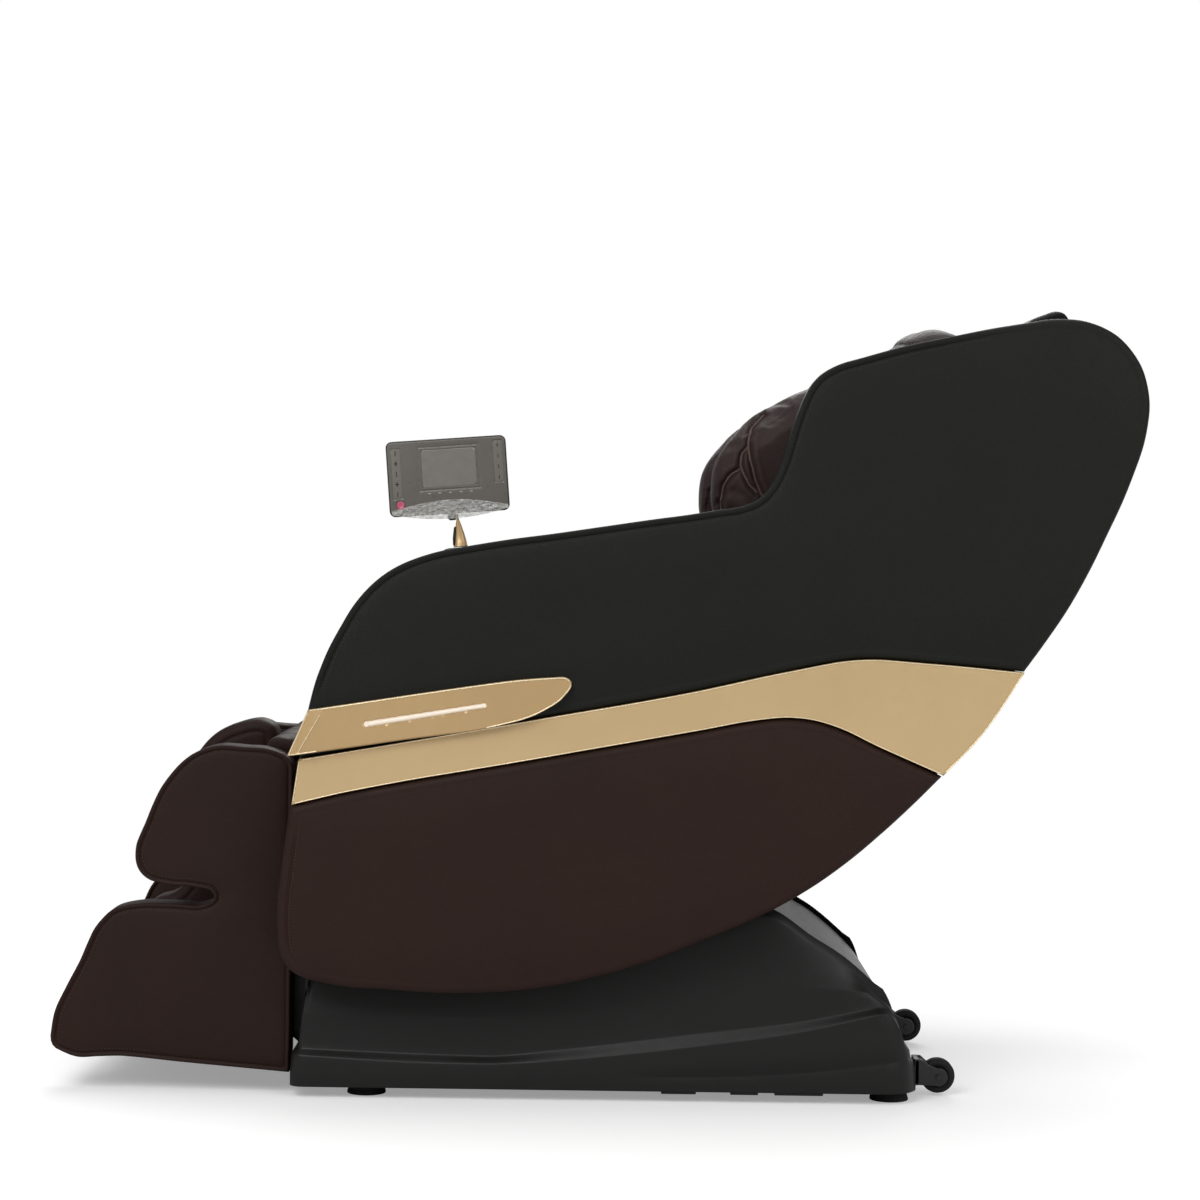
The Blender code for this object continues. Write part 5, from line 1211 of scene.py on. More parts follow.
# inside walls: padded leather with an arm pad seam and upright channels
linerLook = {"round": 0.010, "crown": 0.0028, "padSeam": 0.062, "padHalf": 0.0042, "channel": 0.0030,
             "channelHalf": 0.0034, "edge": (0.0135, 0.0026, 0.0018), "stitchOff": 0.005,
             "channels": [[(-0.262, 0.640), (-0.255, 0.455)], [(-0.120, 0.668), (-0.112, 0.440)],
                          [(0.022, 0.700), (0.030, 0.430)]]}


def linerSink(places, depth):
    look = linerLook
    x, z = places[:, 0], places[:, 1]
    plain = roundRim(depth, look["round"])
    upper = np.clip((z - 0.50) / 0.04, 0, 1)
    arm = np.clip((0.30 - x) / 0.06, 0, 1) * upper
    seam = groove(depth, look["padSeam"], look["padHalf"], look["channel"]) * arm
    edge = groove(depth, *look["edge"]) * upper
    swell = crownSink(depth, look["crown"], 0.05, look["round"])
    gap, _ = lineGap(places, look["channels"])
    upright = look["channel"] * np.exp(-(gap / look["channelHalf"]) ** 2)
    return plain + seam + edge + swell + upright


linerBack, linerFace = sideLevel("liner_left")
linerLoop = smoothLoop(outlineOf("liner_left", linerFace - 0.006), 0.007)
linerRings = [0.0008, 0.0022, 0.0042, 0.0068, 0.0100, 0.0118, 0.0135, 0.0152, 0.0180, 0.024, 0.036, 0.050,
              0.0578, 0.0598, 0.0620, 0.0642, 0.0662, 0.074]
linerMesh = skinMesh("liner", linerLoop, linerRings, 0.013, linerFace, linerBack, linerSink,
                     lines=linerLook["channels"])
pairOf("liner", linerMesh, blackLeather, "cradle", "liner", "Skin")


def linerSeam(depth, highX, lowZ):
    return seamPoints(linerLoop, depth, lambda p, d: -linerSink(p, d), linerFace, -stitchLift,
                      lambda p: (p[:, 0] < highX) & (p[:, 1] > lowZ))


linerLines = linerSeam(linerLook["padSeam"] - linerLook["stitchOff"], 0.26, 0.53) \
    + linerSeam(linerLook["padSeam"] + linerLook["stitchOff"], 0.26, 0.53) + linerSeam(0.0175, 0.56, 0.54)
for line in linerLook["channels"]:
    for shift in (-0.0048, 0.0048):
        dots = measured([line])[0] + np.array([shift, 0])
        inside = depthInside(dots, linerLoop)
        sunk = linerSink(dots, inside)
        linerLines.append([(p[0], linerFace - s + stitchLift, p[1]) for p, s, d in zip(dots, sunk, inside)
                           if d > linerLook["padSeam"] + 0.006])
stitchedPair("linerStitch", linerLines, "cradle")
print("inside walls done")


# swept leather: the back of the shell, the hood and the head roll
def layeredSheet(name, outer, inner):
    # a closed sheet between two grids of points, rows by columns
    outer, inner = np.asarray(outer, float), np.asarray(inner, float)
    rows, wide = outer.shape[:2]
    size = rows * wide
    verts = [tuple(p) for grid in (outer, inner) for p in grid.reshape(-1, 3)]
    faces = []
    for i in range(rows - 1):
        for j in range(wide - 1):
            a = i * wide + j
            quad = [a, a + 1, a + wide + 1, a + wide]
            faces.append(quad)
            faces.append([size + v for v in quad[::-1]])
    last = rows - 1
    border = list(range(wide)) + [i * wide + wide - 1 for i in range(1, rows)] \
        + [last * wide + j for j in range(wide - 2, -1, -1)] + [i * wide for i in range(last - 1, 0, -1)]
    for a, b in zip(border, border[1:] + border[:1]):
        faces.append([b, a, size + a, size + b])
    return facedOut(meshOf(name, verts, faces))


def sweptForm(name, run, columns, sink, thick, turn=1):
    # run is the outer side in x and z, columns are places across the chair, sink goes inwards
    run, columns = np.asarray(run, float), np.asarray(columns, float)
    along = np.gradient(run, axis=0)
    along /= np.maximum(np.linalg.norm(along, axis=1), 1e-9)[:, None]
    outward = turn * np.stack([along[:, 1], -along[:, 0]], 1)
    walked = np.concatenate([[0], np.cumsum(np.linalg.norm(np.diff(run, axis=0), axis=1))])
    s, y = np.meshgrid(walked, columns, indexing="ij")
    sunk = sink(s, y, walked[-1])
    grids = []
    for layer in (sunk, np.full_like(sunk, thick)):
        flat = run[:, None, :] - outward[:, None, :] * layer[..., None]
        grids.append(np.stack([flat[..., 0], y, flat[..., 1]], -1))
    return layeredSheet(name, *grids)


def marksAcross(half, spacing, seams=(), near=(0.0, 0.0018, 0.0038, 0.007)):
    # places across the chair, closer together beside the seams and the two edges
    places = set(np.linspace(-half, half, int(2 * half / spacing) + 1).round(5))
    for seam in seams:
        for sign in (-1, 1):
            places = {p for p in places if abs(p - sign * seam) > 0.0085}
            places |= {round(sign * seam + side * off, 5) for off in near for side in (-1, 1)}
    for off in (0.0006, 0.0018, 0.0036, 0.006, 0.010):
        places |= {round(half - off, 5), round(off - half, 5)}
    return np.array(sorted(places))


def openRun(node, level):
    # the two long sides of a bent sheet's outline, the outer one first
    loop = [Vector(p) for p in outlineOf(node, level)]
    count = len(loop)
    turns = cornerTurns(loop)
    corners = sorted(sorted(range(count), key=lambda i: -turns[i])[:4])
    runs = []
    for a, b in zip(corners, corners[1:] + [corners[0] + count]):
        run = [loop[i % count] for i in range(a, b + 1)]
        if sum((q - p).length for p, q in zip(run, run[1:])) > 0.1:
            runs.append(run)
    return sorted(runs, key=lambda run: -sum((q - p).length for p, q in zip(run, run[1:])))


def smoothRun(points, step):
    # an open line, smoothed through its points and walked at an even step
    loop = [Vector(p) for p in points]
    result = []
    for i, (a, b) in enumerate(zip(loop, loop[1:])):
        before = loop[i - 1] if i else a * 2 - b
        after = loop[i + 2] if i + 2 < len(loop) else b * 2 - a
        result += curved(before, a, b, after, 8)
    result.append(loop[-1])
    total = sum((q - p).length for p, q in zip(result, result[1:]))
    parts = max(2, round(total / step))
    walked, places, spot = 0.0, [tuple(result[0])], 1
    for p, q in zip(result, result[1:]):
        length = (q - p).length
        while spot < parts and walked + length >= total * spot / parts:
            places.append(tuple(p.lerp(q, (total * spot / parts - walked) / max(length, 1e-9))))
            spot += 1
        walked += length
    places.append(tuple(result[-1]))
    return np.array(places)


def seamsAlong(mesh, lines):
    # lines given in space, moved onto the mesh's nearest surface
    tree = surfaceTree(mesh)
    runs = []
    for line in lines:
        hits = [tree.find_nearest(Vector(place)) for place in line]
        runs.append([tuple(near + normal * stitchLift) for near, normal, _, _ in hits])
    return runs


backCoverLook = {"seam": 0.205, "shares": (0.34, 0.66), "deep": 0.0026, "half": 0.0032, "crown": 0.0045,
                 "edge": 0.006, "pipeIn": 0.011, "stitchOff": 0.0052, "thick": 0.0078,
                 "stitch": {"Pitch": 0.0060, "Length": 0.0042, "Radius": 0.0006}}


def makeBackCover():
    look = backCoverLook
    half = -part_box("back_cover")[0].y
    runs = openRun("back_cover", -half)
    outer = max(runs[:2], key=lambda run: sum(p.x for p in run) / len(run))
    if outer[0].y < outer[-1].y:
        outer = outer[::-1]
    run = smoothRun(outer, 0.009)
    seam, off = look["seam"], look["stitchOff"]

    def sink(s, y, total):
        side = half - np.abs(y)
        depth = roundRim(np.minimum(side, look["edge"]), look["edge"]) \
            + groove(side, look["pipeIn"], 0.003, 0.0015) - look["crown"] * (1 - (y / half) ** 2)
        depth = depth + look["deep"] * np.exp(-((np.abs(y) - seam) / look["half"]) ** 2)
        for share in look["shares"]:
            depth = depth + look["deep"] * np.exp(-((s - total * share) / look["half"]) ** 2) \
                * np.clip((seam - np.abs(y)) / 0.006, 0, 1)
        return depth

    total = float(np.linalg.norm(np.diff(run, axis=0), axis=1).sum())
    near = [total * share + step for share in look["shares"]
            for step in (-0.006, -0.0034, -0.0017, 0, 0.0017, 0.0034, 0.006)]
    walked = np.concatenate([[0], np.cumsum(np.linalg.norm(np.diff(run, axis=0), axis=1))])
    keep = [w for w in walked if all(abs(w - total * share) > 0.0075 for share in look["shares"])]
    marks = np.array(sorted(keep + near))
    run = np.stack([np.interp(marks, walked, run[:, k]) for k in (0, 1)], 1)
    mesh = sweptForm("backCover", run, marksAcross(half, 0.013, (seam,)), sink, look["thick"], -1)
    pieceOf("backCoverSkin", mesh, backLeather, "cradle", ["back_cover"])
    lines = [[(p[0], sign * seam + step, p[1]) for p in run[2:-2]]
             for sign in (-1, 1) for step in (-off, off)]
    for place in [total * share + step for share in look["shares"] for step in (-off, off)]:
        x, z = (np.interp(place, walked, np.interp(walked, marks, run[:, k])) for k in (0, 1))
        lines.append([(x, y, z) for y in np.linspace(-seam + 0.01, seam - 0.01, 60)])
    stitched("backCoverStitch", seamsAlong(mesh, lines), "cradle", look["stitch"])


makeBackCover()

hoodLook = {"profile": [(0.6150, 1.0745), (0.6075, 1.0800), (0.6065, 1.0880), (0.6120, 1.0975),
                        (0.6340, 1.1135), (0.6650, 1.1165), (0.6960, 1.1155), (0.6985, 1.1080),
                        (0.6970, 1.0930), (0.6650, 1.0760), (0.6300, 1.0700)],
            "half": 0.2899, "seam": 0.168, "stitchOff": 0.005, "frontLine": (0.6190, 1.1035)}
headRollLook = {"half": 0.160, "seam": 0.053, "stitchOff": 0.0045, "top": 1.1165, "fill": 0.85}


def ringForm(name, profile, columns, shrinkAt):
    # a closed profile swept across the chair; shrinkAt(y) draws it towards its middle near the ends
    loop = np.asarray(profile, float)
    middle = loop.mean(0)
    count = len(loop)
    verts, faces = [], []
    for y in columns:
        verts += [(p[0], y, p[1]) for p in middle + (loop - middle) * shrinkAt(y)]
    for i in range(len(columns) - 1):
        for j in range(count):
            a, b = i * count + j, i * count + (j + 1) % count
            faces.append([a, b, b + count, a + count])
    faces.append(list(range(count)))
    faces.append([(len(columns) - 1) * count + j for j in range(count)][::-1])
    return facedOut(meshOf(name, verts, faces))


def pinched(half, radius, least, deep, wide, *seams):
    # how wide a rolled form is at a place across the chair: round at its ends, drawn in at its seams
    def share(y):
        t = np.clip((half - abs(y)) / radius, 0, 1)
        ends = least + (1 - least) * math.sqrt(max(0.0, 1 - (1 - t) ** 2))
        return ends, sum(deep * math.exp(-((abs(y) - seam) / wide) ** 2) for seam in seams)
    return share


def makeHood():
    look = hoodLook
    half, seam, off = look["half"], look["seam"], look["stitchOff"]
    ends = pinched(half, 0.004, 0.9, 0.045, 0.0032, seam)
    mesh = ringForm("hood", smoothLoop(look["profile"], 0.004, 75), marksAcross(half, 0.012, (seam,)),
                    lambda y: ends(y)[0] - ends(y)[1])
    ripple(mesh, 16.0, 0.0010, 31.0)
    pieceOf("hoodSkin", mesh, blackLeather, "cradle", ["top_cover"])
    lines = [[(p[0], sign * seam + step, p[1]) for p in smoothRun(look["profile"][1:7], 0.006)]
             for sign in (-1, 1) for step in (-off, off)]
    x, z = look["frontLine"]
    lines.append([(x, y, z) for y in np.linspace(-half + 0.008, half - 0.008, 100)])
    stitched("hoodStitch", seamsAlong(mesh, lines), "cradle")


def makeHeadRoll():
    # the small padded roll on top of the hood: an inner cushion between two end caps, drawn in at the seams
    look = headRollLook
    half, seam, off = look["half"], look["seam"], look["stitchOff"]
    loop = smoothLoop(outlineOf("head_roll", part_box("head_roll")[0].y + 0.004, 0.0006), 0.0035, 60)
    ends = pinched(half, 0.016, 0.50, 0.10, 0.0045, seam)
    mesh = ringForm("headRoll", loop, marksAcross(half, 0.008, (seam,)),
                    lambda y: ends(y)[0] * (1.0 - ends(y)[1]))
    ripple(mesh, 24.0, 0.0009, 5.0)
    pieceOf("headRollSkin", mesh, rollLeather, "cradle", ["head_roll"])
    arc = [p for p in loop if p[1] > look["top"]]
    jump = next((i + 1 for i, (a, b) in enumerate(zip(arc, arc[1:])) if math.dist(a, b) > 0.012), 0)
    arc = arc[jump:] + arc[:jump]
    lines = [[(p[0], sign * seam + step, p[1]) for p in arc] for sign in (-1, 1) for step in (-off, off)]
    stitched("headRollStitch", seamsAlong(mesh, lines), "cradle")


makeHood()
makeHeadRoll()
print("back, hood and head roll done")


# leather that closes the creases: behind the seat, before it, and over the knee
creaseLook = {"profile": [(0.0985, 0.446), (0.1030, 0.472), (0.1130, 0.4815), (0.1265, 0.4845),
                          (0.1385, 0.4800), (0.1470, 0.4640), (0.1450, 0.4420), (0.1300, 0.4290),
                          (0.1130, 0.4290)], "half": 0.2880, "seam": 0.168}
apronLook = {"profile": [(-0.3845, 0.505), (-0.3885, 0.513), (-0.3935, 0.507), (-0.3950, 0.470),
                         (-0.3945, 0.430), (-0.3935, 0.402), (-0.3895, 0.396), (-0.3850, 0.402),
                         (-0.3840, 0.450)], "half": 0.2880, "seam": 0.168}
kneeLook = {"profile": [(-0.3985, 0.4880), (-0.3990, 0.5010), (-0.4060, 0.5085), (-0.4230, 0.5100),
                        (-0.4420, 0.5085), (-0.4600, 0.5100), (-0.4720, 0.5060), (-0.4775, 0.4960),
                        (-0.4765, 0.4890), (-0.4600, 0.4860), (-0.4300, 0.4850), (-0.4080, 0.4850)],
            "half": 0.2225, "seams": (0.0375, 0.130), "start": (-0.402, 0, 0.495), "end": (-0.472, 0, 0.495)}
liningLook = {"line": [(-0.3840, 0.3975), (-0.3780, 0.3992), (-0.3000, 0.3994), (0.0900, 0.3994),
                       (0.1180, 0.4040), (0.1420, 0.4180), (0.1600, 0.4480)],
              "half": 0.2896, "thick": 0.0007}


def makeLining():
    # black cloth under the seat and up behind the crease
    look = liningLook
    run = smoothRun(look["line"], 0.012)
    columns = np.linspace(-look["half"], look["half"], 41)

    def sink(s, y, total):
        return 0.0002 * np.sin(s * 260) * np.cos(y * 190)

    mesh = sweptForm("seatLining", run, columns, sink, look["thick"], -1)
    pieceOf("seatLining", mesh, liningCloth, "cradle")


def makeCreases():
    for name, look, fill in (("creaseRoll", creaseLook, 0.8), ("seatApron", apronLook, 0.7)):
        ends = pinched(look["half"], 0.006, 0.85, 0.05, 0.004, look["seam"])
        mesh = ringForm(name, smoothLoop(look["profile"], 0.004, 80),
                        marksAcross(look["half"], 0.012, (look["seam"],)), lambda y: ends(y)[0] - ends(y)[1])
        ripple(mesh, 20.0, 0.0009, 12.0)
        pieceOf(name, mesh, brownLeather, "cradle")


def makeKneeFlap():
    look = kneeLook
    ends = pinched(look["half"], 0.008, 0.7, 0.16, 0.0042, *look["seams"])
    mesh = ringForm("kneeFlap", smoothLoop(look["profile"], 0.0035, 80),
                    marksAcross(look["half"], 0.010, look["seams"]), lambda y: ends(y)[0] - ends(y)[1])
    ripple(mesh, 30.0, 0.0009, 2.0)
    mesh.polygons.foreach_set("use_smooth", [True] * len(mesh.polygons))
    mesh.materials.append(brownLeather)
    flap = helper(mesh, "kneeFlap")
    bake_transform(flap)


makeLining()
makeCreases()
makeKneeFlap()
print("crease pieces done")


# base covers: one moulded side with its skirt, step and crease, and the deck between them
baseLook = {"front": -0.4295, "rear": 0.472, "half": 0.305, "reach": 0.195, "frontCorner": 0.020,
            "rearCorner": 0.050, "floor": 0.0165, "wall": 0.0035, "soft": 0.0013,
            "top": [(-0.429, 0.200), (-0.200, 0.209), (0.000, 0.232), (0.150, 0.257), (0.257, 0.2765),
                    (0.323, 0.234), (0.359, 0.212), (0.411, 0.1685), (0.446, 0.135), (0.464, 0.081),
                    (0.472, 0.074)],
            "crease": [(-0.429, 0.117), (-0.130, 0.117), (0.100, 0.131), (0.294, 0.166), (0.440, 0.156)],
            "stepTop": [(-0.429, 0.070), (-0.237, 0.064), (-0.140, 0.062), (-0.044, 0.072), (0.154, 0.098),
                        (0.294, 0.116), (0.440, 0.144)],
            "stepLow": [(-0.429, 0.062), (-0.237, 0.053), (-0.140, 0.0525), (-0.044, 0.059), (0.154, 0.081),
                        (0.294, 0.102), (0.440, 0.137)],
            "skirt": [(-0.429, 0.038), (0.116, 0.037), (0.224, 0.040), (0.329, 0.048), (0.458, 0.0655)],
            "depths": [0.0, 0.0, 0.0015, 0.0105, 0.0155, 0.030, 0.036],
            "holes": ((0.055, 0.0138), (0.088, 0.0058))}


def curveValue(table, x):
    # a smooth line through the table's points
    xs = np.array([p[0] for p in table])
    zs = np.array([p[1] for p in table])
    slopes = np.gradient(zs, xs)
    x = np.clip(x, xs[0], xs[-1])
    i = int(np.clip(np.searchsorted(xs, x) - 1, 0, len(xs) - 2))
    wide = xs[i + 1] - xs[i]
    t = (x - xs[i]) / wide
    straight = (zs[i + 1] - zs[i]) / wide
    left, right = slopes[i], slopes[i + 1]
    if left * straight <= 0:
        left = 0.0
    if right * straight <= 0:
        right = 0.0
    left = math.copysign(min(abs(left), 3 * abs(straight)), straight)
    right = math.copysign(min(abs(right), 3 * abs(straight)), straight)
    return (zs[i] * (2 * t ** 3 - 3 * t ** 2 + 1) + left * wide * (t ** 3 - 2 * t ** 2 + t)
            + zs[i + 1] * (3 * t ** 2 - 2 * t ** 3) + right * wide * (t ** 3 - t ** 2))


middleGap = 0.0003


def basePlan():
    # places round half the base: x, y and the inward direction
    look = baseLook
    front, rear, half = look["front"], look["rear"], look["half"]
    small, big = look["frontCorner"], look["rearCorner"]
    spots = [(front + 0.005, -look["reach"], (1, 0)), (front + 0.0012, -look["reach"] - 0.0022, (1, 0))]
    spots += [(front, y, (1, 0)) for y in np.linspace(-look["reach"] - 0.006, -half + small, 6)]
    for angle in (math.radians(90 * k / 6) for k in range(1, 7)):
        inward = (math.cos(angle), math.sin(angle))
        spots.append((front + small - small * inward[0], -half + small - small * inward[1], inward))
    spots += [(x, -half, (0, 1)) for x in np.linspace(front + small, rear - big, 70)[1:]]
    for angle in (math.radians(90 * k / 14) for k in range(1, 15)):
        inward = (-math.sin(angle), math.cos(angle))
        spots.append((rear - big - big * inward[0], -half + big - big * inward[1], inward))
    return spots + [(rear, y, (-1, 0)) for y in np.linspace(-half + big, -middleGap, 14)[1:]]


def baseDepth(z, marks):
    # the depth inwards at a height, softened over the mould's small radii
    soft = baseLook["soft"]
    return sum(np.interp(z + shift * soft, marks, baseLook["depths"]) for shift in (-1, -0.5, 0, 0.5, 1)) / 5


def baseRows(marks):
    rows = [marks[0], marks[0] + 0.0012]
    for a, b, parts in ((0, 1, 2), (1, 2, 2), (2, 3, 2), (3, 4, 3), (4, 5, 5), (5, 6, 1)):
        soft = min(0.0014, (marks[b] - marks[a]) * 0.3)
        low, high = marks[a] + soft, marks[b] - soft
        rows += [low + (high - low) * k / parts for k in range(parts + 1)]
        rows.append(marks[b])
    return sorted(rows)


def baseMarks(x):
    # the heights of the mould's lines at x, from the floor up, kept a little apart
    low, top = curveValue(baseLook["stepTop"], x), curveValue(baseLook["top"], x)
    marks = [baseLook["floor"], curveValue(baseLook["skirt"], x), curveValue(baseLook["stepLow"], x), low,
             max(curveValue(baseLook["crease"], x), low + 0.012), top - 0.012, top]
    for k in range(len(marks) - 2, -1, -1):
        marks[k] = min(marks[k], marks[k + 1] - 0.006)
    return marks


def baseDepthAt(x, z, marks):
    # how far the side lies inwards: the mould's steps, its raised skirt line and the lip at the top
    look = baseLook
    share = 1 - 0.75 * float(np.clip((x - look["rear"] + look["rearCorner"]) / look["rearCorner"], 0, 1))
    shown = float(np.clip((x - 0.02) / 0.10, 0, 1)) * float(np.clip((0.455 - x) / 0.02, 0, 1))
    depth = baseDepth(z, marks) * share + shown * 0.0011 * math.exp(-((z - marks[1]) / 0.0013) ** 2)
    return depth + 0.0014 * math.exp(-((z - curveValue(look["top"], x)) / 0.0016) ** 2)


def makeBaseCovers():
    look = baseLook
    spots = basePlan()
    outer = []
    for x, y, inward in spots:
        marks = baseMarks(x)
        row = []
        for z in baseRows(marks):
            depth = baseDepthAt(x, z, marks)
            row.append((x + inward[0] * depth, min(y + inward[1] * depth, -middleGap), z))
        outer.append(row)
    outer = np.asarray(outer)
    inner = outer.copy()
    for row, (_, _, inward) in zip(inner, spots):
        row[:, 0] += inward[0] * look["wall"]
        row[:, 1] = np.minimum(row[:, 1] + inward[1] * look["wall"], -middleGap)
    left = layeredSheet("baseSkin", outer, inner)
    right = helper(mirrored(left))
    for y, wide in look["holes"]:
        cutter = helper(boxMesh("hole", (0.44, y - wide, 0.0347), (0.49, y + wide, 0.0553)))
        hole = right.modifiers.new("hole", "BOOLEAN")
        hole.object = cutter
        mesh = finishedMesh(right)
        bpy.data.objects.remove(cutter, do_unlink=True)
        right = helper(mesh)
    rightMesh = right.data
    bpy.data.objects.remove(right, do_unlink=True)
    pieceOf("baseCoverLeftSkin", left, greyShell, "base", ["base_cover_left"])
    pieceOf("baseCoverRightSkin", rightMesh, greyShell, "base", ["base_cover_right"])


def boxMesh(name, low, high):
    verts = [(x, y, z) for z in (low[2], high[2])
             for x, y in ((low[0], low[1]), (high[0], low[1]), (high[0], high[1]), (low[0], high[1]))]
    return meshOf(name, verts, [(0, 3, 2, 1), (4, 5, 6, 7), (0, 1, 5, 4), (1, 2, 6, 5), (2, 3, 7, 6),
                                (3, 0, 4, 7)])


def softBox(name, low, high, offset):
    # a block with its edges eased
    def ease(work):
        bmesh.ops.bevel(work, geom=list(work.edges), offset=offset, segments=2, affect="EDGES", profile=0.5)
    return reworked(boxMesh(name, low, high), ease)


deckLook = {"line": [(0.130, 0.247), (0.190, 0.2605), (0.240, 0.2695), (0.253, 0.2705), (0.275, 0.2595),
                     (0.320, 0.228), (0.356, 0.206), (0.407, 0.163), (0.436, 0.127), (0.4565, 0.076),
                     (0.4600, 0.064)],
            "half": 0.2632, "round": 0.018, "thick": 0.003}


def makeDeck():
    look = deckLook
    run = smoothRun(look["line"], 0.007)
    rear = look["line"][-1][0] + 0.002
    columns = np.linspace(-1, 1, 47)

    def halfAt(x):
        into = min(max(0.0, x - (rear - look["round"])), look["round"])
        return look["half"] - look["round"] + math.sqrt(max(0.0, look["round"] ** 2 - into ** 2))

    along = np.gradient(run, axis=0)
    along /= np.linalg.norm(along, axis=1)[:, None]
    grids = [[], []]
    for layer in (0, 1):
        for (x, z), (alongX, alongZ) in zip(run, along):
            half = halfAt(x)
            deeps = [look["thick"] * layer + (1 - layer) * 0.0008
                     * math.exp(-(half * (1 - abs(c)) / 0.004) ** 2) for c in columns]
            grids[layer].append([(x + alongZ * deep, c * half, z - alongX * deep)
                                 for c, deep in zip(columns, deeps)])
    pieceOf("deckSkin", layeredSheet("deck", *grids), glossShell, "base", ["base_deck"])


frontLook = {"x": -0.4255, "half": 0.1935, "fold": -0.3985, "low": 0.0178, "high": 0.1858, "thick": 0.0024,
             "round": 0.0045, "fields": 3, "press": 0.0016}


def makeFrontPanel():
    # a pressed sheet with three shallow fields, folded back at both sides
    look = frontLook
    half, bend = look["half"], look["round"]
    plan = [(look["fold"], -half), (-0.4100, -half)]
    plan += [(look["x"] + bend - bend * math.sin(t), -half + bend - bend * math.cos(t))
             for t in np.linspace(0, math.pi / 2, 6)]
    plan += [(look["x"], y) for y in np.linspace(-half + bend + 0.004, half - bend - 0.004, 79)]
    plan += [(look["x"] + bend - bend * math.cos(t), half - bend + bend * math.sin(t))
             for t in np.linspace(0, math.pi / 2, 6)]
    plan += [(-0.4100, half), (look["fold"], half)]
    plan = np.asarray(plan)
    along = np.gradient(plan, axis=0)
    along /= np.linalg.norm(along, axis=1)[:, None]
    inward = np.stack([along[:, 1], -along[:, 0]], 1)
    heights = np.linspace(look["low"], look["high"], 40)
    outer, inner = [], []
    for p, turn in zip(plan, inward):
        field = (p[1] + half) / (2 * half) * look["fields"]
        side = min(field % 1, 1 - field % 1) * 2 * half / look["fields"]
        press = look["press"] if abs(p[0] - look["x"]) < 0.0002 else 0.0
        deep = [press * min(1, max(0, min(side, z - look["low"], look["high"] - z) - 0.012) / 0.003)
                for z in heights]
        for grid, more in ((outer, 0), (inner, look["thick"])):
            grid.append([(p[0] + turn[0] * (d + more), p[1] + turn[1] * (d + more), z)
                         for d, z in zip(deep, heights)])
    pieceOf("frontPanelSkin", layeredSheet("frontPanel", outer, inner), blackShell, "base",
            ["base_front_panel"])


flangeLook = {"leg": [(-0.4640, 0.0560), (-0.4322, 0.0560), (-0.4322, 0.2900), (-0.4640, 0.2900)],
              "fin": [(-0.4000, 0.1860), (-0.4250, 0.1840), (-0.4335, 0.1700), (-0.4335, 0.0720),
                      (-0.4255, 0.0650), (-0.4080, 0.0650)], "legSides": (-0.2246, -0.2216),
              "finSides": (-0.2150, -0.2120)}


def makeFlanges():
    # a lining on the leg rest and a fin on the cover that close the slot between them
    look = flangeLook
    for stem, loop, sides, material, body, slot in (
            ("legFlange", look["leg"], look["legSides"], brownLeather, "legrest", "black_plastic"),
            ("coverFin", look["fin"], look["finSides"], greyShell, "base", "grey_plastic")):
        mesh = skinMesh(stem, denseLoop(loop, 0.006), [0.0006, 0.0014], 0.010, *sides,
                        lambda p, d: roundRim(d, 0.0010))
        pairOf(stem, mesh, material, body)


makeBaseCovers()
makeDeck()
makeFrontPanel()
makeFlanges()
print("base covers and deck done")


# tablet: rounded case with its key strips, screen frame, tick marks and loose film
tabletLook = {"place": (-0.228, 0.31745, 0.775), "lean": -4.5, "left": -0.107, "right": 0.089,
              "low": 0.0726, "high": 0.1946, "half": 0.007, "corner": 0.0085, "edge": 0.0022,
              "screen": (-0.051, 0.1166, 0.039, 0.1786), "key": (-0.089, 0.0901), "wellRadius": 0.0074,
              "knuckle": 0.067}
tabletMatrix = Matrix.Translation(tabletLook["place"]) \
    @ Matrix.Rotation(math.radians(tabletLook["lean"]), 4, "Y")


def boxDistance(places, box):
    # how far inside a rectangle each point lies; outside is negative
    left, low, right, high = box
    return np.minimum(np.minimum(places[:, 0] - left, right - places[:, 0]),
                      np.minimum(places[:, 1] - low, high - places[:, 1]))


def grownBox(box, more):
    return (box[0] - more, box[1] - more, box[2] + more, box[3] + more)


def placedPiece(name, mesh, material, body="tablet", stands=(), smooth=True):
    mesh.transform(tabletMatrix)
    pieceOf(name, mesh, material, body, stands, smooth)


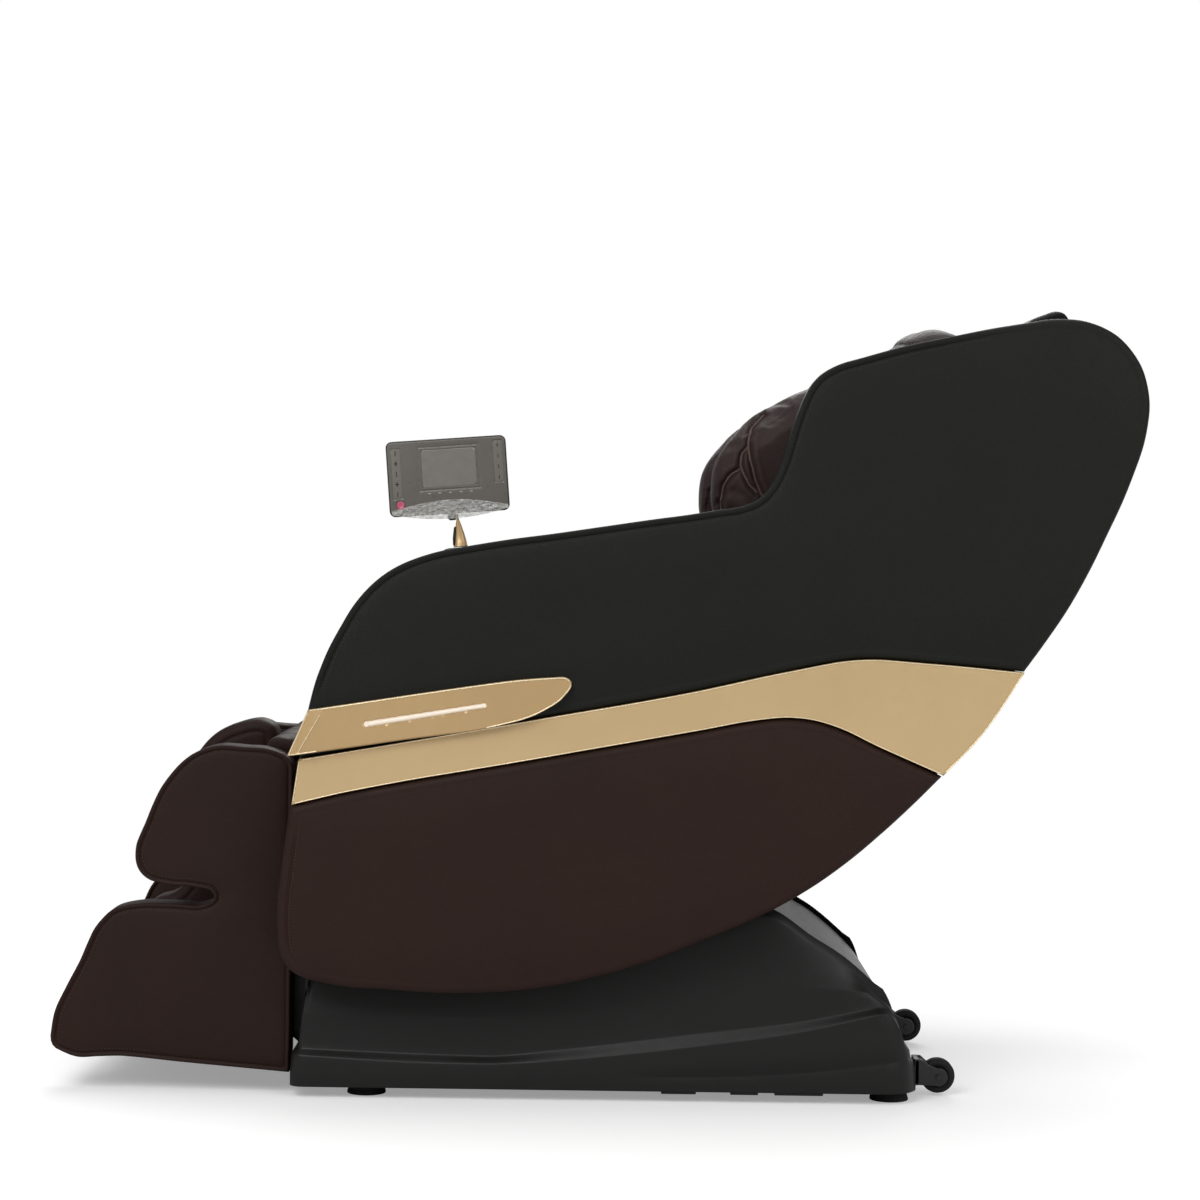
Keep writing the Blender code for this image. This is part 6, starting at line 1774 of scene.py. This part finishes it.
def makeTablet():
    look = tabletLook
    face = -look["half"]
    outline = denseLoop(roundedRect(look["left"], look["low"], look["right"], look["high"],
                                    look["corner"]), 0.004)
    left, low, right, _ = look["screen"]
    window, frameBox = grownBox(look["screen"], 0.0003), grownBox(look["screen"], 0.0045)
    stripLeft = (look["left"] + 0.0055, look["low"] + 0.027, look["left"] + 0.0225, look["high"] - 0.010)
    stripRight = (look["right"] - 0.0215, look["low"] + 0.045, look["right"] - 0.0045, look["high"] - 0.006)
    keyX, keyZ = look["key"]

    def sink(places, depth):
        rim = roundRim(depth, look["edge"])
        inScreen = np.clip(boxDistance(places, window) / 0.0003, 0, 1) * 0.0013
        frameLine = 0.0005 * np.exp(-(boxDistance(places, frameBox) / 0.0006) ** 2)
        strips = sum(0.0007 * np.clip(boxDistance(places, box) / 0.0008, 0, 1)
                     for box in (stripLeft, stripRight))
        keyGap = np.hypot(places[:, 0] - keyX, places[:, 1] - keyZ)
        well = 0.0042 * np.clip((look["wellRadius"] - keyGap) / 0.0003, 0, 1)
        collar = -0.0006 * np.exp(-((keyGap - 0.0092) / 0.0009) ** 2)
        return rim + inScreen + frameLine + strips + well + collar

    lines = [denseLoop(roundedRect(*box, 0.0012, 2), 0.004)
             for box in (window, frameBox, stripLeft, stripRight)]
    lines = [ring + ring[:1] for ring in lines]
    lines.append([(keyX + look["wellRadius"] * math.cos(t), keyZ + look["wellRadius"] * math.sin(t))
                  for t in np.linspace(0, 2 * math.pi, 33)])
    caseMesh = skinMesh("tabletCase", outline, [0.0004, 0.0010, 0.0016, 0.0022, 0.0034], 0.0058, face, -face,
                        sink, lambda p, d: roundRim(d, look["edge"]), lines,
                        (0, 0.0005, -0.0005, 0.0011, -0.0011))
    placedPiece("tabletCaseSkin", caseMesh, tabletShell, stands=["tablet_case"])
    ring = [(x, face + 0.0016, z) for x, z in outline]
    rim = grown("tabletRim", curveOf([ring + ring[:1]]), pipingTree, tabletDark,
                {"Radius": 0.0013, "Step": 0.003})
    placedPiece("tabletRim", rim, tabletDark)
    for box, name in ((stripLeft, "tabletKeysLeft"), (stripRight, "tabletKeysRight")):
        strip = denseLoop(roundedRect(*grownBox(box, -0.0009), 0.001, 2), 0.005)
        plate = skinMesh(name, strip, [0.0003, 0.0008], 0.006, face + 0.0004, face + 0.0011,
                         lambda p, d: roundRim(d, 0.0005))
        placedPiece(name, plate, tabletStrip)
    knuckle = latheForm("tabletKnuckle", [(0.0, -0.0112), (0.0058, -0.0112), (0.0066, -0.0104),
                                          (0.0066, -0.0010), (0.0060, -0.0002), (0.0, -0.0002)], 20, "X")
    knuckle.transform(Matrix.Translation((0, 0, look["knuckle"])))
    placedPiece("tabletKnuckle", knuckle, blackShell)

    def mark(x, z, wide, tall, inner=0.0008, outer=0.0002):
        return boxMesh("mark", (x - wide, face + outer, z - tall), (x + wide, face + inner, z + tall))

    marks = []
    for box, count, tall, wide in ((stripLeft, 5, 0.0042, 0.0009), (stripRight, 4, 0.0030, 0.0008)):
        x = (box[0] + box[2]) / 2
        for k in range(count):
            z = box[1] + (box[3] - box[1]) * (k + 0.5) / count
            marks.append(mark(x, z, wide, tall))
            if box is stripLeft and k % 2:
                marks.append(mark(x, z, 0.0030, wide, 0.00078))
    placedPiece("tabletMarks", joinedMesh("tabletMarks", marks), tabletTrim, smooth=False)
    ticks = [mark(left + (right - left) * (share * 1.16 - 0.08), low - 0.0100, 0.0024, 0.0007, 0.0006,
                  -0.00025)
             for share in (0.17, 0.33, 0.50, 0.67, 0.83)]
    placedPiece("tabletTicks", joinedMesh("tabletTicks", ticks), paleMark, smooth=False)
    makeFilm(face)


filmLook = {"rows": 22, "wide": 60, "hang": 0.0095, "curl": 0.012, "low": 0.0085, "arc": 0.0135,
            "lift": 0.0016, "stand": 0.0022, "thick": 0.00012}


def makeFilm(face):
    # the loose end of the protective film, crinkled and hanging past the case
    look, case = filmLook, tabletLook
    grids = [[], []]
    for layer in (0, 1):
        for v in (i / (look["rows"] - 1) for i in range(look["rows"])):
            line = []
            for u in (j / (look["wide"] - 1) for j in range(look["wide"])):
                x = case["left"] + 0.003 + (case["right"] - case["left"] - 0.004) * u
                arc = look["low"] + look["arc"] * math.sin(math.pi * u)
                low = case["low"] - look["hang"] + look["curl"] * (2 * u - 1) ** 2
                z = low + (case["low"] + arc - low) * v
                crinkle = noise.noise(Vector((x * 190, z * 150, 3.0))) * 0.0042 * (1 - v) ** 0.4
                crinkle += noise.noise(Vector((x * 130, z * 420, 9.0))) * 0.0012
                lift = look["lift"] + look["stand"] * (1 - v) ** 2 + crinkle
                line.append((x, face - max(0.0004, lift) - look["thick"] * layer, z))
            grids[layer].append(line)
    placedPiece("tabletFilmSheet", layeredSheet("tabletFilm", *grids), tabletFilm, smooth=False)


def latheForm(name, profile, sides, axis):
    # a turned form: profile is (radius, place along the axis), closed on the axis at both ends
    verts, faces, rings = [], [], []
    for radius, place in profile:
        if radius < 1e-6:
            rings.append([len(verts)])
            verts.append((0, 0, place))
        else:
            rings.append(list(range(len(verts), len(verts) + sides)))
            verts += [(radius * math.cos(t), radius * math.sin(t), place)
                      for t in (2 * math.pi * k / sides for k in range(sides))]
    for first, second in zip(rings, rings[1:]):
        for k in range(sides):
            a, b = first[k % len(first)], first[(k + 1) % len(first)]
            c, d = second[(k + 1) % len(second)], second[k % len(second)]
            corners = [a]
            for v in (b, c, d):
                if v not in corners:
                    corners.append(v)
            if len(corners) > 2:
                faces.append(corners)
    mesh = meshOf(name, verts, faces)
    if axis == "X":
        mesh.transform(Matrix.Rotation(math.radians(90), 4, "Y"))
    elif axis == "Y":
        mesh.transform(Matrix.Rotation(math.radians(-90), 4, "X"))
    return facedOut(mesh)


makeTablet()
print("tablet done")


# wheels, feet and small steel parts
wheelLook = {"place": (0.508, 0.029), "spread": 0.215, "radius": 0.025, "half": 0.011, "cheek": 0.020,
             "bolt": [(0.0, 0.0), (0.0050, 0.0), (0.0050, 0.0016), (0.0040, 0.0024), (0.0, 0.0024)],
             "washer": [(0.0, -0.0002), (0.0066, -0.0002), (0.0066, 0.0006), (0.0, 0.0006)]}


def armOutline():
    # a bracket cheek in x and z: straight at the cover, round about the axle
    x, z = wheelLook["place"]
    points = [(0.4728, 0.0180), (0.4860, 0.0168)]
    for k in range(11):
        angle = math.radians(-115 + 215 * k / 10)
        points.append((x + 0.0135 * math.cos(angle), z + 0.0135 * math.sin(angle)))
    return points + [(0.4935, 0.0470), (0.4850, 0.0545), (0.4728, 0.0550)]


def tyreProfile(radius, half):
    side = [(0.0140, half), (0.0196, half), (0.0226, half - 0.0006), (0.0242, half - 0.0022),
            (radius, half - 0.0050), (radius, 0.0016), (radius - 0.0006, 0.0008)]
    well = [(0.0146, half - 0.0014), (0.0146, half - 0.0040), (0.0142, half - 0.0046)]
    return mirroredRun(side) + well + [(r, -y) for r, y in well[::-1]]


def mirroredRun(side):
    # a profile's upper half, with its lower half put before it
    return [(r, -y) for r, y in side] + side[::-1]


def makeWheels():
    look = wheelLook
    half = look["half"]
    hub = mirroredRun([(0.0054, half - 0.0016), (0.0078, half - 0.0016), (0.0084, half - 0.0034),
                       (0.0124, half - 0.0042), (0.0140, half - 0.0030)])
    for side, sign in (("left", -1), ("right", 1)):
        x, y, z = look["place"][0], sign * look["spread"], look["place"][1]
        stem, body = "wheel" + side.title(), "wheel_" + side
        tyreMesh = ringLathe("tyre", tyreProfile(look["radius"], half), 56)
        hubMesh = ringLathe("hub", hub, 40)
        for mesh in (tyreMesh, hubMesh):
            mesh.transform(Matrix.Translation((x, y, z)))
        pieceOf(stem + "Tyre", tyreMesh, softRubber, body, [body])
        pieceOf(stem + "Hub", hubMesh, greyShell, body)
        bolts, arms = [], []
        for face in (-1, 1):
            head = latheForm("bolt", look["bolt"], 6, "Y")
            washer = latheForm("washer", look["washer"], 24, "Y")
            for mesh in (head, washer):
                if face < 0:
                    mesh.transform(Matrix.Rotation(math.pi, 4, "Z"))
                mesh.transform(Matrix.Translation((x, y + face * (look["cheek"] + 0.0001), z)))
            bolts += [head, washer]
            arms.append(skinMesh("arm", denseLoop(armOutline(), 0.003), [0.0004, 0.0010, 0.0018], 0.005,
                                 y + face * look["cheek"], y + face * (look["cheek"] - 0.005),
                                 lambda p, d: roundRim(d, 0.0014)))
        pieceOf("wheelBolt" + side.title(), joinedMesh("wheelBolt", bolts), darkSteel, "base",
                smooth=False)
        block = softBox("block", (0.4720, y - look["cheek"], 0.0170), (0.4800, y + look["cheek"], 0.0550),
                        0.0012)
        pieceOf("wheelArms" + side.title(), joinedMesh("wheelArms", arms + [block]), darkSteel, "base",
                ["wheel_bracket_" + side])


def ringLathe(name, profile, sides):
    # a closed ring profile turned about Y
    verts, faces = [], []
    count = len(profile)
    for k in range(sides):
        angle = 2 * math.pi * k / sides
        verts += [(r * math.cos(angle), place, r * math.sin(angle)) for r, place in profile]
    for k in range(sides):
        for j in range(count):
            after, onward = (j + 1) % count, (k + 1) % sides
            faces.append([k * count + j, k * count + after, onward * count + after, onward * count + j])
    return facedOut(meshOf(name, verts, faces))


footProfile = [(0.0, 0.0006), (0.0262, 0.0006), (0.0278, 0.0), (0.0280, 0.0018), (0.0272, 0.0050),
               (0.0262, 0.0062), (0.0262, 0.0120), (0.0256, 0.0150), (0.0246, 0.0162), (0.0, 0.0162)]


def makeFeet():
    for stem, x in (("front", -0.322), ("rear", 0.434)):
        for side, sign in (("left", -1), ("right", 1)):
            foot = latheForm("foot", footProfile, 44, "Z")
            foot.transform(Matrix.Translation((x, sign * 0.250, 0)))
            pieceOf("foot" + stem.title() + side.title(), foot, softRubber, "base",
                    ["foot_%s_%s" % (stem, side)])


makeWheels()
makeFeet()
print("wheels and feet done")


# stalk, its seat on the armrest, the screen and the key
def loftForm(name, sections, sides=28):
    # closed form through rounded sections: centre x, half x, half y, height, squareness
    verts, faces = [], []
    for cx, rx, ry, z, power in sections:
        for k in range(sides):
            angle = 2 * math.pi * k / sides
            c, s = math.cos(angle), math.sin(angle)
            verts.append((cx + rx * math.copysign(abs(c) ** (2 / power), c),
                          ry * math.copysign(abs(s) ** (2 / power), s), z))
    for i in range(len(sections) - 1):
        for k in range(sides):
            a, b = i * sides + k, i * sides + (k + 1) % sides
            faces.append([a, b, b + sides, a + sides])
    for start, turn in ((0, -1), ((len(sections) - 1) * sides, 1)):
        faces.append([start + k for k in range(sides)][::turn])
    return meshOf(name, verts, faces)


def makeStalk():
    cone = [(centre, rx, ry, z, 2.5) for z, centre, rx, ry in (
        (0.0156, 0.0046, 0.0112, 0.0100), (0.0168, 0.0046, 0.0118, 0.0106), (0.0190, 0.0048, 0.0110, 0.0098),
        (0.0230, 0.0050, 0.0102, 0.0078), (0.0290, 0.0048, 0.0093, 0.0066), (0.0380, 0.0043, 0.0077, 0.0058),
        (0.0480, 0.0037, 0.0056, 0.0052), (0.0560, 0.0031, 0.0037, 0.0049), (0.0610, 0.0027, 0.0022, 0.0047),
        (0.0660, 0.0025, 0.0018, 0.0045), (0.0690, 0.0024, 0.0017, 0.0040),
        (0.0702, 0.0023, 0.0013, 0.0030))]
    coneMesh = loftForm("stalkCone", cone, 32)
    boot = [(-0.0050, 0.0022, 0.0060, 0.0185, 3), (-0.0052, 0.0026, 0.0066, 0.0200, 3),
            (-0.0050, 0.0026, 0.0064, 0.0300, 3), (-0.0036, 0.0024, 0.0058, 0.0400, 3),
            (-0.0026, 0.0020, 0.0052, 0.0480, 3), (-0.0020, 0.0012, 0.0044, 0.0496, 3)]
    bootMesh = loftForm("stalkBoot", boot, 20)
    pin = latheForm("stalkPin", [(0.0, -0.0133), (0.0040, -0.0133), (0.0046, -0.0128), (0.0046, -0.0116),
                                 (0.0024, -0.0114), (0.0024, 0.0030), (0.0, 0.0030)], 20, "X")
    pin.transform(Matrix.Translation((0, 0, tabletLook["knuckle"])))
    placedPiece("tabletStalkCone", coneMesh, goldTrimPaint, "tablet_stalk", ["tablet_stalk"])
    placedPiece("tabletStalkBoot", bootMesh, blackShell, "tablet_stalk")
    placedPiece("tabletStalkPin", pin, zincSteel, "tablet_stalk")
    low = -0.0199
    seat = latheForm("stalkSeat", [(0.0, low), (0.0212, low), (0.0218, low + 0.0006), (0.0218, 0.0052),
                                   (0.0226, 0.0060), (0.0252, 0.0062), (0.0262, 0.0070), (0.0262, 0.0086),
                                   (0.0252, 0.0104), (0.0226, 0.0128), (0.0186, 0.0142), (0.0176, 0.0136),
                                   (0.0168, 0.0146), (0.0140, 0.0149), (0.0, 0.0149)], 48, "Z")
    placedPiece("tabletSeat", seat, blackShell, "cradle", ["tablet_mount"])
    face = -tabletLook["half"]
    keyX, keyZ = tabletLook["key"]
    key = latheForm("key", [(0.0, -0.0014), (0.0046, -0.0014), (0.0050, -0.0016), (0.0062, -0.0014),
                            (0.0068, -0.0008), (0.0068, 0.0022), (0.0, 0.0022)], 32, "Y")
    key.transform(Matrix.Translation((keyX, face, keyZ)))
    placedPiece("powerKeyCap", key, redKey, "power_key", ["power_key"])
    glass = skinMesh("screen", denseLoop(roundedRect(*tabletLook["screen"], 0.0010, 2), 0.005),
                     [0.0003, 0.0008, 0.0014], 0.008, face + 0.0003, face + 0.0012,
                     lambda p, d: roundRim(d, 0.0006))
    placedPiece("tabletScreenGlass", glass, screenFace, "tablet", ["tablet_screen"])


makeStalk()
print("stalk done")


# painted highlights: pale gold strips along the edges of the gold parts and along the trim's facet ridge,
# and the clips under the covers
def highlightStrip(name, runs, radius):
    # a pale gold tube laid along an edge: painted highlight
    strip = grown(name, curveOf(runs), pipingTree, paintedEdgeHighlight, {"Radius": radius, "Step": 0.004})
    pairOf(name, strip, paintedEdgeHighlight, "cradle")


def goldEdgeHighlights():
    # pale strips on the trim's edge, its facet ridge and the band's edge: painted highlights
    _, points, good = ringAt(trimLoop, 0.0014, trimSink, trimFace, 0.0008)
    keep = [g and not (p[2] < 0.5560 and -0.385 < p[0] < -0.150) for g, p in zip(good, points)]
    highlightStrip("trimEdgeHighlight", splitRuns(points, keep), 0.0010)
    a, b = trimLook["facetStart"], trimLook["facetEnd"]
    ridge = [(a[0] + (b[0] - a[0]) * t, trimFace - 0.0006, a[1] + (b[1] - a[1]) * t)
             for t in np.linspace(0.04, 0.96, 9)]
    highlightStrip("trimRidgeHighlight", [ridge], 0.0007)
    _, points, good = ringAt(bandLoop, 0.0012, bandSink, bandFace, 0.0006)
    highlightStrip("bandEdgeHighlight", splitRuns(points, list(good)), 0.0008)


def coverClips():
    parts = [softBox("clip", (x - long / 2, y - 0.004, 0.0125), (x + long / 2, y + 0.004, 0.0180), 0.0014)
             for y in (-0.2985, 0.2985) for x, long in ((0.128, 0.050), (0.222, 0.040), (0.300, 0.070))]
    pieceOf("coverClips", joinedMesh("coverClips", parts), blackShell, "base")


goldEdgeHighlights()
coverClips()
print("gold edges and clips done")


# machinery under the seat: screws, ribs and fins
screwSizes = {"Radius": 0.0032, "Height": 0.0018}


def makeScrewTree():
    tree, given, out = linkedTree("screwHead", screwSizes)
    dots = addNode(tree, "GeometryNodeMeshToPoints", {"Mesh": given.outputs["Geometry"]})
    head = addNode(tree, "GeometryNodeMeshCylinder", {"Vertices": 6, "Radius": given.outputs["Radius"],
                                                      "Depth": given.outputs["Height"]})
    placed = addNode(tree, "GeometryNodeInstanceOnPoints",
                     {"Points": dots.outputs[0], "Instance": head.outputs["Mesh"]})
    return closeTree(tree, given, out, placed.outputs[0], smooth=False)


screwTree = makeScrewTree()


def machineDetail():
    # screws, ribs on the control box and fins on the pump
    low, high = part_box("air_pump")
    spots = [(x, y, high.z + 0.0006) for y in (low.y + 0.009, high.y - 0.009)
             for x in (low.x + 0.010, high.x - 0.010)]
    fins = [boxMesh("fin", (low.x + 0.008, low.y - 0.0022, low.z + up),
                    (high.x - 0.008, low.y + 0.0006, low.z + up + 0.0036))
            for up in (0.016 + k * 0.0095 for k in range(7))]
    low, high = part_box("control_box")
    spots += [(x, y, high.z + 0.0006) for x in (low.x + 0.012, high.x - 0.012)
              for y in (low.y + 0.012, high.y - 0.012)]
    dots = helper(meshOf("dots", spots, []), "dots")
    screws = grown("machineScrews", dots, screwTree, zincSteel, {"Radius": 0.0034, "Height": 0.0022})
    ribs = [boxMesh("rib", (x, low.y + 0.022, high.z - 0.0006),
                    (x + 0.0045, high.y - 0.022, high.z + 0.0022))
            for x in (low.x + 0.035 + k * 0.0135 for k in range(9))]
    for name, mesh, finish in (("machineScrews", screws, zincSteel),
                               ("controlBoxRibs", joinedMesh("controlRibs", ribs), blackShell),
                               ("pumpFins", joinedMesh("pumpFins", fins), blackShell)):
        pieceOf(name, mesh, finish, "base", smooth=False)


machineDetail()
print("machinery detail done")


# everything that keeps its CAD shape gets its finish
bareFinish = {"black_leather": blackLeather, "brown_leather": brownLeather, "gold_paint": goldTrimPaint,
              "light_bar": lightDiffuser, "grey_plastic": greyShell, "painted_steel": steelFrame,
              "zinc_steel": zincSteel, "rubber": softRubber, "tablet_plastic": tabletShell,
              "screen_glass": screenFace, "red_key": redKey, "black_plastic": blackShell}


def dressNodes():
    slots = {row["node"]: row["material_slot"] for row in frame["record"]["subparts"]}
    for name, node in nodes.items():
        finish = bareFinish[slots[name]]
        if not node.data.materials:
            node.data.materials.append(finish)
        for slot in node.material_slots:
            slot.material = finish


dressNodes()
print("carried-over parts dressed")


# camera, light and floor
cameraView = {"place": (0.0055, -4.285, 0.789), "roll": 0.77, "lens": 83.6, "shiftY": -0.0417}


def placeCamera():
    data = bpy.data.cameras.new("camera")
    data.sensor_width = 36.0
    data.lens = cameraView["lens"]
    data.shift_y = cameraView["shiftY"]
    data.clip_end = 60.0
    camera = bpy.data.objects.new("camera", data)
    bpy.context.scene.collection.objects.link(camera)
    camera.matrix_world = Matrix.Translation(cameraView["place"]) \
        @ Matrix.Rotation(math.radians(90), 4, "X") \
        @ Matrix.Rotation(math.radians(cameraView["roll"]), 4, "Z")
    bpy.context.scene.camera = camera


def lamp(name, place, aim, size, power, colour=(1, 1, 1)):
    data = bpy.data.lights.new(name, "AREA")
    data.shape = "RECTANGLE"
    data.size, data.size_y = size
    data.energy = power
    data.color = colour
    made = bpy.data.objects.new(name, data)
    bpy.context.scene.collection.objects.link(made)
    made.location = place
    made.rotation_euler = (Vector(aim) - Vector(place)).to_track_quat("-Z", "Y").to_euler()


studio = {"world": 0.40, "floorTone": 0.82, "floorLift": 0.30, "fadeFrom": 1.1, "fadeTo": 2.1}


def buildStudio():
    world = bpy.data.worlds.new("studio")
    bpy.context.scene.world = world
    world.use_nodes = True
    tree = world.node_tree
    tree.nodes.clear()
    path = addNode(tree, "ShaderNodeLightPath").outputs
    seen = addNode(tree, "ShaderNodeMath", {0: path["Is Camera Ray"], 1: path["Is Transmission Ray"]},
                   operation="MAXIMUM")
    light = addNode(tree, "ShaderNodeBackground", {"Color": (1, 1, 1, 1), "Strength": studio["world"]})
    white = addNode(tree, "ShaderNodeBackground", {"Color": (1, 1, 1, 1)})
    mix = addNode(tree, "ShaderNodeMixShader",
                  {0: seen.outputs[0], 1: light.outputs[0], 2: white.outputs[0]})
    addNode(tree, "ShaderNodeOutputWorld", {0: mix.outputs[0]})
    lamp("keyLight", (-1.6, -3.6, 3.0), (0, 0, 0.5), (2.6, 2.2), 95)
    lamp("fillLight", (2.6, -3.0, 2.2), (0.1, 0, 0.6), (2.4, 2.0), 42)
    lamp("topLight", (0.1, 0.4, 3.4), (0, 0, 0.4), (2.6, 1.8), 42)
    lamp("backLight", (0.6, 3.4, 2.6), (0, 0, 0.5), (2.6, 2.0), 55)
    floorMesh = meshOf("floor", [(-7, -7, 0), (7, -7, 0), (7, 7, 0), (-7, 7, 0)], [(0, 1, 2, 3)])
    floor = helper(floorMesh, "floor")
    f = Finish("floorPaint", 0.85, 0.0, 0.1)
    f.put("Base Color", (studio["floorTone"],) * 3 + (1,))
    reach = f.add("ShaderNodeVectorMath", {0: f.place}, operation="LENGTH").outputs["Value"]
    fade = f.span(reach, studio["fadeFrom"], studio["fadeTo"], 0.0, 1.0)
    glow = f.add("ShaderNodeEmission", {"Color": (1, 1, 1, 1), "Strength": 1.0})
    rays = f.add("ShaderNodeLightPath").outputs
    seenToo = f.math("MAXIMUM", rays["Is Camera Ray"], rays["Is Glossy Ray"])
    share = f.math("MULTIPLY", fade, f.math("MAXIMUM", seenToo, rays["Is Transmission Ray"]))
    lift = f.add("ShaderNodeEmission", {"Strength": f.math("MULTIPLY", rays["Is Camera Ray"],
                                                           studio["floorLift"])})
    lit = f.add("ShaderNodeAddShader", {0: f.shader.outputs[0], 1: lift.outputs[0]})
    mixer = f.add("ShaderNodeMixShader", {0: share, 1: lit.outputs[0], 2: glow.outputs[0]})
    f.tree.links.new(mixer.outputs[0], f.tree.nodes["Material Output"].inputs["Surface"])
    floor.data.materials.append(f.material)
    bpy.context.scene.view_settings.view_transform = "Standard"


placeCamera()
buildStudio()
print("camera, light and floor done")
